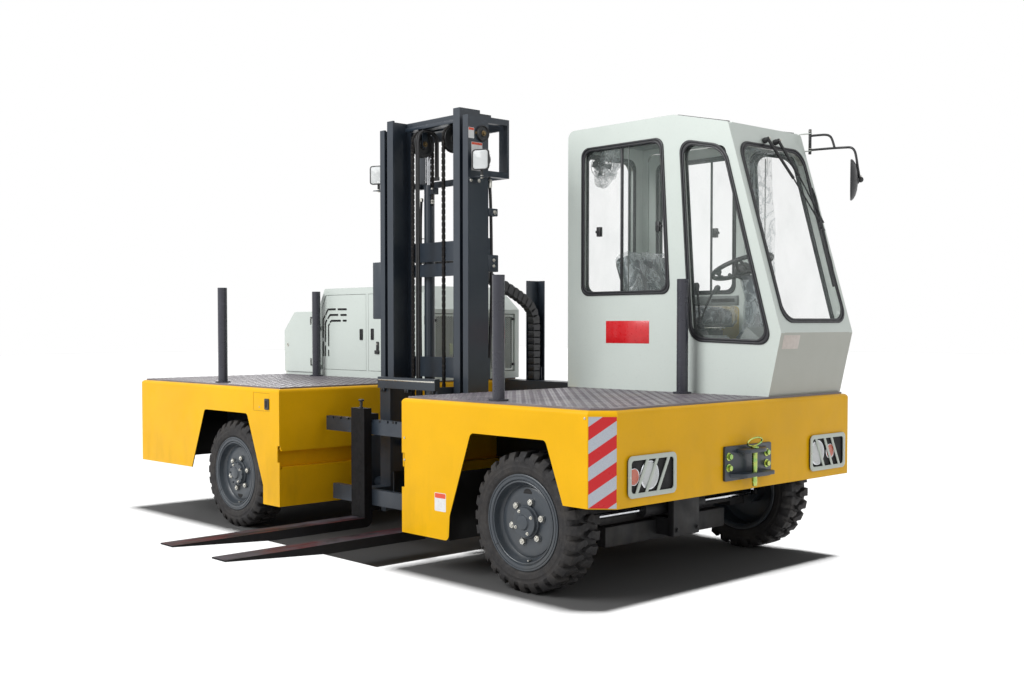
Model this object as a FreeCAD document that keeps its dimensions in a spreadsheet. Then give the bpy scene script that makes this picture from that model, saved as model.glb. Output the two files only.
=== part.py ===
"""Side-loading forklift: two decked bodies joined by a far beam, with a mast that travels across
the well between them. Millimetres, +X to the cab end, +Y to the cab side, +Z up, on the ground."""
import FreeCAD, Part
import Sketcher
import math
import os
import re

SIZES = {
    # Bodies and decks
    "body_length": 4430, "body_width": 2132, "body_top": 936, "skin": 8, "deck_thick": 10,
    "deck_inset": 26, "well_centre": 173, "well_width": 1195, "leg_bottom": 200,
    "corner_cut": 98, "front_hem": 478, "rear_hem": 352, "edge_round": 22, "edge_wide": 30,
    "edge_high": 24, "leg_deep": 360,
    "leg_front_end": 1151, "leg_rear_end": 611, "arch_top": 780, "notch": 22,
    "flap_rear": -716, "flap_front": -533, "flap_low": 793, "flap_high": 905, "flap_pin": 2,
    "leaf_gap": 1.5,
    # Sub-frames and the beam behind the well
    "rail_spacing": 620, "rail_wide": 80, "rail_low": 565, "rail_high": 735,
    "beam_near": 900, "beam_low": 620, "guide_rear": -232, "guide_front": -162, "guide_top": 1650,
    "seam": 0.3,
    # Traverse rails and the carriage that runs in them
    "track_low": 435, "track_height": 125, "track_depth": 60, "track_wall": 12,
    "track_near": 1045, "roller_gap": 0.6, "roller_wide": 36,
    "base_plate": 20, "base_gap": 30, "base_near": -480, "base_far": -50,
    "base_low": 250, "base_high": 610, "pivot_height": 300, "pivot_radius": 22,
    "tilt_inset": 23, "tilt_y": -150, "tilt_foot": 360, "tilt_eye": 760, "eye_bore": 12,
    # Mast
    "mast_wide": 830, "mast_front": 400, "mast_deep": 167, "mast_low": 130, "mast_high": 2580,
    "web": 16, "flange": 45, "flange_thick": 15, "inner_gap": 72, "inner_flange": 58,
    "inner_lift": 50, "rod_clear": 10, "tie_deep": 16, "rod_radius": 22, "barrel_radius": 34,
    "lift_offset": 200, "lift_y": -168, "barrel_top": 2230, "sheave_radius": 75,
    "sheave_offset": 145, "sheave_z": 2475, "sheave_wide": 30, "chain_wide": 22, "chain_thick": 14,
    "tilt_barrel": 30, "tilt_bore": 16.5, "tilt_shaft": 16, "eye_radius": 24,
    # Fork carriage and forks
    "bar_front": 743, "bar_thick": 40, "upper_bar_half": 543, "upper_bar_low": 670,
    "upper_bar_high": 760, "lower_bar_half": 475, "lower_bar_low": 240, "lower_bar_high": 335,
    "fork_wide": 129, "fork_thick": 57, "fork_reach": 1300, "fork_low": 108, "fork_top": 830,
    "fork_drop": 8, "tip_thick": 8, "heel_round": 45,
    "rear_fork_x": 30, "front_fork_x": 565, "slide_gap": 0.5,
    "chain_anchor": 600, "side_plate": 16, "plate_gap": 12,
    # Wheels and axles
    "front_wheel_x": 1648, "rear_wheel_x": -1020, "tyre_radius": 353, "tyre_half": 106,
    "wheel_centre": 922, "rim_radius": 228, "rim_flange": 242, "rim_half": 100, "disc_inset": 42,
    "kingpin_y": 786, "kingpin_radius": 20, "axle_half": 60, "hub_radius": 82, "stub_radius": 34,
    "steer_arm": 130, "steer_pin": 10, "yoke_play": 2, "yoke_thick": 12, "steer_barrel": 40,
    "steer_rod": 16, "steer_bore": 16.5, "steer_half": 260, "bowl_radius": 130, "bowl_half": 110,
    # Cab
    "cab_near": 330, "cab_far": 1055, "cab_rear": 720, "cab_top": 2535, "cab_wall": 35,
    "cab_break": 1530, "cab_head_x": 1900, "cab_head_z": 2450, "cab_nose_x": 2205,
    "cab_nose_z": 1290, "cab_toe_x": 2170, "pane": 6, "door_rear": 800, "door_front": 1540,
    "door_low": 1010, "door_sill": 1530, "door_high": 2440, "door_gap": 6, "door_wall": 30,
    "wheel_x": 1750, "wheel_z": 1670, "wheel_tilt": 22, "wheel_ring": 175, "ring_thick": 14,
    "mirror_out": 1225, "mirror_x": 2203, "mirror_z": 2163, "mirror_radius": 118,
    "seat_base_top": 1300, "seat_top": 1430, "seat_back_top": 1785, "seat_half": 240,
    "back_half": 230, "lever_inset": 120, "lever_x": 1634, "lever_radius": 8,
    # Engine housing
    "hood_near": 180, "hood_far": 1055, "hood_front": -430, "hood_rear": -1715, "hood_top": 1612,
    "hood_skin": 25, "box_leaf": 14, "box_rear": -2200, "box_top": 1440, "hood_door_rear": -1690,
    "hood_door_split": -1125, "hood_door_front": -482, "hood_door_low": 1000,
    "hood_rim": 52, "leaf_thick": 20, "door_edge": 3,
    "hood_slant_x": 55, "hood_slant_z": 100, "hinge_pin": 4, "hinge_bore": 4.3,
    "hinge_knuckle": 7, "hinge_high": 60, "hinge_drop": 30, "hinge_leaf": 50, "leaf_past": 2,
    "slant_gap": 4, "door_pin": 5, "door_bore": 5.2,
    # Fittings
    "post_radius": 32, "post_top": 1590, "post_flange": 52, "hitch_out": 80,
}

document = FreeCAD.newDocument("Sideloader")
sheet = document.addObject("Spreadsheet::Sheet", "Sizes")
for row, (alias, size) in enumerate(SIZES.items(), 1):
    sheet.set(f"A{row}", alias)
    sheet.set(f"B{row}", str(size))
    sheet.setAlias(f"B{row}", alias)
document.recompute()

NAME = re.compile(r"[a-z_]\w*")
AXES = "xyz"
PLANES = {"x": "YZ_Plane", "y": "XZ_Plane", "z": "XY_Plane"}
SUBPARTS = []

# Places worked out from the driving sizes
BODY_END = "body_length / 2"
SIDE = "body_width / 2"
DECK_TOP = "body_top + deck_thick"
WELL_REAR = "well_centre - well_width / 2"
WELL_FRONT = "well_centre + well_width / 2"
EDGE_LOW = "(body_top - edge_high)"
MAST_BACK = "mast_deep - mast_front"
MAST_MIDDLE = "mast_deep / 2 - mast_front"
GUARD_Y = (f"{MAST_BACK} + 158", f"{MAST_BACK} + 176")
FLAP_PIN = ("flap_rear + 4", f"4 - {SIDE}")
INNER_HALF = "(mast_wide / 2 - inner_gap)"
SHEAVE_Y = "(lift_y - 28 - sheave_radius)"
CHAIN_Y = f"({SHEAVE_Y} - sheave_radius - chain_thick / 2)"
TILT_X = {sign: f"well_centre + {sign} * (mast_wide / 2 - tilt_inset)" for sign in (-1, 1)}
DATUM_X = "hitch_out / 2"
DATUM_Y = "(mirror_out - bar_front - fork_thick - fork_reach) / 2"


def bound(text):
    """An expression with each size's name turned into a reference to its cell."""
    return NAME.sub(lambda m: "Sizes." + m.group() if m.group() in SIZES else m.group(), str(text))


def value(text):
    """What an expression comes to now, in millimetres."""
    return float(sheet.evalExpression(bound(text)))


def tie(thing, path, text):
    """Bind one of a thing's properties to an expression of the sheet's sizes."""
    thing.setExpression(path, bound(text))


def stand(thing, at):
    """Bind a thing's base point to three expressions."""
    for axis, text in zip(AXES, at):
        tie(thing, "Placement.Base." + axis, text)


def sides(a, b):
    """Two expressions in rising order."""
    return tuple(sorted([a, b], key=value))


def off_centre(sign, distance):
    """A place to one side of the well's centre."""
    return f"well_centre + {sign} * ({distance})"


def box(x, y, z):
    """A block between the low and high expressions of each axis."""
    block = document.addObject("Part::Box", "Block")
    for side, (low, high) in zip(("Length", "Width", "Height"), (x, y, z)):
        tie(block, side, f"({high}) - ({low})")
    stand(block, (x[0], y[0], z[0]))
    return block


def rod(radius, axis, low, high, centre):
    """A cylinder along an axis; centre gives its place on the other two axes, in order."""
    turn = {"x": ((0, 1, 0), 90), "y": ((1, 0, 0), -90), "z": ((0, 0, 1), 0)}[axis]
    cylinder = document.addObject("Part::Cylinder", "Rod")
    cylinder.Placement.Rotation = FreeCAD.Rotation(FreeCAD.Vector(*turn[0]), turn[1])
    tie(cylinder, "Radius", radius)
    tie(cylinder, "Height", f"({high}) - ({low})")
    at = list(centre)
    at.insert(AXES.index(axis), low)
    stand(cylinder, at)
    return cylinder


def fuse(*pieces):
    """One shape from several pieces; those that don't touch stay solids of their own."""
    if len(pieces) == 1:
        return pieces[0]
    union = document.addObject("Part::MultiFuse", "Union")
    union.Shapes = list(pieces)
    union.Refine = True
    return union


def cut(base, *tools):
    """The base with every tool taken out of it."""
    rest = document.addObject("Part::Cut", "Cut")
    rest.Base = base
    rest.Tool = fuse(*tools)
    rest.Refine = True
    return rest


def tube(radius, bore, axis, low, high, centre):
    """A cylinder with a bore right through it."""
    return cut(rod(radius, axis, low, high, centre), rod(bore, axis, low, high, centre))


def sketch_of(body, plane, corners):
    """A closed outline on one of a body's origin planes, each corner held by two distances."""
    origin_plane = next(f for f in body.Origin.OriginFeatures if f.Role == plane)
    sketch = body.newObject("Sketcher::SketchObject", "Outline")
    sketch.AttachmentSupport = (origin_plane, [""])
    sketch.MapMode = "FlatFace"
    points = [FreeCAD.Vector(value(u), value(v), 0) for u, v in corners]
    count = len(points)
    for i in range(count):
        sketch.addGeometry(Part.LineSegment(points[i], points[(i + 1) % count]), False)
    for i in range(count):
        sketch.addConstraint(Sketcher.Constraint("Coincident", i, 2, (i + 1) % count, 1))
    for i, corner in enumerate(corners):
        for kind, text, place in zip(("DistanceX", "DistanceY"), corner, points[i]):
            index = sketch.addConstraint(Sketcher.Constraint(kind, -1, 1, i, 1, place))
            sketch.setExpression(f"Constraints[{index}]", bound(text))
    return sketch


def edges_at(shape, wanted):
    """Names of the edges whose every end passes a test."""
    return [f"Edge{number}" for number, edge in enumerate(shape.Edges, 1)
            if all(wanted(end.Point) for end in edge.Vertexes)]


def prism(axis, low, high, corners, rounds=(), crown=None):
    """An outline padded along an axis, its chosen corners rounded, and the edge of its high end."""
    body = document.addObject("PartDesign::Body", "Prism")
    sketch = sketch_of(body, PLANES[axis], corners)
    pad = body.newObject("PartDesign::Pad", "Pad")
    pad.Profile = sketch
    tie(pad, "Length", f"({high}) - ({low})")
    tie(sketch, "AttachmentOffset.Base.z", f"-({high})" if axis == "y" else low)
    across = [i for i in range(3) if AXES[i] != axis]

    def fillet(radius, tests):
        document.recompute()
        base = body.Tip
        names = [name for test in tests for name in edges_at(base.Shape, test)]
        rounding = body.newObject("PartDesign::Fillet", "Round")
        rounding.Base = (base, names)
        tie(rounding, "Radius", radius)

    def at_corner(index):
        place = [value(text) for text in corners[index]]
        return lambda point: all(abs(point[i] - p) < 0.01 for i, p in zip(across, place))

    for radius, chosen in rounds:
        fillet(radius, [at_corner(index) for index in chosen])
    if crown:
        top = value(high)
        fillet(crown, [lambda point: abs(point[AXES.index(axis)] - top) < 0.01])
    return body


def lathe(at, corners):
    """A half-section of (place along Y, radius) corners turned about a Y axis through a point."""
    body = document.addObject("PartDesign::Body", "Turned")
    sketch = sketch_of(body, "YZ_Plane", corners)
    turned = body.newObject("PartDesign::Revolution", "Revolution")
    turned.Profile = sketch
    turned.ReferenceAxis = (sketch, ["H_Axis"])
    turned.Angle = 360
    stand(body, at)
    return body


def subpart(name, *pieces):
    """Name a finished sub-part and move it to the frame on the ground under the whole machine."""
    whole = document.addObject("Part::Compound", name)
    whole.Links = [fuse(*pieces)]
    whole.Label = name
    stand(whole, (f"-({DATUM_X})", f"-({DATUM_Y})", "0"))
    SUBPARTS.append(whole)


def strut(radius, start, end):
    """A round bar between two points, each three expressions, with a ball at its end."""
    near, far = (FreeCAD.Vector(*[value(text) for text in point]) for point in (start, end))
    bar = document.addObject("Part::Cylinder", "Bar")
    tie(bar, "Radius", radius)
    bar.Height = (far - near).Length
    bar.Placement.Rotation = FreeCAD.Rotation(FreeCAD.Vector(0, 0, 1), far - near)
    stand(bar, start)
    ball = document.addObject("Part::Sphere", "Ball")
    tie(ball, "Radius", radius)
    stand(ball, end)
    return fuse(bar, ball)


def bar_along(radius, points):
    """A bent round bar through several points."""
    return fuse(*[strut(radius, a, b) for a, b in zip(points, points[1:])])


# ---- Bodies, decks and frames -------------------------------------------------------------

def skirts(outline, rounds):
    """The two side plates of a body, cut to one outline."""
    return [prism("y", low, high, outline, rounds)
            for low, high in ((f"-{SIDE}", f"skin - {SIDE}"), (f"{SIDE} - skin", SIDE))]


def edge_frame(footprint, hollow):
    """The rounded bar that runs round a body's top."""
    bar = prism("z", EDGE_LOW, "body_top", footprint, (), "edge_round")
    return cut(bar, prism("z", f"{EDGE_LOW} - 1", "body_top + 1", hollow))


def well_wall(end):
    """The plates above and below a traverse rail, and the plates that close it and the legs."""
    def x(near, far):
        return sides(f"well_centre + {end} * (well_width / 2 + {near})",
                     f"well_centre + {end} * (well_width / 2 + {far})")

    y = (f"skin - {SIDE}", f"{SIDE} - skin")
    leg = "leg_front_end" if end > 0 else "-leg_rear_end"
    plates = [box(x("0", "skin"), y, ("track_low + track_height", EDGE_LOW)),
              box(x("0", "skin"), y, ("leg_bottom", "track_low"))]
    for sign in (-1, 1):
        y = sides(f"{sign} * ({SIDE} - skin)", f"{sign} * ({SIDE} - leg_deep)")
        plates.append(box(sides(leg, f"{leg} - {end} * skin"), y, ("leg_bottom", "rail_low - 5")))
        plates.append(box(sides(f"well_centre + {end} * well_width / 2", leg), y,
                          ("leg_bottom", "leg_bottom + skin")))
    return plates


def front_body():
    """Yellow front body: side skirts with wheel arches, bumper, cut load-side corner and well wall."""
    outline = [(WELL_FRONT, "leg_bottom"), ("leg_front_end", "leg_bottom"),
               ("front_wheel_x - 488", "333"), ("front_wheel_x - 327", "arch_top"),
               ("front_wheel_x + 200", "arch_top"), ("front_wheel_x + 315", "front_hem"),
               (f"{BODY_END} - corner_cut", "front_hem"), (f"{BODY_END} - corner_cut", EDGE_LOW),
               (WELL_FRONT, EDGE_LOW), (WELL_FRONT, "track_low + track_height + 77"),
               (f"{WELL_FRONT} + notch", "track_low + track_height + 77"),
               (f"{WELL_FRONT} + notch", "track_low + 14"), (WELL_FRONT, "track_low + 14")]
    bumper = box((f"{BODY_END} - skin", BODY_END),
                 (f"corner_cut - {SIDE}", SIDE), ("front_hem", EDGE_LOW))
    far_end = box((f"{BODY_END} - corner_cut", BODY_END), (f"{SIDE} - skin", SIDE),
                  ("front_hem", EDGE_LOW))
    near_corner = prism("z", "front_hem", EDGE_LOW,
                        [(f"{BODY_END} - corner_cut", f"-{SIDE}"),
                         (BODY_END, f"corner_cut - {SIDE}"),
                         (f"{BODY_END} - skin", f"corner_cut - {SIDE}"),
                         (f"{BODY_END} - corner_cut", f"skin - {SIDE}")])

    def footprint(inset):
        cut_in = f"corner_cut + {inset} * 0.41"
        return [(f"{WELL_FRONT} + {inset}", f"{inset} - {SIDE}"),
                (f"{BODY_END} - ({cut_in})", f"{inset} - {SIDE}"),
                (f"{BODY_END} - {inset}", f"{cut_in} - {SIDE}"),
                (f"{BODY_END} - {inset}", f"{SIDE} - {inset}"),
                (f"{WELL_FRONT} + {inset}", f"{SIDE} - {inset}")]

    subpart("front_body", *skirts(outline, [("30", [1, 3, 4])]), bumper, far_end, near_corner,
            *well_wall(1), edge_frame(footprint("0"), footprint("edge_wide")))


def rear_body():
    """Yellow rear body: side skirts with wheel arches, end plate and the well wall."""
    outline = [(WELL_REAR, "leg_bottom"), ("-leg_rear_end", "leg_bottom"), ("-leg_rear_end", "320"),
               ("rear_wheel_x + 225", "arch_top - 13"), ("rear_wheel_x - 307", "arch_top - 13"),
               ("rear_wheel_x - 482", "rear_hem + 6"), (f"-{BODY_END}", "rear_hem"),
               (f"-{BODY_END}", EDGE_LOW), (WELL_REAR, EDGE_LOW),
               (WELL_REAR, "track_low + track_height + 21"),
               (f"{WELL_REAR} - notch", "track_low + track_height + 21"),
               (f"{WELL_REAR} - notch", "track_low + 42"), (WELL_REAR, "track_low + 42")]
    end = box((f"-{BODY_END}", f"skin - {BODY_END}"), (f"skin - {SIDE}", f"{SIDE} - skin"),
              ("rear_hem", EDGE_LOW))

    def footprint(inset):
        return [(f"{inset} - {BODY_END}", f"{inset} - {SIDE}"),
                (f"{WELL_REAR} - {inset}", f"{inset} - {SIDE}"),
                (f"{WELL_REAR} - {inset}", f"{SIDE} - {inset}"),
                (f"{inset} - {BODY_END}", f"{SIDE} - {inset}")]

    plates = fuse(*skirts(outline, [("30", [3, 4])]), end, *well_wall(-1),
                  edge_frame(footprint("0"), footprint("edge_wide")))
    opening = box(("flap_rear - leaf_gap", "flap_front + leaf_gap"),
                  (f"-{SIDE} - 1", f"skin + 1 - {SIDE}"),
                  ("flap_low - leaf_gap", "flap_high + leaf_gap"))
    bores = [rod("flap_pin + 0.05", "z", z, f"{z} + 14", FLAP_PIN)
             for z in ("flap_low - leaf_gap - 13", "flap_high + leaf_gap - 1")]
    subpart("rear_body", cut(plates, opening, *bores))


def decks():
    """Chequer-plate decks on top of both bodies."""
    inset = f"({SIDE} - deck_inset)"
    cut_in = "(corner_cut + deck_inset * 0.41)"
    front = [(f"{WELL_FRONT} + deck_inset", f"-{inset}"), (f"{BODY_END} - {cut_in}", f"-{inset}"),
             (f"{BODY_END} - deck_inset", f"{cut_in} - {SIDE}"),
             (f"{BODY_END} - deck_inset", inset), (f"{WELL_FRONT} + deck_inset", inset)]
    subpart("decks", prism("z", "body_top", DECK_TOP, front),
            box((f"deck_inset - {BODY_END}", f"{WELL_REAR} - deck_inset"), (f"-{inset}", inset),
                ("body_top", DECK_TOP)))


def frames():
    """Rails under each deck, their cross-pieces, and the beam that joins the bodies behind the well."""
    rails = [sides(f"{sign} * (rail_spacing - rail_wide) / 2",
                   f"{sign} * (rail_spacing + rail_wide) / 2") for sign in (-1, 1)]
    under_deck = ("rail_high + seam", "body_top - seam")
    pieces = []
    for ends in ((f"{WELL_FRONT} + skin", f"{BODY_END} - skin"),
                 (f"skin - {BODY_END}", f"{WELL_REAR} - skin")):
        pieces += [box(ends, y, ("rail_low", "rail_high")) for y in rails]
    for x in (f"{WELL_FRONT} + 250", "front_wheel_x + 330", f"{WELL_REAR} - 250", f"400 - {BODY_END}"):
        pieces += [box((f"{x} - 40", f"{x} + 40"), y, under_deck) for y in rails]
    pieces.append(box(("front_wheel_x - 110", "front_wheel_x + 110"),
                      (f"{rails[0][1]} + seam", f"{rails[1][0]} - seam"), ("rail_low", "rail_high")))
    pieces += [box((f"front_wheel_x + {x}", f"front_wheel_x + {x} + 20"), ("-60", "60"),
                   ("tyre_radius - 50", "rail_low - seam")) for x in (-90, 70)]
    pieces += [box(("rear_wheel_x - axle_half", "rear_wheel_x + axle_half"), y,
                   ("tyre_radius + axle_half", "rail_low - seam")) for y in rails]
    pieces.append(box((WELL_REAR, WELL_FRONT), ("beam_near", f"{SIDE} - skin"),
                      ("beam_low", "body_top")))
    back = "beam_near + 150"
    pieces.append(box(("guide_rear", "guide_rear + 8"), ("beam_near + 30", back),
                      ("body_top + seam", "guide_top")))
    pieces.append(box(("guide_rear + 8 + seam", "guide_front"), (f"{back} - 8", back),
                      ("body_top + seam", "guide_top")))
    subpart("main_frame", *pieces)


def traverse_rails():
    """Two channels let into the well's walls, open towards each other, that carry the mast."""
    def channel(sign):
        def x(near, far):
            return sides(off_centre(sign, f"well_width / 2 + {near}"),
                         off_centre(sign, f"well_width / 2 + {far}"))

        y = ("-track_near", "beam_near")
        outer = box(x("0", "track_depth"), y, ("track_low", "track_low + track_height"))
        hollow = box(x("-1", "track_depth - track_wall"), (f"{y[0]} - 1", f"{y[1]} + 1"),
                     ("track_low + track_wall", "track_low + track_height - track_wall"))
        return cut(outer, hollow)

    subpart("traverse_rails", channel(-1), channel(1))


def load_posts():
    """Four round posts that stand in flanges on the decks."""
    spots = [("-1275", "-950"), ("1420", "-960"), ("-1672", "115"), ("1664", "246")]
    parts = []
    for x, y in spots:
        parts.append(rod("post_radius", "z", DECK_TOP, "post_top", (x, y)))
        parts.append(rod("post_flange", "z", DECK_TOP, f"{DECK_TOP} + 10", (x, y)))
    subpart("load_posts", *parts)


def tow_hitch():
    """Hitch plate on the bumper with two wide lugs and a drop pin."""
    plate = box((BODY_END, f"{BODY_END} + 14"), ("-145", "269"), ("535", "713"))
    back, front = f"{BODY_END} + 14", f"{BODY_END} + hitch_out"
    lugs = [prism("z", low, f"{low} + 20",
                  [(back, back_near), (front, front_near), (front, front_far), (back, back_far)],
                  [("14", [1, 2])])
            for low, back_near, front_near, front_far, back_far in (
                ("552", "-110", "-60", "215", "232"), ("676", "-50", "-30", "130", "232"))]
    bore = rod("14.2", "z", "540", "700", (f"{BODY_END} + 50", "62"))
    head = rod("22", "z", "696.3", "706", (f"{BODY_END} + 50", "62"))
    shaft = rod("14", "z", "500", "698", (f"{BODY_END} + 50", "62"))
    subpart("tow_hitch", cut(fuse(plate, *lugs), bore), head, shaft)


def headlamps():
    """Lamp housings on the bumper, their lamps, and guards of three slanted bars each."""
    frames, lamps = [], []
    for near, far, lean in (("-905", "-542", 1), ("655", "1018", -1)):
        outer = box((BODY_END, f"{BODY_END} + 26"), (near, far), ("520", "720"))
        hollow = box((f"{BODY_END} + 4", f"{BODY_END} + 27"), (f"{near} + 14", f"{far} - 14"),
                     ("534", "706"))
        bars = []
        for step in (1, 2, 3):
            foot = f"{near} + ({far} - ({near})) * {step} / 4 - {lean} * 35"
            bars.append(strut("6", (f"{BODY_END} + 20", foot, "530"),
                              (f"{BODY_END} + 20", f"{foot} + {lean} * 70", "708")))
        frames += [cut(outer, hollow), *bars]
        middle = f"(({near}) + ({far})) / 2"
        lamps += [rod("50", "x", f"{BODY_END} + 4 + seam", f"{BODY_END} + 12",
                      (f"{middle} + {lean} * 75", "620")),
                  rod("50", "x", f"{BODY_END} + 4 + seam", f"{BODY_END} + 12",
                      (f"{middle} - {lean} * 75", "620"))]
    subpart("lamp_guards", *frames)
    subpart("headlamps", *lamps)


front_body()
rear_body()
decks()
frames()
traverse_rails()
load_posts()
tow_hitch()
headlamps()


# ---- Wheels and axles -------------------------------------------------------------------------

def wheel(name, x, side):
    """Tyre and rim of one wheel; side is -1 on the load side and 1 on the cab side."""
    at = (x, f"{side} * wheel_centre", "tyre_radius")
    def out(place):
        return f"{side} * ({place})"
    tyre = lathe(at, [(out("-tyre_half + 14"), "rim_radius"),
                      (out("-tyre_half + 14"), "rim_flange + 2"),
                      (out("-tyre_half"), "rim_flange + 22"), (out("-tyre_half"), "tyre_radius - 34"),
                      (out("-tyre_half + 18"), "tyre_radius"), (out("tyre_half - 18"), "tyre_radius"),
                      (out("tyre_half"), "tyre_radius - 34"), (out("tyre_half"), "rim_flange + 22"),
                      (out("tyre_half - 14"), "rim_flange + 2"), (out("tyre_half - 14"), "rim_radius")])
    subpart("tyre_" + name, tyre)
    reach = "tyre_half - 13.7"
    rim = lathe(at, [(out(f"-({reach}) - 8"), "rim_radius - 14"), (out(f"-({reach}) - 8"), "rim_flange"),
                     (out(f"-({reach})"), "rim_flange"), (out(f"-({reach})"), "rim_radius - seam"),
                     (out(reach), "rim_radius - seam"), (out(reach), "rim_flange"),
                     (out(f"{reach} + 8"), "rim_flange"), (out(f"{reach} + 8"), "rim_radius - 14"),
                     (out("rim_half - disc_inset"), "rim_radius - 20"),
                     (out("rim_half - disc_inset"), "stub_radius + 0.05"),
                     (out("rim_half - disc_inset - 90"), "stub_radius + 0.05"),
                     (out("rim_half - disc_inset - 90"), "hub_radius"),
                     (out("rim_half - disc_inset - 16"), "hub_radius"),
                     (out("rim_half - disc_inset - 16"), "rim_radius - 34"),
                     (out("rim_half - disc_inset - 40"), "rim_radius - 14")])
    cap = lathe(at, [(out("rim_half - disc_inset"), "0.2"), (out("rim_half - disc_inset"), "hub_radius"),
                     (out("rim_half - 8"), "hub_radius - 8"), (out("rim_half"), "hub_radius - 20"),
                     (out("rim_half"), "0.2")])
    subpart("rim_" + name, rim, cap)


STUB_END = "wheel_centre + rim_half - disc_inset - 2"


def front_axle():
    """Steering axle: a beam with forked ends, and the steering cylinder along it."""
    beam = box(("front_wheel_x - axle_half", "front_wheel_x + axle_half"),
               ("70 - kingpin_y", "kingpin_y - 70"), ("tyre_radius - 50", "tyre_radius + 50"))
    parts = [beam]
    for side in (-1, 1):
        for low in ("tyre_radius - 80", "tyre_radius + 50"):
            ends = sorted([f"{side} * (kingpin_y - 110)", f"{side} * (kingpin_y + 30)"], key=value)
            parts.append(box(("front_wheel_x - 40", "front_wheel_x + 40"), ends, (low, f"{low} + 30")))
    bores = [rod("kingpin_radius", "z", "tyre_radius - 90", "tyre_radius + 90",
                 ("front_wheel_x", f"{side} * kingpin_y")) for side in (-1, 1)]
    line = ("front_wheel_x + steer_arm", "tyre_radius")
    barrel = rod("steer_barrel", "y", "-steer_half", "steer_half", line)
    brackets = [box(("front_wheel_x + axle_half", "front_wheel_x + 100"), (f"{y} - 25", f"{y} + 25"),
                    ("tyre_radius - 30", "tyre_radius + 30")) for y in (-200, 200)]
    subpart("front_axle", cut(fuse(*parts, barrel, *brackets), *bores,
                              rod("steer_bore", "y", "-steer_half - 1", "steer_half + 1", line)))
    ends = []
    for side in (-1, 1):
        slot = "steer_pin + yoke_play"
        y = sides(f"{side} * (kingpin_y + {slot} + 10)", f"{side} * (kingpin_y - 40)")
        plate = box(("front_wheel_x + steer_arm - 52", "front_wheel_x + steer_arm + 26"), y,
                    ("tyre_radius + 16", "tyre_radius + 16 + yoke_thick"))
        hollow = box(("front_wheel_x + steer_arm - 40", f"front_wheel_x + steer_arm + {slot}"),
                     sides(f"{side} * kingpin_y - ({slot})", f"{side} * kingpin_y + {slot}"),
                     ("tyre_radius", "tyre_radius + 60"))
        neck = box(("front_wheel_x + steer_arm - 16", "front_wheel_x + steer_arm + 16"),
                   sides(f"{side} * (kingpin_y - 60)", f"{side} * (kingpin_y - 38)"),
                   ("tyre_radius - 16", "tyre_radius + 16 + yoke_thick"))
        ends.append(cut(fuse(plate, neck), hollow))
    subpart("steering_rod", rod("steer_rod", "y", "50 - kingpin_y", "kingpin_y - 50", line), *ends)


def knuckle(name, side):
    """Knuckle with its kingpin, wheel spindle and steering arm."""
    centre = ("front_wheel_x", f"{side} * kingpin_y")
    pin = rod("kingpin_radius - 0.1", "z", "tyre_radius - 85", "tyre_radius + 85", centre)
    block = rod("38", "z", "tyre_radius - 49", "tyre_radius + 49", centre)
    low, high = sorted([f"{side} * kingpin_y", f"{side} * ({STUB_END})"], key=value)
    spindle = rod("stub_radius", "y", low, high, ("front_wheel_x", "tyre_radius"))
    arm_low, arm_high = sorted([f"{side} * (kingpin_y - 15)", f"{side} * (kingpin_y + 15)"], key=value)
    arm = box(("front_wheel_x", "front_wheel_x + steer_arm + 15"), (arm_low, arm_high),
              ("tyre_radius - 15", "tyre_radius + 15"))
    peg = rod("steer_pin", "z", "tyre_radius", "tyre_radius + 40",
              ("front_wheel_x + steer_arm", centre[1]))
    subpart("knuckle_" + name, pin, block, spindle, arm, peg)


def rear_axle():
    """Drive axle: a cross tube with a differential bowl, and a spindle at each end."""
    line = ("rear_wheel_x", "tyre_radius")
    tube_part = rod("axle_half", "y", "120 - wheel_centre", "wheel_centre - 120", line)
    spindles = rod("stub_radius", "y", f"-({STUB_END})", STUB_END, line)
    bowl = rod("bowl_radius", "x", "rear_wheel_x - bowl_half", "rear_wheel_x + bowl_half",
               ("0", "tyre_radius"))
    pads = [box(("rear_wheel_x - axle_half", "rear_wheel_x + axle_half"),
                (f"{sign} * rail_spacing / 2 - 35", f"{sign} * rail_spacing / 2 + 35"),
                ("tyre_radius", "tyre_radius + axle_half")) for sign in (-1, 1)]
    subpart("rear_axle", tube_part, spindles, bowl, *pads)


for wheel_name, wheel_x, wheel_side in (("front_near", "front_wheel_x", -1),
                                        ("front_far", "front_wheel_x", 1),
                                        ("rear_near", "rear_wheel_x", -1),
                                        ("rear_far", "rear_wheel_x", 1)):
    wheel(wheel_name, wheel_x, wheel_side)
front_axle()
knuckle("near", -1)
knuckle("far", 1)
rear_axle()


# ---- Mast ---------------------------------------------------------------------------------------

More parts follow.
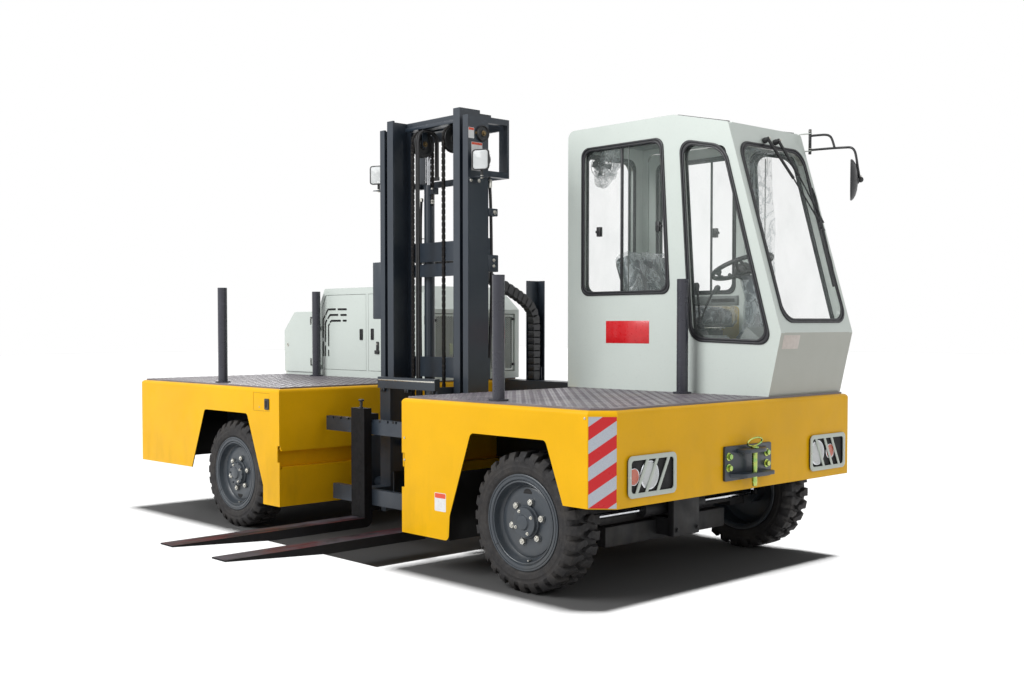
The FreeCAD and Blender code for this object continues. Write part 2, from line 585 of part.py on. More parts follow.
def mast_base():
    """Carriage round the mast's foot: side plates with rollers in the rails, and a cross tube."""
    middle = "track_low + track_height / 2"
    inside = "well_width / 2 - base_gap - base_plate"
    roller_end = "well_width / 2 + track_depth - track_wall - 6"
    parts = []
    for sign in (-1, 1):
        x = sides(off_centre(sign, inside), off_centre(sign, f"{inside} + base_plate"))
        profile = [("base_near", "base_low"), ("base_far", "base_low"), ("base_far", "base_high - 60"),
                   ("base_far - 60", "base_high"), ("base_near + 60", "base_high"),
                   ("base_near", "base_high - 60")]
        parts.append(prism("x", x[0], x[1], profile))
        for y in ("base_near + 80", "base_far - 80"):
            x = sides(off_centre(sign, roller_end), off_centre(sign, f"{roller_end} - roller_wide"))
            parts.append(rod("track_height / 2 - track_wall - roller_gap", "x", *x, (y, middle)))
            x = sides(off_centre(sign, f"{roller_end} - roller_wide"), off_centre(sign, inside))
            parts.append(rod("20", "x", *x, (y, middle)))
        x = sides(off_centre(sign, "mast_wide / 2 - web + 2"), off_centre(sign, inside))
        parts.append(rod("pivot_radius", "x", *x, (MAST_MIDDLE, "pivot_height")))
        x = sides(off_centre(sign, "mast_wide / 2 + 3"), off_centre(sign, inside))
        parts.append(rod("pivot_radius + 14", "x", *x, (MAST_MIDDLE, "pivot_height")))
        for offset in (-24, 14):
            x = (f"{TILT_X[sign]} + {offset}", f"{TILT_X[sign]} + {offset} + 10")
            parts.append(prism("x", *x, [("tilt_y - 22", "tilt_foot - 28"),
                                         ("base_far - 20", "base_low + 20"),
                                         ("base_far - 20", "base_low + 80"),
                                         ("tilt_y + 22", "tilt_foot + 22"),
                                         ("tilt_y - 22", "tilt_foot + 22")]))
        parts.append(rod("eye_bore - 0.1", "x", f"{TILT_X[sign]} - 24", f"{TILT_X[sign]} + 24",
                         ("tilt_y", "tilt_foot")))
    parts.append(box((f"well_centre - ({inside})", f"well_centre + {inside}"),
                     ("base_far - 60", "base_far"), ("base_low", "base_low + 80")))
    subpart("mast_base", *parts)


def channel_upright(sign, half, flange, low, high):
    """One C-shaped upright open towards the mast's centre."""
    def at(offset):
        return f"well_centre + {sign} * ({half} - {offset})"

    outer_x = tuple(sorted([at("0"), at(flange)], key=value))
    hollow_x = tuple(sorted([at("web"), at(f"({flange} + 1)")], key=value))
    shell = box(outer_x, ("-mast_front", MAST_BACK), (low, high))
    hollow = box(hollow_x, ("flange_thick - mast_front", f"{MAST_BACK} - flange_thick"), (low, high))
    return cut(shell, hollow)


def tie_bar(half, low, high, y=(MAST_BACK, f"{MAST_BACK} + tie_deep")):
    """A bar across the mast from one upright to the other."""
    return box((f"well_centre - ({half})", f"well_centre + {half}"), y, (low, high))


def outer_mast():
    """Fixed mast: two uprights, three ties, pivot lugs and rod lugs."""
    half = "mast_wide / 2"
    parts = [channel_upright(sign, half, "flange", "mast_low", "mast_high") for sign in (-1, 1)]
    parts += [tie_bar(half, "1735", "1857"), tie_bar(half, "1004", "1133"),
              tie_bar(half, "mast_low + 40", "mast_low + 140"),
              tie_bar(half, "mast_high - 355", "mast_high", GUARD_Y)]
    for sign in (-1, 1):
        for offset in (-20, 10):
            x = (f"{TILT_X[sign]} + {offset}", f"{TILT_X[sign]} + {offset} + 10")
            parts.append(box(x, (MAST_BACK, "tilt_y + 24"), ("tilt_eye - 24", "tilt_eye + 24")))
        parts.append(rod("eye_bore - 2", "x", f"{TILT_X[sign]} - 20", f"{TILT_X[sign]} + 20",
                         ("tilt_y", "tilt_eye")))
        arm = sides(off_centre(sign, half), off_centre(sign, f"{half} - 36"))
        for low in ("mast_high - 355", "mast_high - 35"):
            parts.append(box(arm, (MAST_BACK, GUARD_Y[0]), (low, f"{low} + 35")))
    holes = [rod("pivot_radius + 0.1", "x",
                 *sides(off_centre(sign, f"{half} + 1"), off_centre(sign, f"{half} - web - 1")),
                 (MAST_MIDDLE, "pivot_height")) for sign in (-1, 1)]
    window = box((off_centre(-1, f"{half} - 70"), off_centre(1, f"{half} - 70")),
                 (f"{GUARD_Y[0]} - 1", f"{GUARD_Y[1]} + 1"), ("mast_high - 315", "mast_high - 60"))
    subpart("outer_mast", cut(fuse(*parts), *holes, window))


def inner_mast():
    """Lifting mast: two uprights inside the fixed ones, ties, sheaves and the lift rods."""
    low, high = "mast_low + inner_lift", "mast_high + inner_lift"
    parts = [channel_upright(sign, INNER_HALF, "inner_flange", low, high) for sign in (-1, 1)]
    inside = (f"{MAST_BACK} - 14", MAST_BACK)
    parts += [tie_bar(f"{INNER_HALF} - web", f"{low} + 20", f"{low} + 100", inside),
              tie_bar(f"{INNER_HALF} - web", "1640", "1720", inside),
              tie_bar(f"{INNER_HALF} - web", f"{high} - 40", high, inside),
              tie_bar(INNER_HALF, f"{high} - 70", f"{high} - 20", ("lift_y - 28", "lift_y + 28"))]
    for sign in (-1, 1):
        arm = sides(off_centre(sign, INNER_HALF), off_centre(sign, f"{INNER_HALF} - web"))
        parts.append(box(arm, (MAST_BACK, "lift_y - 28"), (f"{high} - 70", f"{high} - 20")))
        x = f"well_centre + {sign} * lift_offset"
        parts.append(rod("rod_radius", "z", "mast_low + 180 + inner_lift + rod_clear", f"{high} - 70",
                         (x, "lift_y")))
        a, b = sorted([f"well_centre + {sign} * {INNER_HALF}",
                       f"well_centre + {sign} * (mast_wide / 2 - web - 3)"], key=value)
        for z in (f"{low} + 90", f"{low} + 590"):
            parts.append(rod("mast_deep / 2 - flange_thick - roller_gap", "x", a, b,
                             (MAST_MIDDLE, z)))
    subpart("inner_mast", *parts)
    sheaves = []
    for sign in (-1, 1):
        x = f"well_centre + {sign} * sheave_offset"
        sheaves.append(rod("sheave_radius", "x", f"{x} - sheave_wide / 2", f"{x} + sheave_wide / 2",
                           (SHEAVE_Y, "sheave_z")))
        for offset in ("- sheave_wide / 2 - 9", "+ sheave_wide / 2 + 1"):
            sheaves.append(box((f"{x} {offset}", f"{x} {offset} + 8"),
                               (f"{SHEAVE_Y} - 18", f"{SHEAVE_Y} + 18"),
                               ("sheave_z - 20", f"{high} - 62")))
        sheaves.append(rod("12", "x", f"{x} - sheave_wide / 2 - 9", f"{x} + sheave_wide / 2 + 9",
                           (SHEAVE_Y, "sheave_z")))
    hanger = tie_bar(f"{INNER_HALF} - inner_flange - 1", f"{high} - 62", f"{high} - 40",
                     (f"{SHEAVE_Y} - 29", "lift_y - 28"))
    subpart("chain_sheaves", fuse(*sheaves, hanger))


def lift_chains():
    """Two chains, each from the carriage over its sheave to the anchor on a lift barrel."""
    runs = []
    for sign in (-1, 1):
        x = (f"{off_centre(sign, 'sheave_offset')} - chain_wide / 2",
             f"{off_centre(sign, 'sheave_offset')} + chain_wide / 2")
        front = box(x, (f"{CHAIN_Y} - chain_thick / 2", f"{CHAIN_Y} + chain_thick / 2"),
                    ("chain_anchor", "sheave_z"))
        wrap = cut(rod("sheave_radius + chain_thick", "x", *x, (SHEAVE_Y, "sheave_z")),
                   rod("sheave_radius + seam", "x", *x, (SHEAVE_Y, "sheave_z")),
                   box((f"{x[0]} - 1", f"{x[1]} + 1"), ("-mast_front - 100", "0"),
                       ("sheave_z - 200", "sheave_z")))
        rear_y = f"{SHEAVE_Y} + sheave_radius"
        rear = box(x, (rear_y, f"{rear_y} + chain_thick"), ("barrel_top - 20", "sheave_z"))
        runs.append(fuse(front, wrap, rear))
    subpart("lift_chains", *runs)


def lift_cylinders():
    """Two lift barrels on the lowest tie, each with a chain anchor on top."""
    parts = []
    for sign in (-1, 1):
        x = f"well_centre + {sign} * lift_offset"
        parts.append(tube("barrel_radius", "rod_radius + 0.5", "z", "mast_low + 180", "barrel_top",
                          (x, "lift_y")))
        parts.append(box((f"{x} - 36", f"{x} + 36"), (f"{MAST_BACK} + tie_deep", "lift_y + 30"),
                         ("mast_low + 150", "mast_low + 180")))
        parts.append(box((f"{x} - 20", f"{x} + 20"), (f"{MAST_BACK} + tie_deep", "lift_y - 26"),
                         ("1780", "1820")))
        anchor = sides(off_centre(sign, "sheave_offset - chain_wide / 2"),
                       off_centre(sign, "lift_offset - rod_radius - 4"))
        parts.append(box(anchor, (f"{SHEAVE_Y} + sheave_radius", "lift_y + 20"),
                         ("barrel_top - 60", "barrel_top - 20")))
    subpart("lift_cylinders", *parts)


def tilt_cylinders():
    """Upright barrels pinned to the mast's carriage, and rods with an eye round the mast's pins."""
    barrels, rods = [], []
    for sign in (-1, 1):
        x = TILT_X[sign]
        barrel = rod("tilt_barrel", "z", "tilt_foot + 26", "tilt_eye - 60", (x, "tilt_y"))
        foot = box((f"{x} - 13", f"{x} + 13"), ("tilt_y - 20", "tilt_y + 20"),
                   ("tilt_foot - 20", "tilt_foot + 30"))
        barrels.append(cut(fuse(barrel, foot),
                           rod("tilt_bore", "z", "tilt_foot + 60", "tilt_eye", (x, "tilt_y")),
                           rod("eye_bore", "x", f"{x} - 15", f"{x} + 15", ("tilt_y", "tilt_foot"))))
        eye = rod("eye_radius", "x", f"{x} - 9", f"{x} + 9", ("tilt_y", "tilt_eye"))
        shaft = rod("tilt_shaft", "z", "tilt_foot + 110", "tilt_eye - 32", (x, "tilt_y"))
        neck = box((f"{x} - 9", f"{x} + 9"), ("tilt_y - 12", "tilt_y + 12"),
                   ("tilt_eye - 34", "tilt_eye - 10"))
        rods.append(cut(fuse(eye, shaft, neck), rod("eye_bore", "x", f"{x} - 10", f"{x} + 10",
                                              ("tilt_y", "tilt_eye"))))
    subpart("tilt_barrels", *barrels)
    subpart("tilt_rods", *rods)


def fork_carriage():
    """Carriage that runs in the lifting mast and carries two bars for the forks."""
    parts = []
    plate_in = f"{INNER_HALF} - inner_flange - plate_gap - side_plate"
    parts.append(box((off_centre(-1, plate_in), off_centre(1, plate_in)),
                     (f"{CHAIN_Y} - 12", f"{CHAIN_Y} + 12"), ("chain_anchor - 40", "chain_anchor")))
    for sign in (-1, 1):
        outer = f"well_centre + {sign} * ({INNER_HALF} - inner_flange - plate_gap)"
        inner = f"well_centre + {sign} * ({plate_in})"
        x = tuple(sorted([outer, inner], key=value))
        parts.append(box(x, ("-520", f"{MAST_BACK} - 30"), ("400", "960")))
        for z in ("480", "880"):
            a, b = sorted([outer, f"well_centre + {sign} * ({INNER_HALF} - web - 3)"], key=value)
            parts.append(rod("mast_deep / 2 - flange_thick - roller_gap", "x", a, b,
                             ("-mast_front + mast_deep / 2", z)))
    half = f"{INNER_HALF} - inner_flange - plate_gap"
    parts.append(box((f"well_centre - ({half})", f"well_centre + {half}"), ("-540", "-500"),
                     ("940", "1010")))
    for sign in (-1, 1):
        x = tuple(sorted([f"well_centre + {sign} * ({half})",
                          f"well_centre + {sign} * ({INNER_HALF} - inner_flange - 112)"], key=value))
        parts.append(box(x, ("-520", "-500"), ("250", "960")))
        for low, high in (("660", "725"), ("262", "325")):
            parts.append(box(x, ("bar_thick - bar_front", "-500"), (low, high)))
    bar = box(("well_centre - upper_bar_half", "well_centre + upper_bar_half"),
              ("-bar_front", "bar_thick - bar_front"), ("upper_bar_low", "upper_bar_high"))
    notches = []
    for step in range(1, 14):
        middle = f"well_centre + (2 * {step} / 14 - 1) * upper_bar_half"
        notches.append(box((f"{middle} - 8", f"{middle} + 8"), ("-bar_front - 1", "18 - bar_front"),
                           ("upper_bar_high - 14", "upper_bar_high + 1")))
    parts.append(cut(bar, *notches))
    parts.append(box(("well_centre - lower_bar_half", "well_centre + lower_bar_half"),
                     ("-bar_front", "bar_thick - bar_front"), ("lower_bar_low", "lower_bar_high")))
    subpart("fork_carriage", *parts)


def fork(name, middle):
    """One fork: blade, shank and the hooks that hold it to both bars."""
    front = "-bar_front - slide_gap"
    shank = f"{front} - fork_thick"
    tip = f"{shank} - fork_reach"
    heel_top = "fork_low + fork_thick"
    tip_top = f"{heel_top} - fork_drop"
    outline = [(tip, f"{tip_top} - tip_thick"), (f"{shank} - fork_reach / 2", "fork_low"),
               (front, "fork_low"), (front, "fork_top"), (shank, "fork_top"), (shank, heel_top),
               (tip, tip_top)]
    x = (f"{middle} - fork_wide / 2", f"{middle} + fork_wide / 2")
    blade = prism("x", x[0], x[1], outline, [("heel_round", [2])])
    top = box(x, (front, "bar_thick - bar_front + 14"),
              ("upper_bar_high + slide_gap", "upper_bar_high + 36"))
    lip = box(x, ("bar_thick - bar_front + slide_gap", "bar_thick - bar_front + 14"),
              ("upper_bar_high - 28", "upper_bar_high + slide_gap"))
    foot = box(x, (front, "bar_thick - bar_front + 14"),
               ("lower_bar_low - 34", "lower_bar_low - slide_gap"))
    toe = box(x, ("bar_thick - bar_front + slide_gap", "bar_thick - bar_front + 14"),
              ("lower_bar_low - slide_gap", "lower_bar_low + 8"))
    subpart(name, blade, top, lip, foot, toe)


mast_base()
outer_mast()
inner_mast()
lift_chains()
lift_cylinders()
tilt_cylinders()
fork_carriage()
fork("rear_fork", "rear_fork_x")
fork("front_fork", "front_fork_x")


# ---- Cab ------------------------------------------------------------------------------------------

CAB_OUTLINE = [("cab_rear", DECK_TOP), ("cab_rear", "cab_top"), ("cab_break", "cab_top"),
               ("cab_head_x", "cab_head_z"), ("cab_nose_x + 40", "cab_nose_z"), ("cab_toe_x", DECK_TOP)]
CAB_HOLLOW = [("cab_rear + cab_wall", f"{DECK_TOP} + cab_wall"),
              ("cab_rear + cab_wall", "cab_top - cab_wall"),
              ("cab_break - 8", "cab_top - cab_wall"),
              ("cab_head_x - cab_wall + 7", "cab_head_z - cab_wall + 8"),
              ("cab_nose_x + 3", "cab_nose_z - 4"), ("cab_toe_x - cab_wall", f"{DECK_TOP} + cab_wall")]
WINDOW_REAR = [("840", "1517"), ("840", "2410"), ("1450", "2410"), ("1504", "1517")]
REAR_PANE = (("cab_near + 120", "cab_far - 120"), ("1500", "2400"))
FRONT_PANE = (("cab_near + 55", "cab_far - 50"), ("cab_nose_z + 60", "cab_head_z - 120"))
WINDOW_FRONT = [("1657", "1246"), ("1580", "2384"), ("1880", "2318"), ("2183", "1229")]


TILT = math.radians(SIZES["wheel_tilt"])
DOOR_PIN = ("door_rear - 3", "cab_far + 8")
DOOR_HINGES = ("1120", "2270")


def hinge_knuckles(pin, heights):
    """The barrels of a door's hinges round their pins, and the bores through them."""
    knuckles = [rod("hinge_knuckle", "z", z, f"{z} + hinge_high", pin) for z in heights]
    bores = [rod("hinge_bore", "z", f"{z} - 1", f"{z} + hinge_high + 1", pin) for z in heights]
    return knuckles, bores


def across_window(pane, inset):
    """Corners of a window that faces along X, moved inwards by an inset."""
    (near, far), (low, high) = pane
    return [(f"{near} + {inset}", f"{low} + {inset}"), (f"{near} + {inset}", f"{high} - {inset}"),
            (f"{far} - {inset}", f"{high} - {inset}"), (f"{far} - {inset}", f"{low} + {inset}")]


def side_wall(low, high, openings):
    """A cab side cut to the cab's outline, with its windows or door opening."""
    wall = prism("y", low, high, CAB_OUTLINE, [("50", [1]), ("30", [3, 4])])
    tools = [prism("y", f"{low} - 1", f"{high} + 1", outline, [("45", range(4))])
             for outline in openings]
    return cut(wall, *tools)


def cab():
    """Cab shell: two sides, rear wall, roof, front frame and floor around a hollow."""
    subpart("cab_near_wall",
            side_wall("cab_near", "cab_near + cab_wall", [WINDOW_REAR, WINDOW_FRONT]))
    doorway = [("door_rear - door_gap", "door_low - door_gap"),
               ("door_rear - door_gap", "door_high + door_gap"),
               ("door_front + door_gap", "door_high + door_gap"),
               ("door_front + door_gap", "door_low - door_gap")]
    pins = [rod("hinge_pin", "z", f"{z} - hinge_drop", f"{z} + hinge_high", DOOR_PIN)
            for z in DOOR_HINGES]
    leaves = [box(("door_rear - hinge_leaf", f"{DOOR_PIN[0]} + leaf_past"),
                  ("cab_far", f"{DOOR_PIN[1]} + hinge_knuckle - 2"),
                  (f"{z} - hinge_drop", f"{z} - 0.5")) for z in DOOR_HINGES]
    subpart("cab_far_wall", side_wall("cab_far - cab_wall", "cab_far", [doorway, WINDOW_FRONT]),
            *pins, *leaves)
    y = ("cab_near + cab_wall", "cab_far - cab_wall")

    def ring():
        return cut(prism("y", y[0], y[1], CAB_OUTLINE),
                   prism("y", f"{y[0]} - 1", f"{y[1]} + 1", CAB_HOLLOW))

    def part_of_ring(x, z):
        common = document.addObject("Part::Common", "Common")
        common.Base = ring()
        common.Tool = box(x, (f"{y[0]} - 2", f"{y[1]} + 2"), z)
        return common

    floor_top = f"{DECK_TOP} + cab_wall"
    floor = part_of_ring(("cab_rear + cab_wall", "cab_toe_x - cab_wall"), (DECK_TOP, floor_top))
    rear = part_of_ring(("cab_rear", "cab_rear + cab_wall"), (DECK_TOP, "cab_top"))
    rear_window = prism("x", "cab_rear - 1", "cab_rear + cab_wall + 1", across_window(REAR_PANE, "0"),
                        [("60", range(4))])
    subpart("cab_rear_wall", cut(rear, rear_window), floor)
    subpart("cab_roof", part_of_ring(("cab_rear + cab_wall", "cab_head_x - 60"),
                                     ("cab_top - 140", "cab_top + 1")))
    front = cut(part_of_ring(("cab_rear + cab_wall", "cab_nose_x + 60"), (DECK_TOP, "cab_top + 1")),
                box(("cab_rear", "cab_head_x - 60"), (f"{y[0]} - 3", f"{y[1]} + 3"),
                    ("cab_top - 142", "cab_top + 2")),
                box(("cab_rear", "cab_toe_x - cab_wall"), (f"{y[0]} - 3", f"{y[1]} + 3"),
                    (f"{DECK_TOP} - 1", floor_top)),
                prism("x", "cab_head_x - 120", "cab_nose_x + 80", across_window(FRONT_PANE, "0"),
                      [("70", range(4))]))
    subpart("cab_front", front)


def window_pane(outline, y):
    """A pane that fills a window outline, one seam smaller all round."""
    centre_x = "+".join(f"({x})" for x, _ in outline)
    centre_z = "+".join(f"({z})" for _, z in outline)
    small = [(f"({x}) * 0.999 + ({centre_x}) / 4 * 0.001", f"({z}) * 0.999 + ({centre_z}) / 4 * 0.001")
             for x, z in outline]
    return prism("y", f"{y} - pane / 2", f"{y} + pane / 2", small, [("45", range(4))])


def glazing():
    """Panes of the cab's fixed windows."""
    near = "cab_near + cab_wall / 2"
    panes = [window_pane(WINDOW_REAR, near), window_pane(WINDOW_FRONT, near),
             window_pane(WINDOW_FRONT, "cab_far - cab_wall / 2")]
    middle = "cab_rear + cab_wall / 2"
    panes.append(prism("x", f"{middle} - pane / 2", f"{middle} + pane / 2",
                       across_window(REAR_PANE, "seam"), [("60", range(4))]))
    rise = "(cab_head_z - cab_nose_z)"
    lean = "(cab_nose_x + 40 - cab_head_x)"
    def on_front(z, depth):
        return f"cab_head_x + (cab_head_z - ({z})) * {lean} / {rise} - {depth}"
    low, high = f"{FRONT_PANE[1][0]} - 10", f"{FRONT_PANE[1][1]} + 10"
    screen = document.addObject("Part::Common", "Screen")
    screen.Base = prism("y", "cab_near + cab_wall", "cab_far - cab_wall",
                        [(on_front(low, "14 - pane"), low), (on_front(low, "14"), low),
                         (on_front(high, "14"), high), (on_front(high, "14 - pane"), high)])
    screen.Tool = prism("x", "cab_head_x - 120", "cab_nose_x + 80", across_window(FRONT_PANE, "seam"),
                        [("70", range(4))])
    panes.append(screen)
    subpart("cab_glass", *panes)


def cab_door():
    """Hinged door in the far wall, a frame around one pane, with hinge knuckles."""
    leaf = prism("y", "cab_far - door_wall", "cab_far",
                 [("door_rear", "door_low"), ("door_rear", "door_high"), ("door_front", "door_high"),
                  ("door_front", "door_low")], [("40", range(4))])
    hole = prism("y", "cab_far - door_wall - 1", "cab_far + 1",
                 [("door_rear + 70", "door_sill"), ("door_rear + 70", "door_high - 70"),
                  ("door_front - 70", "door_high - 70"), ("door_front - 70", "door_sill")],
                 [("40", range(4))])
    handle = box(("door_front - 60", "door_front - 30"), ("cab_far", "cab_far + 30"), ("1300", "1440"))
    knuckles, bores = hinge_knuckles(DOOR_PIN, DOOR_HINGES)
    straps = [box((DOOR_PIN[0], "door_rear + 40"), ("cab_far", f"{DOOR_PIN[1]} + 3"),
                  (z, f"{z} + hinge_high")) for z in DOOR_HINGES]
    subpart("cab_door", cut(fuse(cut(leaf, hole), handle, *knuckles, *straps), *bores))
    subpart("door_glass", prism("y", "cab_far - door_wall / 2 - pane / 2",
                                "cab_far - door_wall / 2 + pane / 2",
                                [("door_rear + 70 + seam", "door_sill + seam"),
                                 ("door_rear + 70 + seam", "door_high - 70 - seam"),
                                 ("door_front - 70 - seam", "door_high - 70 - seam"),
                                 ("door_front - 70 - seam", "door_sill + seam")], [("40", range(4))]))


def cab_inside():
    """Seat, steering column and wheel, levers and dash."""
    floor = f"{DECK_TOP} + cab_wall"
    seat_y = "(cab_near + cab_far) / 2"
    subpart("seat_base", box(("1080", "1480"), (f"{seat_y} - 200", f"{seat_y} + 200"),
                         (floor, "seat_base_top")))
    cushion = prism("y", f"{seat_y} - seat_half", f"{seat_y} + seat_half",
                    [("1050", "seat_base_top + seam"), ("1050", "seat_top"), ("1580", "seat_top"),
                     ("1580", "seat_base_top + seam")], [("30", [1, 2])])
    back = prism("y", f"{seat_y} - back_half", f"{seat_y} + back_half",
                 [("1090", "seat_top - 10"), ("960", "seat_back_top"), ("1070", "seat_back_top"),
                  ("1190", "seat_top - 10")], [("30", [1, 2])])
    subpart("seat", cushion, back)
    dash = prism("y", "cab_near + cab_wall", "cab_far - cab_wall",
                 [("1960", floor), ("1960", "1270"), ("2000", "1330"), ("2110", "1250"),
                  ("cab_toe_x - cab_wall", floor)])
    lean = (f"wheel_x + {math.sin(TILT)} * 60", f"wheel_z - {math.cos(TILT)} * 60")
    across = (math.cos(TILT), math.sin(TILT))
    column = prism("y", f"{seat_y} - 45", f"{seat_y} + 45",
                   [("1800", floor), (f"{lean[0]} - {across[0]} * 42", f"{lean[1]} - {across[1]} * 42"),
                    (f"{lean[0]} + {across[0]} * 42", f"{lean[1]} + {across[1]} * 42"), ("1930", floor)])
    subpart("dashboard", dash, column)
    lever_y = "cab_near + lever_inset"
    stalks = [bar_along("lever_radius", [("lever_x", lever_y, floor), ("lever_x", lever_y, "1400"),
                                         (top_x, lever_y, top_z)])
              for top_x, top_z in (("1612", "1560"), ("1740", "1545"))]
    subpart("control_levers", *stalks)
    hub = rod("30", "z", "-59.5", "0", ("0", "0"))
    ring = document.addObject("Part::Torus", "Ring")
    tie(ring, "Radius1", "wheel_ring")
    tie(ring, "Radius2", "ring_thick")
    spokes = [box(("-wheel_ring", "0"), ("-12", "12"), ("-16", "-4")),
              box(("0", "12"), ("-wheel_ring", "wheel_ring"), ("-16", "-4"))]
    knob = rod("20", "z", "0", "55", ("12 - wheel_ring", "0"))
    wheel_body = document.addObject("Part::Compound", "steering_wheel")
    wheel_body.Links = [fuse(hub, ring, *spokes, knob)]
    wheel_body.Label = "steering_wheel"
    wheel_body.Placement.Rotation = FreeCAD.Rotation(FreeCAD.Vector(0, 1, 0), -math.degrees(TILT))
    stand(wheel_body, (f"wheel_x - ({DATUM_X})", f"{seat_y} - ({DATUM_Y})", "wheel_z"))
    SUBPARTS.append(wheel_body)


def mirror_and_wiper():
    """Round mirror on bent arms at the far front corner, and the windscreen wiper."""
    post = ("cab_head_x + 48", "cab_far + 25")
    parts = [rod("9", "z", "2335", "2475", post)]
    for z in ("2345", "2447"):
        parts.append(box(("cab_head_x - 12", "cab_head_x + 48"), ("cab_far", "cab_far + 32"),
                         (z, f"{z} + 12")))
    y = "cab_far + 65"
    parts.append(bar_along("7", [(*post, "2358"), ("mirror_x - 24", y, "2353"),
                                 ("mirror_x + 17", y, "2298"), ("mirror_x + 40", y, "mirror_z + 10")]))
    parts.append(bar_along("7", [(*post, "2440"), ("2040", "cab_far + 45", "2439"),
                                 ("2092", "cab_far + 51", "2357")]))
    face = FreeCAD.Vector(0.87, 0.49, 0)
    disc = document.addObject("Part::Cylinder", "Disc")
    tie(disc, "Radius", "mirror_radius")
    disc.Height = 20
    disc.Placement.Rotation = FreeCAD.Rotation(FreeCAD.Vector(0, 0, 1), face)
    stand(disc, ("mirror_x", "mirror_out - 105", "mirror_z"))
    ball = document.addObject("Part::Sphere", "Ball")
    tie(ball, "Radius", "18")
    stand(ball, ("mirror_x + 28", "mirror_out - 90", "mirror_z + 5"))
    subpart("mirror", *parts, disc, ball)
    pieces = []
    for y in ("599", "706"):
        pieces.append(rod("12", "x", "cab_head_x + 16.5", "cab_head_x + 45", (y, "2408")))
        pieces.append(bar_along("6", [("1938", y, "2408"), ("1967", y, "2372"),
                                      ("2103", "988", "1894")]))
    pieces.append(bar_along("7", [("2024", "941", "2166"), ("2212", "925", "1527")]))
    subpart("wiper", *pieces)


cab()
glazing()
cab_door()
cab_inside()
mirror_and_wiper()


# ---- Engine housing -----------------------------------------------------------------------------

PIVOT_Y = "hood_near + leaf_thick / 2"
DOOR_HIGH = "(hood_top - hood_rim)"
BOX_PIN = ("hood_rear - 3", "hood_near - 8")
BOX_HINGES = ("1030", "1325")


def door_corner(low, high, inward):
    """The slanted corner of the rear door and of its opening, moved inwards by a distance."""
    rear, top = f"hood_door_rear + ({inward})", f"{DOOR_HIGH} - ({inward})"
    return prism("y", low, high,
                 [(f"{rear} - 20", f"{top} + 20"), (f"{rear} - 20", f"{top} - hood_slant_z"),
                  (rear, f"{top} - hood_slant_z"), (f"{rear} + hood_slant_x", top),
                  (f"{rear} + hood_slant_x", f"{top} + 20")])


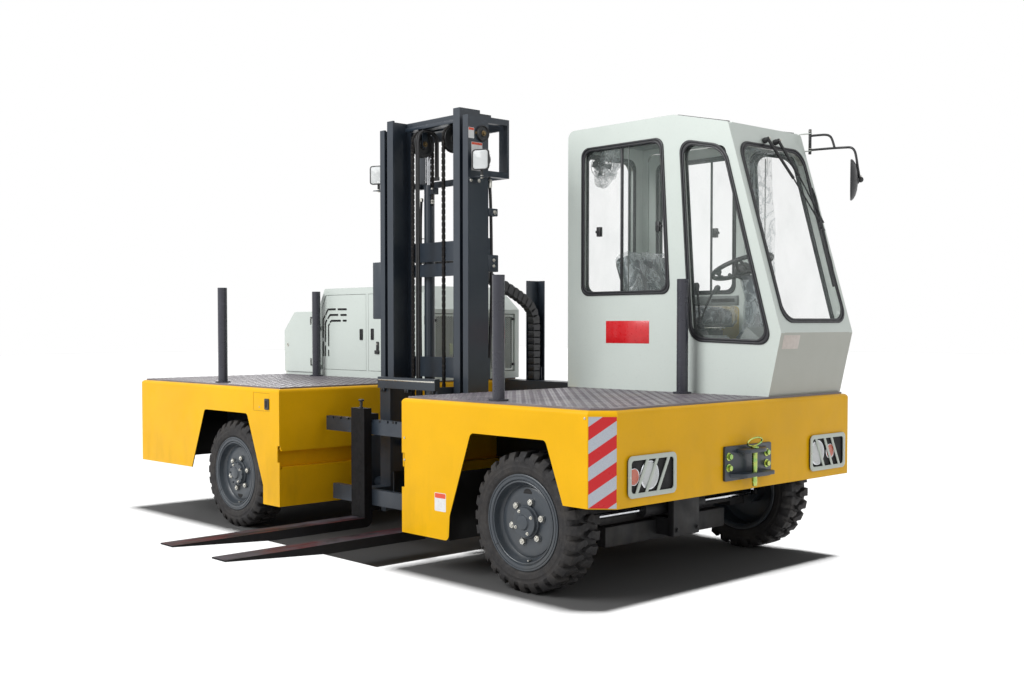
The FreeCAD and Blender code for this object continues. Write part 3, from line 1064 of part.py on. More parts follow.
def hood():
    """Main cabinet with a sloped front, and the low box behind it."""
    outline = [("hood_rear", DECK_TOP), ("hood_rear", "hood_top - 122"), ("hood_rear + 65", "hood_top"),
               ("hood_front - 200", "hood_top"), ("hood_front", "hood_top - 167"),
               ("hood_front", DECK_TOP)]
    hollow = [("hood_rear + hood_skin", f"{DECK_TOP} - 1"),
              ("hood_rear + hood_skin", "hood_top - 130"),
              ("hood_rear + 65 + 14", "hood_top - hood_skin"),
              ("hood_front - 200 - 10", "hood_top - hood_skin"),
              ("hood_front - hood_skin", "hood_top - 167 - 12"),
              ("hood_front - hood_skin", f"{DECK_TOP} - 1")]
    shell = prism("y", "hood_near", "hood_far", outline)
    inside = prism("y", "hood_near + hood_skin", "hood_far - hood_skin", hollow)
    doors = (("hood_door_rear", "hood_door_rear", "hood_door_split - 15",
              "hood_door_rear + leaf_thick / 2", f"{DOOR_HIGH} - hood_slant_z + 24"),
             ("hood_door_front", "hood_door_split + 15", "hood_door_front",
              "hood_door_front - leaf_thick / 2", DOOR_HIGH))
    openings = [cut(box((f"{low} - door_edge", f"{high} + door_edge"),
                        ("hood_near - 1", "hood_near + hood_skin + 1"),
                        ("hood_door_low - door_edge", f"{DOOR_HIGH} + door_edge")),
                    door_corner("hood_near - 2", "hood_near + hood_skin + 2", "0 - door_edge"))
                for _, low, high, *_ in doors]
    bores = [rod("door_bore", "z", low, high, (pin_x, PIVOT_Y)) for *_, pin_x, top in doors
             for low, high in (("hood_door_low - 14", "hood_door_low"), (f"{top} - 20", f"{top} + 14"))]
    grille = box(("hood_front - hood_skin - 1", "hood_front + 1"), ("hood_near + 40", "hood_far - 40"),
                 (f"{DECK_TOP} + 50", "hood_top - 167 - 30"))
    pins = [rod("hinge_pin", "z", f"{z} - hinge_drop", f"{z} + hinge_high", BOX_PIN)
            for z in BOX_HINGES]
    leaves = [box((f"{BOX_PIN[0]} - leaf_past", "hood_door_rear - 5"),
                  (f"{BOX_PIN[1]} - hinge_knuckle + 2", "hood_near"),
                  (f"{z} - hinge_drop", f"{z} - 0.5")) for z in BOX_HINGES]
    subpart("engine_hood", cut(shell, inside, *openings, *bores, grille), *pins, *leaves)
    subpart("radiator_grille", box(("hood_front - 16", "hood_front - 8"),
                                   ("hood_near + 40 + seam", "hood_far - 40 - seam"),
                                   (f"{DECK_TOP} + 50 + seam", "hood_top - 167 - 30 - seam")))
    box_outline = [("box_rear", DECK_TOP), ("box_rear", "box_top - 143"), ("box_rear + 140", "box_top"),
                   ("hood_rear", "box_top"), ("hood_rear", DECK_TOP)]
    box_hollow = [("box_rear + hood_skin", f"{DECK_TOP} - 1"), ("box_rear + hood_skin", "box_top - 155"),
                  ("box_rear + 150", "box_top - hood_skin"), ("hood_rear + 1", "box_top - hood_skin"),
                  ("hood_rear + 1", f"{DECK_TOP} - 1")]
    near = "hood_near + box_leaf + seam"
    subpart("rear_box", cut(prism("y", near, "hood_far", box_outline),
                            prism("y", f"{near} + 12", "hood_far - hood_skin", box_hollow)))
    for name, low, high, pin_x, top in doors:
        edge = [0, 3] if pin_x.startswith(low) else [1, 2]
        y = ("hood_near", "hood_near + leaf_thick")
        leaf = prism("z", "hood_door_low", DOOR_HIGH,
                     [(low, y[0]), (high, y[0]), (high, y[1]), (low, y[1])],
                     [("leaf_thick / 2 - 0.1", edge)])
        leaf = cut(leaf, door_corner("hood_near - 1", "hood_near + leaf_thick + 1", "slant_gap"))
        pins = [rod("door_pin", "z", low, high, (pin_x, PIVOT_Y))
                for low, high in (("hood_door_low - 13", "hood_door_low + 10"),
                                  (f"{top} - 50", f"{top} + 13"))]
        subpart(name, leaf, *pins)
    leaf = prism("y", "hood_near", "hood_near + box_leaf",
                 [("box_rear + 3", f"{DECK_TOP} + 25"), ("box_rear + 3", "box_top - 145"),
                  ("box_rear + 141", "box_top - 4"), ("hood_rear - 6", "box_top - 4"),
                  ("hood_rear - 6", f"{DECK_TOP} + 25")])
    knuckles, bores = hinge_knuckles(BOX_PIN, BOX_HINGES)
    straps = [box(("hood_rear - 115", BOX_PIN[0]), (f"{BOX_PIN[1]} - 3", "hood_near"),
                  (z, f"{z} + hinge_high")) for z in BOX_HINGES]
    subpart("box_door", cut(fuse(leaf, *knuckles, *straps), *bores))
    subpart("engine_block", box(("-1450", "-750"), ("350", "900"), (DECK_TOP, "hood_top - 162")))


def energy_chain():
    """Cable chain that stands in the guide on the far beam and bends over to the mast."""
    near, far = "beam_near + 34", "beam_near + 110"
    lower = [(near, "body_top"), (near, "1375"), ("beam_near - 58", "1480"), ("600", "1590"),
             ("300", "1690"), (f"{MAST_BACK} + tie_deep", "1752")]
    upper = [(f"{MAST_BACK} + tie_deep", "1830"), ("300", "1772"), ("640", "1655"),
             ("beam_near - 20", "1540"), (far, "1410"), (far, "body_top")]
    subpart("energy_chain", prism("x", "guide_rear + 12", "guide_rear + 67", lower + upper,
                                  [("60", [3, 4, 7, 8]), ("100", [1, 2, 9, 10])]))


def work_lamps():
    """A lamp on a bracket outside each mast upright."""
    lamps = []
    for sign in (-1, 1):
        bracket = sides(off_centre(sign, "mast_wide / 2"), off_centre(sign, "mast_wide / 2 + 30"))
        body = sides(off_centre(sign, "mast_wide / 2 + 20"), off_centre(sign, "mast_wide / 2 + 120"))
        lamps += [box(bracket, ("-330", "-300"), ("2290", "2320")),
                  box(body, ("-375", "-315"), ("2250", "2365"))]
    subpart("work_lamps", *lamps)


def filler_flap():
    """Flap flush with the rear body's load side, turning on two small pins in its edge."""
    leaf = prism("z", "flap_low", "flap_high",
                 [("flap_rear", f"-{SIDE}"), ("flap_front", f"-{SIDE}"),
                  ("flap_front", f"skin - {SIDE}"), ("flap_rear", f"skin - {SIDE}")],
                 [("3.9", [0, 3])])
    pins = [rod("flap_pin", "z", z, f"{z} + 10", FLAP_PIN) for z in ("flap_low - 10", "flap_high")]
    subpart("filler_flap", leaf, *pins)


hood()
filler_flap()
energy_chain()
work_lamps()


def write():
    """Check every object, then write one STEP file for each sub-part."""
    document.recompute()
    bad = [o.Label for o in document.Objects if "Invalid" in o.State or "Error" in o.State]
    bad += [o.Label for o in SUBPARTS if o.Shape.isNull() or not o.Shape.isValid()]
    if bad:
        raise SystemExit("these objects failed: " + ", ".join(bad))
    os.makedirs("parts", exist_ok=True)
    for part in SUBPARTS:
        part.Shape.exportStep(os.path.join("parts", part.Label + ".step"))
    print(len(SUBPARTS), "sub-parts written")


write()
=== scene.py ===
"""Looks of a side-loading forklift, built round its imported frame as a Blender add-on."""
import math
from functools import partial

import bmesh
import bpy
from bpy.props import FloatProperty, FloatVectorProperty, IntProperty, PointerProperty
from mathutils import Matrix, Vector, noise


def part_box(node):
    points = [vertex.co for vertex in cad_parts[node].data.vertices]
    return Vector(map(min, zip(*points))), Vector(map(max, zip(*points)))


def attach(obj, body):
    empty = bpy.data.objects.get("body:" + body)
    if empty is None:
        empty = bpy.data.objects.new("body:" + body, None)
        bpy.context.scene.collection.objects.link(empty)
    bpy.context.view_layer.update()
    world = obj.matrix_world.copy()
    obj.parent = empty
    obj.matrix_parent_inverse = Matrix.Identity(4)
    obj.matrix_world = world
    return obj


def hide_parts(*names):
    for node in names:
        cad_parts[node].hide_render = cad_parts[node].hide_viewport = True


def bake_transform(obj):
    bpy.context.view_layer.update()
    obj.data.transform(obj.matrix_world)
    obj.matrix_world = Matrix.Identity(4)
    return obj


bl_info = {
    "name": "Side-loading forklift looks",
    "version": (1, 0, 0),
    "blender": (4, 5, 0),
    "location": "3D View > Sidebar > Forklift",
    "description": "Builds the visible pieces and finishes of a side-loading forklift round its frame",
    "category": "Object",
}

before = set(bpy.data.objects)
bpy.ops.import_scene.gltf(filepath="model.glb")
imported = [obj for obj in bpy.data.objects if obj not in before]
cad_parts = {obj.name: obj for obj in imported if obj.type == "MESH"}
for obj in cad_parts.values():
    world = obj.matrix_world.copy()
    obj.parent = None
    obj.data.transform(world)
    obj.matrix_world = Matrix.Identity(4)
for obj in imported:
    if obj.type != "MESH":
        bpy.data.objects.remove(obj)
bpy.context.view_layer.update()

HALF_LENGTH = 2.215
HALF_WIDTH = 1.066
FRONT_LOW, FRONT_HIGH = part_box("front_body")
ORIGIN = Vector((FRONT_HIGH.x - HALF_LENGTH, (FRONT_LOW.y + FRONT_HIGH.y) / 2, 0))
WELL_MIDDLE = 0.173
HALF_WELL = 0.6235
DECK_TOP = 0.946
FULL_TURN = math.tau
SMOOTH_ANGLE = math.radians(35)
STILL = Matrix()


def tone(red, green, blue):
    """A display colour of 0 to 255 as the linear colour that a shader reads."""
    linear = []
    for level in (red, green, blue):
        share = level / 255
        linear.append(share / 12.92 if share <= 0.04045 else ((share + 0.055) / 1.055) ** 2.4)
    return (*linear, 1.0)


def shaded(colour, share):
    """A colour made darker or lighter by a share."""
    return (*(min(1.0, level * share) for level in colour[:3]), 1.0)


# ---- Finishes -------------------------------------------------------------------------------

class Finish:
    """One material's nodes, made and joined one at a time."""

    def __init__(self, name, rough=0.5, metal=0.0, **sockets):
        self.material = bpy.data.materials.new(name)
        self.material.use_nodes = True
        self.tree = self.material.node_tree
        self.shader = next(n for n in self.tree.nodes if n.type == "BSDF_PRINCIPLED")
        self.shader.inputs["Roughness"].default_value = rough
        self.shader.inputs["Metallic"].default_value = metal
        for socket, value in sockets.items():
            self.shader.inputs[socket.replace("_", " ")].default_value = value
        self.coords = self.add("TexCoord")
        self.height = None

    def add(self, kind, inputs=(), **settings):
        """A node of a kind, with settings and named or numbered inputs."""
        node = self.tree.nodes.new("ShaderNode" + kind)
        for name, value in settings.items():
            setattr(node, name, value)
        for socket, value in dict(inputs).items():
            self.join(node.inputs[socket], value)
        return node

    def join(self, socket, value):
        """Link a socket's output, or set a plain value."""
        if isinstance(value, bpy.types.NodeSocket):
            self.tree.links.new(value, socket)
        else:
            socket.default_value = value

    def place(self, stretch=(1, 1, 1)):
        """The piece's own coordinates, stretched."""
        return self.add("Mapping", {"Vector": self.coords.outputs["Object"],
                                    "Scale": stretch}).outputs["Vector"]

    def noise(self, scale, detail=3.0, stretch=(1, 1, 1), rough=0.55, warp=0.0):
        """A cloud pattern from 0 to 1."""
        return self.add("TexNoise", {"Vector": self.place(stretch), "Scale": scale, "Detail": detail,
                                     "Roughness": rough, "Distortion": warp}).outputs["Fac"]

    def cells(self, scale):
        """A cell pattern's distance."""
        return self.add("TexVoronoi", {"Vector": self.place(), "Scale": scale}).outputs["Distance"]

    def axis(self, name, source="Object"):
        """One coordinate of the piece's own space, in metres."""
        return self.add("SeparateXYZ", {0: self.coords.outputs[source]}).outputs[name]

    def sum(self, operation, a, b=0.0):
        """Two values joined by an operation."""
        return self.add("Math", {0: a, 1: b}, operation=operation).outputs[0]

    def times(self, a, b):
        """Two values multiplied."""
        return self.sum("MULTIPLY", a, b)

    def band(self, value, low, high, start=0.0, end=1.0):
        """A value spread from one range to another, and held at its ends."""
        return self.add("MapRange", {"Value": value, "From Min": low, "From Max": high,
                                     "To Min": start, "To Max": end}).outputs["Result"]

    def mix(self, share, a, b):
        """Two colours mixed by a share."""
        node = self.add("Mix", data_type="RGBA")
        self.join(node.inputs["Factor"], share)
        for socket, value in ((node.inputs[6], a), (node.inputs[7], b)):
            self.join(socket, value)
        return node.outputs[2]

    def paint(self, colour):
        """Set the base colour."""
        self.join(self.shader.inputs["Base Color"], colour)

    def cover(self, share, colour):
        """Lay a colour over the present one, by a share."""
        present = self.shader.inputs["Base Color"].links[0].from_socket
        self.paint(self.mix(share, present, colour))

    def rough(self, value, low, high, start, end):
        """Let the roughness follow a pattern."""
        self.join(self.shader.inputs["Roughness"], self.band(value, low, high, start, end))

    def bump(self, height, depth, strength=1.0):
        """Add relief of a depth in metres on top of what is there."""
        node = self.add("Bump", {"Height": height, "Distance": depth, "Strength": strength})
        if self.height:
            self.join(node.inputs["Normal"], self.height)
        self.height = node.outputs["Normal"]
        self.join(self.shader.inputs["Normal"], self.height)

    def facing_up(self):
        """How much a face looks upwards, from 0 to 1."""
        return self.band(self.axis("Z", "Normal"), 0.2, 0.95)


ORANGE_PEEL = 0.00012


def enamel(name, colour, rough=0.36, mottle=0.07, grime=0.2, dust=tone(120, 112, 96), coat=0.25,
           low=(0.75, 0.15)):
    """Sprayed paint: a cloudy tone, orange peel, and a little dirt that gathers low down."""
    made = Finish(name, rough, Coat_Weight=coat, Coat_Roughness=0.18)
    cloud = made.noise(2.6, 5.0)
    fleck = made.noise(70, 2.0)
    base = made.mix(made.band(cloud, 0.35, 0.68), colour, shaded(colour, 1 - mottle))
    base = made.mix(made.band(fleck, 0.58, 0.72, 0, 0.25), base, shaded(colour, 0.86))
    patches = made.band(made.noise(7, 6.0, (1, 1, 0.35)), 0.46, 0.72)
    lower = made.band(made.axis("Z"), *low)
    base = made.mix(made.times(made.times(patches, lower), grime), base, dust)
    made.paint(base)
    made.rough(made.noise(12, 4.0), 0.35, 0.7, rough - 0.06, rough + 0.1)
    made.bump(made.noise(190, 2.0), ORANGE_PEEL)
    made.bump(made.noise(9, 3.0), 0.0006, 0.35)
    return made


def body_yellow():
    """Yellow enamel of the two bodies, with their hidden faces inside the skin painted near-black as
    shade.
    """
    made = enamel("body_yellow", settings().body_colour, 0.34, 0.09, 0.32, tone(122, 92, 30), 0.05)
    made.shader.inputs["Specular IOR Level"].default_value = 0.15
    x = made.sum("SUBTRACT", made.axis("X"), ORIGIN.x)
    y = made.sum("SUBTRACT", made.axis("Y"), ORIGIN.y)
    beyond_well = made.sum("ABSOLUTE", made.sum("SUBTRACT", x, WELL_MIDDLE))
    painted_shade_inside = made.sum("GREATER_THAN", beyond_well, HALF_WELL + 0.059)
    for value, limit in ((made.sum("ABSOLUTE", x), HALF_LENGTH - 0.003),
                         (made.sum("ABSOLUTE", y), HALF_WIDTH - 0.003),
                         (made.sum("SUBTRACT", x, y), HALF_LENGTH + HALF_WIDTH - 0.106),
                         (made.axis("Z"), 0.925)):
        painted_shade_inside = made.times(painted_shade_inside, made.sum("LESS_THAN", value, limit))
    # Painted shade: faces inside the outer skin, below the decks and away from the well, go near-black.
    made.cover(painted_shade_inside, tone(26, 25, 24))
    return made


def cab_enamel():
    """Pale grey-green enamel of the cab; its faces that look down are painted a darker beige, as shade.
    """
    made = enamel("cab_enamel", settings().cab_colour, 0.36, 0.03, 0.08)
    # Painted shade: faces whose normal points down are tinted darker.
    under = made.band(made.axis("Z", "Normal"), -0.03, -0.07)
    made.cover(made.times(under, 0.85), tone(163, 163, 152))
    return made


def hood_enamel():
    """Grey-green enamel of the engine housing."""
    return enamel("hood_enamel", shaded(settings().cab_colour, 0.98), 0.4, 0.04, 0.1)


def slate_paint():
    """Dark slate paint of the mast and carriages, rubbed bright in fine scratches."""
    made = enamel("slate_paint", settings().mast_colour, 0.4, 0.18, 0.25, tone(92, 88, 84), 0.15)
    scratch = made.band(made.noise(26, 8.0, (1, 1, 0.05), 0.75), 0.70, 0.78)
    made.cover(made.times(scratch, 0.35), tone(120, 126, 132))
    return made


def post_paint():
    """Purple-grey paint of the posts, with rubbed rings round them."""
    made = enamel("post_paint", tone(43, 44, 55), 0.3, 0.12, 0.1, coat=0.2)
    ring = made.band(made.noise(30, 4.0, (0.2, 0.2, 1.6)), 0.64, 0.74)
    made.cover(made.times(ring, 0.3), tone(100, 102, 114))
    return made


def tread_rubber():
    """Black rubber with dusty patches and a faint grain."""
    made = Finish("tread_rubber", 0.72, Specular_IOR_Level=0.35)
    dust = made.band(made.noise(11, 6.0), 0.42, 0.7)
    colour = made.mix(made.times(dust, 0.5), tone(36, 35, 36), tone(66, 62, 58))
    speck = made.band(made.noise(120, 2.0), 0.62, 0.75)
    made.paint(made.mix(made.times(speck, 0.4), colour, tone(84, 80, 74)))
    made.rough(made.noise(40, 4.0), 0.3, 0.7, 0.6, 0.85)
    made.bump(made.noise(260, 3.0), 0.0003)
    made.bump(made.noise(28, 5.0), 0.0012, 0.5)
    return made


def deck_steel():
    """Purple-grey paint on tread plate, rubbed paler in patches."""
    made = enamel("deck_steel", tone(104, 98, 106), 0.42, 0.16, 0.5, tone(140, 134, 126), 0.1,
                  low=(1.4, 0.9))
    scuff = made.band(made.noise(3.5, 8.0, (1, 0.4, 1), 0.7), 0.5, 0.72)
    made.cover(made.times(scuff, 0.5), tone(146, 142, 146))
    return made


def fork_steel():
    """Forks: black paint, with the blades' tops rubbed to red primer and bare steel."""
    made = Finish("fork_steel", 0.55, Specular_IOR_Level=0.18)
    up = made.times(made.facing_up(), made.band(made.axis("Z"), 0.30, 0.22))
    streak = made.noise(5.5, 8.0, (2.4, 0.55, 1), 0.7, 0.4)
    fine = made.noise(38, 5.0, (1.2, 0.25, 1), 0.65)
    steel = made.mix(made.band(fine, 0.35, 0.7), tone(36, 34, 40), tone(84, 78, 86))
    worn = made.mix(made.band(made.noise(3.1, 6.0, (2, 0.8, 1), 0.6), 0.47, 0.60), steel,
                    tone(70, 22, 30))
    worn = made.mix(made.band(streak, 0.50, 0.60), worn, tone(24, 22, 27))
    black = made.mix(made.band(made.noise(14, 5.0), 0.4, 0.75), tone(7, 7, 9), tone(18, 17, 20))
    made.paint(made.mix(up, black, worn))
    made.join(made.shader.inputs["Metallic"], made.times(up, 0.12))
    made.rough(fine, 0.3, 0.7, 0.5, 0.75)
    made.bump(fine, 0.0005, 0.6)
    made.bump(made.noise(150, 3.0), 0.0002)
    return made


def plain_metal(name, colour, rough=0.25, spread=0.12, stretch=(1, 1, 1)):
    """Bare or plated metal with a fine brushed tone."""
    made = Finish(name, rough, 1.0)
    grain = made.noise(60, 5.0, stretch)
    made.paint(made.mix(made.band(grain, 0.3, 0.7), colour, shaded(colour, 0.72)))
    made.rough(grain, 0.3, 0.7, max(0.04, rough - spread), rough + spread)
    made.bump(grain, 0.00012, 0.6)
    return made


def yellow_zinc():
    """Yellow chromate plate of the hitch pin and its bolts."""
    made = plain_metal("yellow_zinc", tone(196, 204, 112), 0.3)
    made.cover(made.band(made.noise(28, 3.0), 0.42, 0.62), tone(140, 178, 104))
    return made


def grease_steel():
    """Oily black steel of chains, with bright rubbed faces."""
    made = Finish("grease_steel", 0.4, 0.6)
    rub = made.band(made.noise(90, 4.0), 0.5, 0.68)
    made.paint(made.mix(made.times(rub, 0.6), tone(24, 23, 24), tone(92, 84, 78)))
    made.rough(made.noise(50, 4.0), 0.3, 0.7, 0.3, 0.55)
    made.bump(made.noise(200, 3.0), 0.0002)
    return made


def moulded(name, colour, rough=0.5, grain=0.00025, scale=420, tint=0.12):
    """Moulded plastic or rubber with a fine leather-like grain."""
    made = Finish(name, rough)
    made.paint(made.mix(made.band(made.noise(16, 4.0), 0.35, 0.7), colour, shaded(colour, 1 - tint)))
    made.rough(made.noise(35, 3.0), 0.3, 0.7, rough - 0.08, rough + 0.1)
    made.bump(made.cells(scale), grain, 0.5)
    return made


def film():
    """Clear wrapping film, crinkled, with painted sheen and shade in streaks along its creases."""
    made = Finish("film", 0.18, Specular_IOR_Level=0.8)
    crease = made.noise(9, 6.0, (1, 1, 0.6), 0.62, 1.4)
    folds = made.noise(24, 5.0, (1, 1, 1), 0.6, 0.8)
    # Painted sheen and shade: the crease pattern mixes a bluish grey with a near-white, and the ridges
    # are made more opaque.
    made.paint(made.mix(made.band(crease, 0.4, 0.6), tone(150, 164, 170), tone(226, 232, 232)))
    painted_sheen_ridge = made.band(made.sum("ABSOLUTE", made.sum("SUBTRACT", crease, 0.5)), 0.06, 0.0)
    made.join(made.shader.inputs["Alpha"], made.sum("ADD", made.times(painted_sheen_ridge, 0.42), 0.20))
    made.rough(folds, 0.3, 0.7, 0.08, 0.3)
    made.bump(crease, 0.006, 0.8)
    made.bump(folds, 0.002, 0.7)
    return made


def clear_glass():
    """Thin window glass with a faint green tint and a little dust."""
    made = Finish("clear_glass", 0.03, IOR=1.45, Specular_IOR_Level=0.4)
    made.paint(made.mix(made.band(made.noise(4, 4.0), 0.4, 0.7), tone(206, 222, 216),
                        tone(228, 236, 232)))
    smear = made.band(made.noise(6, 6.0, (1, 1, 0.5)), 0.45, 0.8)
    made.join(made.shader.inputs["Alpha"], made.sum("ADD", made.times(smear, 0.05), 0.045))
    made.bump(made.noise(2.5, 2.0), 0.0005, 0.2)
    return made


def lens(name, colour):
    """Fluted lamp lens, the bright reflector behind it given only by the lens's own colour, with
    painted shade in bands along the flutes.
    """
    rough, ribs = 0.1, 90
    made = Finish(name, rough, Coat_Weight=0.6, Coat_Roughness=0.05, Specular_IOR_Level=0.7)
    wave = made.add("TexWave", {"Vector": made.place(), "Scale": ribs, "Distortion": 0.6},
                    bands_direction="Z").outputs["Fac"]
    # Painted shade: the flutes alternate between the lens colour and a darker copy of it.
    made.paint(made.mix(made.band(wave, 0.2, 0.9), shaded(colour, 0.62), colour))
    made.rough(wave, 0, 1, rough, rough + 0.12)
    made.bump(wave, 0.001, 0.8)
    return made


def hazard_stripes():
    """Reflective red and silver-grey bars."""
    made = Finish("hazard_stripes", 0.3, Coat_Weight=0.4, Coat_Roughness=0.1)
    along = made.sum("SUBTRACT", made.axis("X"), made.axis("Z"))
    wave = made.sum("FRACT", made.sum("ADD", made.times(along, 7.9), 0.62))
    bar = made.band(made.sum("ABSOLUTE", made.sum("SUBTRACT", wave, 0.5)), 0.245, 0.255)
    cell = made.band(made.cells(260), 0.0, 0.6)
    silver = made.mix(cell, tone(196, 202, 210), tone(178, 184, 194))
    made.shader.inputs["Specular IOR Level"].default_value = 0.25
    made.paint(made.mix(bar, tone(204, 14, 24), silver))
    made.rough(made.noise(30, 3.0), 0.3, 0.7, 0.24, 0.42)
    made.bump(made.cells(300), 0.0001, 0.4)
    return made


def sticker(name, colour, rough=0.32):
    """A plain printed label, slightly faded in patches."""
    made = Finish(name, rough, Coat_Weight=0.3, Coat_Roughness=0.1)
    made.paint(made.mix(made.band(made.noise(40, 4.0), 0.4, 0.7), colour, shaded(colour, 0.9)))
    made.rough(made.noise(60, 3.0), 0.3, 0.7, rough - 0.08, rough + 0.08)
    made.bump(made.noise(130, 2.0), 0.0001)
    return made


def cast_grey():
    """Grey paint on rough castings."""
    made = enamel("cast_grey", tone(98, 104, 108), 0.55, 0.2, 0.3, tone(60, 54, 48), 0.0,
                  low=(1.6, 0.9))
    made.bump(made.noise(90, 5.0), 0.0008)
    return made


def floor_paint():
    """Matt studio floor, white under its own lamp and dark in the machine's shadow."""
    looks = settings()
    made = Finish("floor_paint", 0.95, Specular_IOR_Level=0.0)
    cloud = made.mix(made.band(made.noise(1.5, 4.0), 0.3, 0.7), looks.floor_colour,
                     shaded(looks.floor_colour, 0.985))
    path = made.add("LightPath")
    seen = made.sum("MAXIMUM", path.outputs["Is Camera Ray"],
                    made.sum("MAXIMUM", path.outputs["Is Glossy Ray"],
                             path.outputs["Is Transmission Ray"]))
    made.paint(made.mix(seen, shaded(looks.floor_colour, looks.floor_bounce), cloud))
    made.bump(made.noise(60, 3.0), 0.0002, 0.3)
    return made


# Finishes that are one of the kinds above in a colour and a roughness of their own.
rim_paint = partial(enamel, "rim_paint", tone(54, 61, 68), 0.36, 0.1, 0.3, tone(88, 84, 76), 0.15,
                    low=(0.7, 0.05))
axle_paint = partial(enamel, "axle_paint", tone(27, 27, 29), 0.62, 0.2, 0.5, tone(72, 68, 62), 0.0)
guard_paint = partial(enamel, "guard_paint", tone(192, 200, 190), 0.4, 0.04, 0.25)
zinc = partial(plain_metal, "zinc", tone(206, 204, 196), 0.3)
chrome = partial(plain_metal, "chrome", tone(214, 216, 220), 0.1, 0.05, (1, 1, 0.2))
brass = partial(plain_metal, "brass", tone(126, 108, 78), 0.4)
mirror_glass = partial(plain_metal, "mirror_glass", tone(226, 230, 230), 0.05, 0.02)
black_plastic = partial(moulded, "black_plastic", tone(30, 31, 33), 0.45)
gasket_rubber = partial(moulded, "gasket_rubber", tone(26, 27, 32), 0.42, 0.0001, 700)
hose_rubber = partial(moulded, "hose_rubber", tone(15, 15, 17), 0.55, 0.0003, 900)
cabin_grey = partial(moulded, "cabin_grey", tone(112, 118, 116), 0.55)
dark_vinyl = partial(moulded, "dark_vinyl", tone(52, 58, 64), 0.5, 0.0004, 520, 0.2)
door_lining = partial(moulded, "door_lining", tone(178, 158, 96), 0.6, 0.0003, 300)
# Near-black for black parts, and painted shade for holes, slots and hollows that are not cut.
black_and_painted_shade = partial(moulded, "black_and_painted_shade", tone(14, 14, 15), 0.8)
lens_teal = partial(moulded, "teal_moulding", tone(58, 140, 134), 0.42)
clear_lens = partial(lens, "clear_lens", tone(226, 230, 230))
amber_lens = partial(lens, "amber_lens", tone(226, 84, 18))
label_white = partial(sticker, "label_white", tone(226, 226, 226))
label_orange = partial(sticker, "label_orange", tone(226, 74, 34))
plate_red = partial(sticker, "plate_red", tone(214, 20, 30))
faded_label = partial(sticker, "faded_label", tone(206, 196, 188), 0.5)


FINISHES = {}


def finish(maker):
    """The material that a maker function gives, made once."""
    if maker not in FINISHES:
        FINISHES[maker] = maker().material
    return FINISHES[maker]


def settings():
    """The sizes and colours chosen for this machine."""
    return bpy.context.scene.forklift_looks


# ---- Making meshes --------------------------------------------------------------------------

def facing(axis, at=(0, 0, 0)):
    """A matrix that stands +Z along a direction at a point."""
    return Matrix.Translation(at) @ Vector(axis).to_track_quat("Z", "Y").to_matrix().to_4x4()


def block(low, high, edge=0.002, segments=2):
    """A box between two corners, its edges rounded."""
    low, high = Vector(map(min, low, high)), Vector(map(max, low, high))
    bm = bmesh.new()
    size = high - low
    matrix = Matrix.Translation((low + high) / 2) @ Matrix.Diagonal((*size, 1))
    bmesh.ops.create_cube(bm, size=1.0, matrix=matrix)
    if edge:
        soften(bm, min(edge, min(size) * 0.45), segments)
    return bm


def soften(bm, width, segments=2, edges=None):
    """Round the given edges, or every edge of the mesh."""
    chosen = list(bm.edges) if edges is None else edges
    bmesh.ops.bevel(bm, geom=chosen, offset=width, offset_type="OFFSET", segments=segments,
                    profile=0.5, affect="EDGES", clamp_overlap=True, material=-1)


def level_edges(bm):
    """The edges that lie level."""
    return [e for e in bm.edges if abs(e.verts[0].co.z - e.verts[1].co.z) < 1e-6]


def drum(radius, length, sides=32, edge=0.0):
    """A round bar from the origin up +Z, with rounded rims."""
    bm = bmesh.new()
    bmesh.ops.create_cone(bm, cap_ends=True, cap_tris=False, segments=sides, radius1=radius,
                          radius2=radius, depth=length, matrix=Matrix.Translation((0, 0, length / 2)))
    if edge:
        soften(bm, edge, 2, level_edges(bm))
    return bm


def ball(radius, u=24, v=14):
    """A sphere at the origin."""
    bm = bmesh.new()
    bmesh.ops.create_uvsphere(bm, u_segments=u, v_segments=v, radius=radius)
    return bm


def turned(profile, steps=64, closed=False):
    """A profile of (radius, height) points spun about Z."""
    bm = bmesh.new()
    points = [bm.verts.new((radius, 0, height)) for radius, height in profile]
    pairs = list(zip(points, points[1:])) + ([(points[-1], points[0])] if closed else [])
    edges = [bm.edges.new(pair) for pair in pairs]
    bmesh.ops.spin(bm, geom=points + edges, cent=(0, 0, 0), axis=(0, 0, 1), dvec=(0, 0, 0),
                   angle=FULL_TURN, steps=steps, use_merge=True, use_duplicate=False)
    bmesh.ops.remove_doubles(bm, verts=bm.verts, dist=1e-5)
    bmesh.ops.recalc_face_normals(bm, faces=bm.faces)
    return bm


def hexagon(across, height, edge=0.001):
    """A six-sided nut or bolt head, its upper rim chamfered."""
    bm = drum(across / math.sqrt(3), height, 6)
    tops = [e for e in bm.edges if min(v.co.z for v in e.verts) > height - 1e-6]
    soften(bm, edge, 1, tops)
    return bm


def rect(x0, y0, x1, y1):
    """The corners of a rectangle, anticlockwise from its lowest."""
    return [(x0, y0), (x1, y0), (x1, y1), (x0, y1)]


def rounded(corners, radius, segments=6, inset=0.0):
    """A flat outline's points after an inset, its corners rounded, as 2-D pairs."""
    bm = bmesh.new()
    face = bm.faces.new([bm.verts.new((u, v, 0)) for u, v in corners])
    face.normal_update()
    if inset:
        bmesh.ops.inset_region(bm, faces=[face], thickness=inset, use_even_offset=True,
                               use_boundary=True)
        bmesh.ops.delete(bm, geom=[f for f in bm.faces if f is not face], context="FACES")
    bmesh.ops.bevel(bm, geom=list(face.verts), offset=radius, offset_type="OFFSET",
                    segments=segments, profile=0.5, affect="VERTICES", clamp_overlap=True, material=-1)
    points = [v.co.xy.copy() for v in bm.faces[:][0].verts]
    bm.free()
    return points


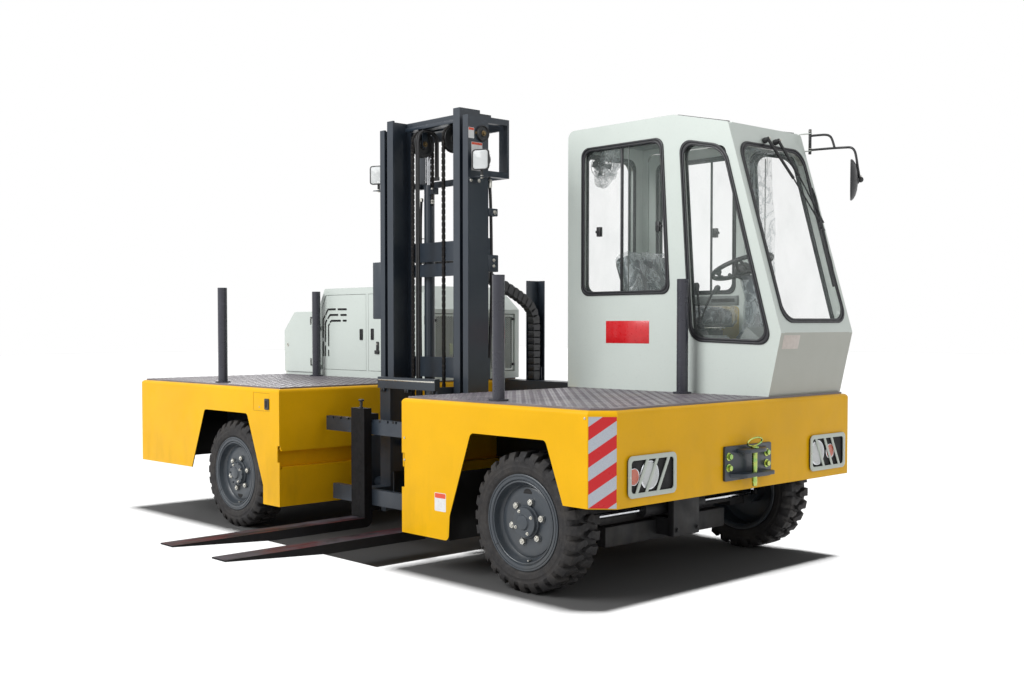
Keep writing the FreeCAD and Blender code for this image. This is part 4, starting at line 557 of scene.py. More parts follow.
def thicken(bm, thick):
    """Give flat faces in the XY plane a thickness up +Z."""
    grown = bmesh.ops.extrude_face_region(bm, geom=list(bm.faces))["geom"]
    bmesh.ops.translate(bm, vec=(0, 0, thick),
                        verts=[g for g in grown if isinstance(g, bmesh.types.BMVert)])
    bmesh.ops.recalc_face_normals(bm, faces=bm.faces)


def slab(points, thick, edge=0.0, segments=2):
    """A flat outline given a thickness up +Z from the XY plane, with its rims rounded."""
    bm = bmesh.new()
    bm.faces.new([bm.verts.new((*point, 0)) for point in points])
    thicken(bm, thick)
    if edge:
        soften(bm, edge, segments, level_edges(bm))
    return bm


def ring_edges(bm, points):
    """New edges that join points into a closed ring."""
    verts = [bm.verts.new(point) for point in points]
    return [bm.edges.new(pair) for pair in zip(verts, verts[1:] + verts[:1])]


def hoop(outer, inner, thick, edge=0.0):
    """A flat frame between two outlines of as many points, given a thickness."""
    bm = bmesh.new()
    rings = [ring_edges(bm, [(*point, 0) for point in points]) for points in (outer, inner)]
    bmesh.ops.bridge_loops(bm, edges=rings[0] + rings[1])
    thicken(bm, thick)
    if edge:
        soften(bm, edge, 2, [e for e in level_edges(bm) if e.calc_face_angle(0) > 1])
    return bm


def loft(loops, caps=True):
    """A skin over closed loops of 3-D points, one after another, with its ends closed."""
    bm = bmesh.new()
    rings = [ring_edges(bm, points) for points in loops]
    for ring, following in zip(rings, rings[1:]):
        bmesh.ops.bridge_loops(bm, edges=ring + following)
    if caps:
        bmesh.ops.holes_fill(bm, edges=[e for e in bm.edges if e.is_boundary])
    bmesh.ops.recalc_face_normals(bm, faces=bm.faces)
    return bm


def round_angles(count):
    """Angles at even steps round a full turn."""
    return [FULL_TURN * i / count for i in range(count)]


def pipe(points, radius, sides=3, cyclic=False, smooth=False, steps=6):
    """A round bar along points, straight between them or on one smooth line."""
    line = bpy.data.curves.new("line", "CURVE")
    line.dimensions = "3D"
    line.bevel_depth = radius
    line.bevel_resolution = sides
    line.use_fill_caps = not cyclic
    line.resolution_u = steps
    spline = line.splines.new("NURBS" if smooth else "POLY")
    spline.points.add(len(points) - 1)
    for point, place in zip(spline.points, points):
        point.co = (*place, 1)
    spline.use_cyclic_u = cyclic
    if smooth:
        spline.order_u = 3
        spline.use_endpoint_u = not cyclic
    holder = bpy.data.objects.new("line", line)
    mesh = bpy.data.meshes.new_from_object(holder)
    bm = bmesh.new()
    bm.from_mesh(mesh)
    bpy.data.meshes.remove(mesh)
    bpy.data.objects.remove(holder)
    bpy.data.curves.remove(line)
    return bm


class Shape:
    """Several made parts gathered into one piece, in metres from the chassis's middle."""

    def __init__(self, *makers):
        self.bm = bmesh.new()
        self.makers = list(makers)

    def add(self, part, maker=None, at=STILL, copies=(STILL,)):
        """Put a part in, once or at several places, with its finish or the shape's first one.

        at is a matrix, or a point that the part is moved to.
        """
        if maker and maker not in self.makers:
            self.makers.append(maker)
        for face in part.faces:
            face.material_index = self.makers.index(maker) if maker else 0
        if not isinstance(at, Matrix):
            at = Matrix.Translation(at)
        for place in copies:
            mesh = bpy.data.meshes.new("part")
            part.to_mesh(mesh)
            whole = place @ at
            mesh.transform(whole)
            if whole.determinant() < 0:
                mesh.flip_normals()
            self.bm.from_mesh(mesh)
            bpy.data.meshes.remove(mesh)
        part.free()

    def stand(self, name, body, replaces=(), smooth=SMOOTH_ANGLE):
        """Make the piece's object, in the frame's coordinates, and let it ride on a body."""
        mesh = bpy.data.meshes.new(name)
        self.bm.transform(Matrix.Translation(ORIGIN))
        self.bm.to_mesh(mesh)
        self.bm.free()
        for maker in self.makers:
            mesh.materials.append(finish(maker))
        mesh.polygons.foreach_set("use_smooth", [True] * len(mesh.polygons))
        mesh.set_sharp_from_angle(angle=smooth)
        piece = bpy.data.objects.new(name, mesh)
        bpy.context.scene.collection.objects.link(piece)
        if body:
            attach(piece, body)
        if replaces:
            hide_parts(*replaces)
        return piece


def bolt(across=0.019, height=0.009, washer=True):
    """A bolt head on its washer, from the surface up +Z."""
    shape = Shape()
    if washer:
        shape.add(drum(across * 0.82, 0.003, 20, 0.0006))
    shape.add(hexagon(across, height + 0.003))
    return shape.bm


def spin_places(count, start=0.0):
    """Matrices that repeat a part round the origin's own Z."""
    return [Matrix.Rotation(start + angle, 4, "Z") for angle in round_angles(count)]


class Builder:
    """What the operators share: each builds its pieces and is done."""

    def execute(self, context):
        self.build()
        return {"FINISHED"}


# ---- Wheels ---------------------------------------------------------------------------------

LUG_OUTLINE = [(-0.025, 0.106), (-0.025, 0.086), (-0.025, 0.058), (-0.008, 0.030), (-0.008, 0.008),
               (0.006, -0.010), (0.022, 0.002), (0.034, 0.026), (0.025, 0.052), (0.025, 0.086),
               (0.025, 0.106)]
GROOVE_RADIUS = 0.326
WHEEL_RADIUS = 0.353


def on_tread(point):
    """A lug's point (along the tread, across it, share of its height) put on the round tyre."""
    along, across, share = point
    shoulder = max(0.0, (abs(across) - 0.086) / 0.020)
    low = GROOVE_RADIUS - 0.004 - 0.024 * shoulder
    high = 0.3525 - 0.0345 * shoulder ** 1.4
    radius = low + (high - low) * share
    turn = along / WHEEL_RADIUS
    return Vector((radius * math.sin(turn), -radius * math.cos(turn), across))


def tyre_mesh():
    """A tyre about +Z: a carcass with ringed walls, and two rows of angled lugs."""
    wall = [(0.2283, 0.0915), (0.240, 0.0925), (0.246, 0.0955), (0.253, 0.1015), (0.256, 0.1035),
            (0.258, 0.1035), (0.262, 0.1045), (0.276, 0.1055), (0.279, 0.1065), (0.282, 0.1055),
            (0.297, 0.1045), (0.299, 0.1055), (0.302, 0.1055), (0.304, 0.104), (0.314, 0.101),
            (0.322, 0.096), (GROOVE_RADIUS, 0.088), (GROOVE_RADIUS + 0.003, 0.03)]
    profile = wall + [(radius, -height) for radius, height in reversed(wall)]
    tyre = Shape(tread_rubber)
    tyre.add(turned(profile, 96, closed=True))
    lug = slab(LUG_OUTLINE, 1.0)
    middle = Vector((0.004, 0.055, 0))
    for vert in lug.verts:
        if vert.co.z > 0.5:
            vert.co.xy = (vert.co - middle).xy * 0.94 + middle.xy
    tops = [f for f in lug.faces if f.normal.z > 0.9]
    bmesh.ops.triangulate(lug, faces=tops)
    for vert in lug.verts:
        vert.co = on_tread(vert.co)
    bmesh.ops.recalc_face_normals(lug, faces=lug.faces)
    rims = [e for e in lug.edges if e.calc_face_angle(0) > 0.7 and
            all(v.co.xy.length > GROOVE_RADIUS + 0.004 or abs(v.co.z) > 0.1 for v in e.verts)]
    soften(lug, 0.0028, 2, rims)
    lugs = settings().lug_count
    other = Matrix.Rotation(math.pi / lugs, 4, "Z") @ Matrix.Scale(-1, 4, (0, 0, 1))
    places = spin_places(lugs)
    tyre.add(lug, copies=places + [place @ other for place in places])
    return tyre


def rim_mesh(driven):
    """A wheel about +Z with its outer side up: flange, lock ring, dish, nuts and hub cap."""
    face = [(0.2276, -0.0915), (0.242, -0.0925), (0.2425, -0.097), (0.240, -0.1003),
            (0.229, -0.1003), (0.214, -0.090), (0.214, 0.020), (0.184, 0.036), (0.172, 0.040),
            (0.092, 0.040), (0.092, -0.030), (0.040, -0.030), (0.040, 0.050), (0.0, 0.050)]
    outer = [(0.2276, 0.0915), (0.2415, 0.0925), (0.2428, 0.0955), (0.2415, 0.0990), (0.238, 0.1005),
             (0.2335, 0.0995), (0.2325, 0.0965), (0.2300, 0.0965), (0.2285, 0.0995), (0.2225, 0.1005),
             (0.2155, 0.0990), (0.2130, 0.0950), (0.2110, 0.0920), (0.2085, 0.0920), (0.2075, 0.0960),
             (0.2040, 0.0975), (0.2010, 0.0960), (0.1985, 0.086), (0.1945, 0.070), (0.1890, 0.056),
             (0.1810, 0.0490), (0.1760, 0.0500), (0.1740, 0.0545), (0.1690, 0.0570), (0.1400, 0.0580),
             (0.1280, 0.0570), (0.0860, 0.0570)]
    hub = [(0.0840, 0.060), (0.0835, 0.0690), (0.0815, 0.0715), (0.0780, 0.0720), (0.0765, 0.0740),
           (0.0760, 0.0860), (0.0740, 0.0890), (0.0680, 0.0900), (0.0400, 0.0905), (0.0370, 0.0930),
           (0.0345, 0.0985), (0.0310, 0.0998), (0.0, 0.1)]
    shape = Shape(rim_paint)
    shape.add(turned(list(reversed(face)) + outer + hub, 80))
    nuts = [place @ Matrix.Translation((0.104, 0, 0.0565)) for place in spin_places(6, start=0.26)]
    shape.add(drum(0.0205, 0.0035, 24, 0.001), copies=nuts)
    shape.add(turned([(0.0, 0.024), (0.006, 0.023), (0.0085, 0.020), (0.0085, 0.0)], 14), zinc,
              copies=nuts)
    shape.add(hexagon(0.030, 0.017, 0.0015), zinc, copies=nuts)
    caps = [place @ Matrix.Translation((0.060, 0, 0.0895)) for place in spin_places(4, start=0.5)]
    shape.add(bolt(0.011, 0.006), zinc, copies=caps)
    if driven:
        ring = [place @ Matrix.Translation((0.072, 0, 0.0895)) for place in spin_places(12)]
        shape.add(bolt(0.008, 0.004), copies=ring)
    # Painted shade: a black half-round sheet stands for the hand hole, and a black strip for the lock
    # ring's split.
    half_round = [(0.030 * math.cos(math.pi * i / 10), 0.026 * math.sin(math.pi * i / 10))
                  for i in range(11)]
    painted_hole_shade = slab([(x, y - 0.008) for x, y in half_round], 0.0012, 0.0004)
    lean = Matrix.Rotation(math.pi if driven else 0.0, 4, "Z")
    shape.add(painted_hole_shade, black_and_painted_shade, lean @ Matrix.Translation((0, 0.148, 0.0572)))
    split = block((-0.0012, -0.0105, 0), (0.0012, 0.0105, 0.0016), 0.0)
    shape.add(split, black_and_painted_shade, Matrix.Rotation(2.2, 4, "Z") @ Matrix.Translation((0, 0.2190, 0.0995)))
    valve = drum(0.004, 0.030, 10, 0.001)
    shape.add(valve, zinc, (0.03, -0.188, 0.058))
    return shape


WHEEL_Y, WHEEL_Z = 0.922, 0.353
WHEELS = {"front_near": (1.648, -1), "front_far": (1.648, 1), "rear_near": (-1.020, -1),
          "rear_far": (-1.020, 1)}


class FORKLIFT_OT_tyres(Builder, bpy.types.Operator):
    """Four block-tread tyres"""
    bl_idname = "forklift.tyres"
    bl_label = "Tyres"

    def build(self):
        for name, (x, side) in WHEELS.items():
            place = facing((0, side, 0), (x, side * WHEEL_Y, WHEEL_Z))
            tyre = tyre_mesh()
            tyre.bm.transform(place)
            piece = tyre.stand(f"lugged_tyre_{name}", "wheel_" + name, [f"tyre_{name}"])


class FORKLIFT_OT_rims(Builder, bpy.types.Operator):
    """Four steel wheels with their lock rings, nuts and hub caps"""
    bl_idname = "forklift.rims"
    bl_label = "Wheel rims"

    def build(self):
        for name, (x, side) in WHEELS.items():
            upright = facing((0, side, 0), (x, side * WHEEL_Y, WHEEL_Z))
            wheel = rim_mesh(name.startswith("rear"))
            wheel.bm.transform(upright)
            piece = wheel.stand(f"steel_wheel_{name}", "wheel_" + name, [f"rim_{name}"])


# ---- Sizes and colours that a user may change -----------------------------------------------

def colour_setting(name, description, red, green, blue):
    """A colour that a user may change, its default given from 0 to 255."""
    return FloatVectorProperty(name=name, description=description, subtype="COLOR", size=4, min=0,
                               max=1, default=tone(red, green, blue))


class ForkliftLooks(bpy.types.PropertyGroup):
    """Sizes and colours of the looks."""

    body_colour: colour_setting("Body colour", "Enamel of the two bodies", 240, 182, 12)
    cab_colour: colour_setting("Cab colour", "Enamel of the cab and housing", 210, 219, 213)
    mast_colour: colour_setting("Mast colour", "Paint of mast and carriages", 36, 46, 57)
    floor_colour: colour_setting("Floor colour", "Tone of the studio floor", 97, 97, 97)
    floor_light: FloatProperty(name="Floor light",
                               description="Strength of the floor's own overhead lamp", default=29.0,
                               min=0)
    floor_bounce: FloatProperty(name="Floor bounce",
                                description="Share of the floor's tone thrown back", default=0.55,
                                min=0, max=1, subtype="FACTOR")
    sky_level: FloatProperty(name="Sky level", description="Strength of the light from all round",
                             default=0.52, min=0, max=2)
    key_power: FloatProperty(name="Key light", description="Power of the large lamp on the load side",
                             default=760.0, min=0, unit="POWER")
    lug_count: IntProperty(name="Tread lugs", description="Lugs round each side of a tyre",
                           default=28, min=12, max=40)
    tread_pitch: FloatProperty(name="Tread pitch", description="Spacing of the deck plate's lugs",
                               default=0.034, min=0.02, max=0.1, unit="LENGTH", subtype="DISTANCE")
    tread_height: FloatProperty(name="Tread height", description="Height of the deck plate's lugs",
                                default=0.0018, min=0.0005, max=0.004, unit="LENGTH",
                                subtype="DISTANCE")


# ---- Stage ----------------------------------------------------------------------------------

CAMERA_AT = (5.760, -4.7995, 1.336)
CAMERA_HEADING, CAMERA_DIP, CAMERA_ROLL = 48.556, 2.03, -0.12
CAMERA_LENS = 42.03
CAMERA_SHIFT = (0.0717, 0.0250)


class FORKLIFT_OT_stage(Builder, bpy.types.Operator):
    """Pale floor, soft studio light and the camera"""
    bl_idname = "forklift.stage"
    bl_label = "Stage"

    def build(self):
        scene, looks = bpy.context.scene, settings()
        bm = bmesh.new()
        bmesh.ops.create_grid(bm, x_segments=8, y_segments=8, size=45)
        mesh = bpy.data.meshes.new("floor")
        bm.to_mesh(mesh)
        bm.free()
        mesh.materials.append(finish(floor_paint))
        floor = bpy.data.objects.new("floor", mesh)
        scene.collection.objects.link(floor)
        self.light_floor(scene, floor, looks)
        self.light_world(scene, looks)
        self.hang_lamp("key_light", (-1.5, -7.5, 6.5), (0.2, 0, 1.0), 5.5, looks.key_power)
        self.hang_lamp("front_fill", (8.5, 1.0, 4.5), (0.5, 0, 1.0), 4.0, looks.key_power * 0.07)
        self.hang_lamp("rear_fill", (-7.5, 5.0, 5.0), (-0.5, 0, 1.2), 4.0, looks.key_power * 0.3)
        self.place_camera(scene)

    def light_floor(self, scene, floor, looks):
        """A lamp straight overhead for the floor alone, so the machine's shadow lies under it."""
        lamp = bpy.data.lights.new("floor_sun", "SUN")
        lamp.energy = looks.floor_light
        lamp.angle = math.radians(9)
        holder = bpy.data.objects.new("floor_sun", lamp)
        holder.rotation_euler = (math.radians(-5), math.radians(3), 0)
        scene.collection.objects.link(holder)
        lit = bpy.data.collections.new("floor_only")
        lit.objects.link(floor)
        holder.light_linking.receiver_collection = lit
        casting = bpy.data.collections.new("shadow_casters")
        for name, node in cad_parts.items():
            if name not in ("rear_fork", "front_fork"):
                casting.objects.link(node)
        holder.light_linking.blocker_collection = casting
        self.shade_well(casting)

    def shade_well(self, casting):
        """A card that shows to no ray and keeps the floor under the open well in shadow."""
        bm = bmesh.new()
        corners = rect(-HALF_WELL, -0.72, HALF_WELL, 0.95)
        bm.faces.new([bm.verts.new((x, y, 0.006)) for x, y in corners])
        mesh = bpy.data.meshes.new("well_shade")
        bm.to_mesh(mesh)
        bm.free()
        mesh.materials.append(finish(cast_grey))
        card = bpy.data.objects.new("well_shade", mesh)
        bpy.context.scene.collection.objects.link(card)
        for ray in ("camera", "diffuse", "glossy", "transmission", "volume_scatter"):
            setattr(card, "visible_" + ray, False)
        casting.objects.link(card)

    def light_world(self, scene, looks):
        """An even sky that the camera, gloss and glass see as white."""
        world = bpy.data.worlds.new("sky")
        world.use_nodes = True
        scene.world = world
        nodes, links = world.node_tree.nodes, world.node_tree.links
        sky = next(n for n in nodes if n.type == "BACKGROUND")
        sky.inputs["Color"].default_value = (1, 1, 1, 1)
        path = nodes.new("ShaderNodeLightPath")
        seen = path.outputs["Is Camera Ray"]
        for ray in ("Is Glossy Ray", "Is Transmission Ray"):
            either = nodes.new("ShaderNodeMath")
            either.operation = "MAXIMUM"
            links.new(seen, either.inputs[0])
            links.new(path.outputs[ray], either.inputs[1])
            seen = either.outputs[0]
        level = nodes.new("ShaderNodeMapRange")
        level.inputs["To Min"].default_value = looks.sky_level
        level.inputs["To Max"].default_value = 1.0
        links.new(seen, level.inputs["Value"])
        links.new(level.outputs["Result"], sky.inputs["Strength"])

    def hang_lamp(self, name, at, towards, size, power):
        """A square lamp that looks at a point."""
        lamp = bpy.data.lights.new(name, "AREA")
        lamp.size = size
        lamp.energy = power
        holder = bpy.data.objects.new(name, lamp)
        holder.location = at
        holder.rotation_euler = (Vector(towards) - Vector(at)).to_track_quat("-Z", "Y").to_euler()
        bpy.context.scene.collection.objects.link(holder)

    def place_camera(self, scene):
        """The camera low at the front corner of the load side."""
        scene.view_settings.view_transform = "Standard"
        view = bpy.data.cameras.new("camera")
        view.lens = CAMERA_LENS
        view.shift_x, view.shift_y = CAMERA_SHIFT
        view.clip_end = 200
        camera = bpy.data.objects.new("camera", view)
        camera.matrix_world = (Matrix.Translation(CAMERA_AT) @
                               Matrix.Rotation(math.radians(CAMERA_HEADING), 4, "Z") @
                               Matrix.Rotation(math.radians(90 - CAMERA_DIP), 4, "X") @
                               Matrix.Rotation(math.radians(CAMERA_ROLL), 4, "Z"))
        scene.collection.objects.link(camera)
        scene.camera = camera


# ---- Paint on the frame's own parts -----------------------------------------------------------

FRAME_FINISHES = {
    body_yellow: ["front_body", "rear_body", "filler_flap", "traverse_rails"],
    deck_steel: ["decks"],
    slate_paint: ["main_frame", "mast_base", "outer_mast", "inner_mast", "fork_carriage",
                  "lift_cylinders", "tilt_barrels"],
    post_paint: ["load_posts"],
    axle_paint: ["front_axle", "rear_axle", "knuckle_near", "knuckle_far"],
    chrome: ["steering_rod", "tilt_rods"],
    fork_steel: ["rear_fork", "front_fork"],
    cab_enamel: ["cab_near_wall", "cab_far_wall", "cab_rear_wall", "cab_roof", "cab_front", "cab_door"],
    clear_glass: ["cab_glass", "door_glass"],
    hood_enamel: ["engine_hood", "rear_box", "box_door", "hood_door_rear", "hood_door_front"],
    cast_grey: ["engine_block"],
    black_plastic: ["seat_base"],
}


class FORKLIFT_OT_paint(Builder, bpy.types.Operator):
    """Finish every part that keeps the frame's own shape"""
    bl_idname = "forklift.paint"
    bl_label = "Paint the frame"

    def build(self):
        for maker, names in FRAME_FINISHES.items():
            for name in names:
                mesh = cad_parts[name].data
                mesh.materials.clear()
                mesh.materials.append(finish(maker))


# ---- Cab outside ------------------------------------------------------------------------------

CAB_NEAR = 0.330
CAB_FAR = 1.055
CAB_WALL = 0.035
CAB_MIDDLE = 0.6925
DOOR_INSIDE = CAB_FAR - 0.030
SIDE_WINDOW = [(0.833, 1.510), (0.833, 2.417), (1.457, 2.417), (1.512, 1.510)]
QUARTER_WINDOW = [(1.6495, 1.2385), (1.5715, 2.3935), (1.8855, 2.3245), (2.1935, 1.2215)]
DOOR_WINDOW = [(0.862, 1.522), (0.862, 2.378), (1.478, 2.378), (1.478, 1.522)]
REAR_WINDOW = [(0.442, 1.492), (0.442, 2.408), (0.943, 2.408), (0.943, 1.492)]
WINDSCREEN = [(0.373, 0.053), (0.373, 1.105), (1.018, 1.105), (1.018, 0.053)]
SCREEN_FOOT = Vector((2.245, 0, 1.290))
SCREEN_UP = Vector((-0.345, 0, 1.160)).normalized()


def on_plane(at, across, up, outward=None):
    """A matrix that lays a flat outline's X across, its Y up, and its +Z outwards."""
    across, up = Vector(across).normalized(), Vector(up).normalized()
    outward = Vector(outward) if outward else across.cross(up)
    rows = Matrix((across, up, outward)).transposed().to_4x4()
    return Matrix.Translation(at) @ rows


def on_near(y):
    """Outlines in X and Z, standing on a wall that faces the load side."""
    return on_plane((0, y, 0), (1, 0, 0), (0, 0, 1))


def on_far(y):
    """Outlines in X and Z, standing on a wall that faces the cab side."""
    return on_plane((0, y, 0), (1, 0, 0), (0, 0, 1), (0, 1, 0))


def on_screen():
    """Outlines in Y and up the windscreen, standing on its frame."""
    return on_plane(SCREEN_FOOT, (0, 1, 0), SCREEN_UP)


def gasket(shape, outline, place, corner):
    """A rubber seal of two round beads along a window's edge."""
    wide = 0.026
    for start, end, thick in ((0.0, wide, 0.0035), (0.001, wide * 0.48, 0.0085),
                              (wide * 0.56, wide - 0.001, 0.0070)):
        outer = rounded(outline, corner, 8, start)
        inner = rounded(outline, corner * 0.95, 8, end)
        shape.add(hoop(outer, inner, thick, min(0.0032, thick * 0.42)), gasket_rubber, place)


def latch(shape, x, z, y, turn=1):
    """A black thumb latch of a sliding pane, on both faces of the glass."""
    for face in (-1, 1):
        shape.add(block((x - 0.015, y, z - 0.029), (x + 0.015, y + face * 0.012, z + 0.029), 0.003),
                  black_plastic)
        shape.add(block((x - turn * 0.012, y, z - 0.008),
                        (x - turn * 0.026, y + face * 0.009, z + 0.008), 0.003), black_plastic)
        shape.add(drum(0.006, 0.004, 14, 0.001), black_plastic,
                  facing((0, face, 0), (x, y + face * 0.012, z)))


class FORKLIFT_OT_cab_fittings(Builder, bpy.types.Operator):
    """Window seals, sliding panes' frames, latches, plates and lifting eye of the cab"""
    bl_idname = "forklift.cab_fittings"
    bl_label = "Cab fittings"

    def build(self):
        seals = Shape(gasket_rubber)
        for outline, corner in ((SIDE_WINDOW, 0.056), (QUARTER_WINDOW, 0.085)):
            gasket(seals, outline, on_near(CAB_NEAR), corner)
            gasket(seals, outline, on_far(CAB_NEAR + CAB_WALL), corner)
        gasket(seals, QUARTER_WINDOW, on_far(CAB_FAR), 0.085)
        gasket(seals, QUARTER_WINDOW, on_near(CAB_FAR - CAB_WALL), 0.085)
        back = on_plane((0.720, 0, 0), (0, 1, 0), (0, 0, 1), (-1, 0, 0))
        gasket(seals, REAR_WINDOW, back, 0.066)
        gasket(seals, REAR_WINDOW, on_plane((0.755, 0, 0), (0, 1, 0), (0, 0, 1)), 0.066)
        gasket(seals, WINDSCREEN, on_screen(), 0.092)
        seals.stand("cab_window_seals", "chassis")

        panes = Shape(black_plastic)
        middle = CAB_NEAR + CAB_WALL / 2
        panes.add(block((1.132, middle - 0.008, 1.536), (1.146, middle + 0.008, 2.392), 0.002),
                  gasket_rubber)
        panes.add(block((1.187, middle - 0.004, 1.536), (1.191, middle + 0.004, 2.392), 0.001),
                  cabin_grey)
        panes.add(block((1.6735, CAB_FAR - 0.022, 1.27), (1.6765, CAB_FAR - 0.014, 2.33), 0.001),
                  cabin_grey)
        latch(panes, 0.962, 1.900, middle)
        latch(panes, 1.412, 1.906, middle, -1)
        panes.stand("sliding_pane_frames", "chassis")

        plates = Shape(plate_red)
        plates.add(block((1.031, CAB_NEAR - 0.0012, 1.223), (1.361, CAB_NEAR, 1.357), 0.0004))
        nose = on_plane((2.170, 0, 0.946), (0, 1, 0), (0.075, 0, 0.344))
        plates.add(slab(rounded([(0.362, 0.262), (0.362, 0.338), (0.520, 0.338), (0.520, 0.262)],
                                0.006, 3), 0.0008, 0.0003), faded_label, nose)
        plates.stand("cab_blank_plates", "chassis")

        roof = Shape(cab_enamel)
        for y in (0.372, 1.013):
            roof.add(pipe([(0.745, y, 2.5345), (1.535, y, 2.5345), (1.880, y, 2.4560)], 0.004, 2),
                     gasket_rubber)
        roof.add(drum(0.018, 0.008, 24, 0.002), zinc, (1.019, 0.690, 2.534))
        eye = turned([(0.024 + 0.008 * math.cos(a), 0.008 * math.sin(a)) for a in round_angles(12)], 28,
                     closed=True)
        roof.add(eye, zinc, facing((1, 0.2, 0), (1.019, 0.690, 2.580)))
        roof.add(drum(0.009, 0.024, 14, 0.001), zinc, (1.019, 0.690, 2.541))
        for x in (1.10, 1.48):
            roof.add(drum(0.0045, 0.004, 12, 0.0015), zinc, facing((0, 1, 0), (x, CAB_FAR, 0.985)))
        roof.stand("cab_roof_trim", "chassis")

        self.door()

    def door(self):
        """Seals, latch and lining of the hinged door."""
        seals = Shape(gasket_rubber)
        gasket(seals, DOOR_WINDOW, on_far(CAB_FAR), 0.050)
        gasket(seals, DOOR_WINDOW, on_near(DOOR_INSIDE), 0.050)
        glass = CAB_FAR - 0.015
        seals.add(block((1.280, glass - 0.007, 1.542), (1.290, glass + 0.007, 2.358), 0.002))
        latch(seals, 1.315, 1.907, glass, -1)
        seals.stand("door_seals", "cab_door")
        lining = Shape(cabin_grey)
        lining.add(slab(rounded([(0.835, 1.045), (0.835, 1.447), (1.505, 1.447), (1.505, 1.045)],
                                0.030), 0.004, 0.0015), door_lining, on_near(DOOR_INSIDE))
        lining.add(slab([(0.850, 1.455), (0.850, 1.512), (1.500, 1.512), (1.500, 1.455)], 0.012, 0.004),
                   at=on_near(DOOR_INSIDE))
        # Painted shade: a black strip stands for the vent slot in the lining.
        lining.add(slab([(1.307, 1.472), (1.307, 1.494), (1.478, 1.494), (1.478, 1.472)], 0.0135,
                        0.001), black_and_painted_shade, on_near(DOOR_INSIDE))
        lining.add(pipe([(1.02, 1.022, 1.30), (1.02, 0.985, 1.30), (1.20, 0.985, 1.30),
                         (1.20, 1.022, 1.30)], 0.009, 4), black_plastic)
        lining.stand("door_lining", "cab_door")
        outside = Shape(black_plastic)
        outside.add(slab(rounded([(1.478, 1.29), (1.478, 1.45), (1.512, 1.45), (1.512, 1.29)], 0.012),
                         0.003, 0.001), zinc, on_far(CAB_FAR))
        outside.add(drum(0.008, 0.006, 20, 0.001), zinc, facing((0, 1, 0), (1.455, CAB_FAR, 1.315)))
        outside.stand("door_lock", "cab_door")


# ---- Cab inside ---------------------------------------------------------------------------------

WHEEL_AXIS = Vector((-0.374607, 0, 0.927184))
WHEEL_CENTRE = Vector((1.750, CAB_MIDDLE, 1.670))


class FORKLIFT_OT_steering_wheel(Builder, bpy.types.Operator):
    """Steering wheel with bent spokes, a domed hub and a spinner knob"""
    bl_idname = "forklift.steering_wheel"
    bl_label = "Steering wheel"

    def build(self):
        shape = Shape(black_plastic)
        place = on_plane(WHEEL_CENTRE, (0.927184, 0, 0.374607), (0, 1, 0))
        ring = [(0.175 * math.cos(a), 0.175 * math.sin(a), 0) for a in round_angles(48)]
        shape.add(pipe(ring, 0.0135, 4, cyclic=True), at=place)
        for turn in (math.radians(180), math.radians(62), math.radians(-62)):
            for side in (1, -1):
                spoke = pipe([(0.030, side * 0.022, -0.030), (0.080, side * 0.026, -0.034),
                              (0.132, side * 0.018, -0.016), (0.170, side * 0.004, 0.0)], 0.0085, 3,
                             smooth=True)
                shape.add(spoke, at=place @ Matrix.Rotation(turn, 4, "Z"))
        hub = [(0.0, 0.020), (0.018, 0.0185), (0.034, 0.012), (0.044, 0.0), (0.047, -0.012),
               (0.046, -0.040), (0.040, -0.052), (0.0, -0.0535)]
        shape.add(turned(hub, 32), at=place)
        knob = [(0.0, 0.054), (0.012, 0.053), (0.0185, 0.047), (0.0205, 0.038), (0.018, 0.028),
                (0.012, 0.022), (0.010, 0.010), (0.010, -0.004), (0.0, -0.004)]
        shape.add(turned(knob, 24), at=place @ Matrix.Translation((-0.163, 0, 0)))
        shape.add(drum(0.022, 0.010, 24, 0.002), at=place @ Matrix.Translation((-0.163, 0, -0.002)))
        piece = shape.stand("spoked_steering_wheel", "steering_wheel", ["steering_wheel"])


def cross_section(x0, x1, y0, y1, z, radius):
    """A level loop with round corners."""
    return [(*point, z) for point in rounded(rect(x0, y0, x1, y1), radius, 4)]


COLUMN_SECTIONS = [(1.735, 1.958, 0.110, 0.985, 0.03), (1.740, 1.955, 0.108, 1.20, 0.03),
                   (1.752, 1.945, 0.095, 1.245, 0.03), (1.800, 1.925, 0.062, 1.330, 0.03),
                   (1.800, 1.915, 0.056, 1.48, 0.025), (1.780, 1.905, 0.058, 1.585, 0.025),
                   (1.745, 1.870, 0.060, 1.615, 0.025)]


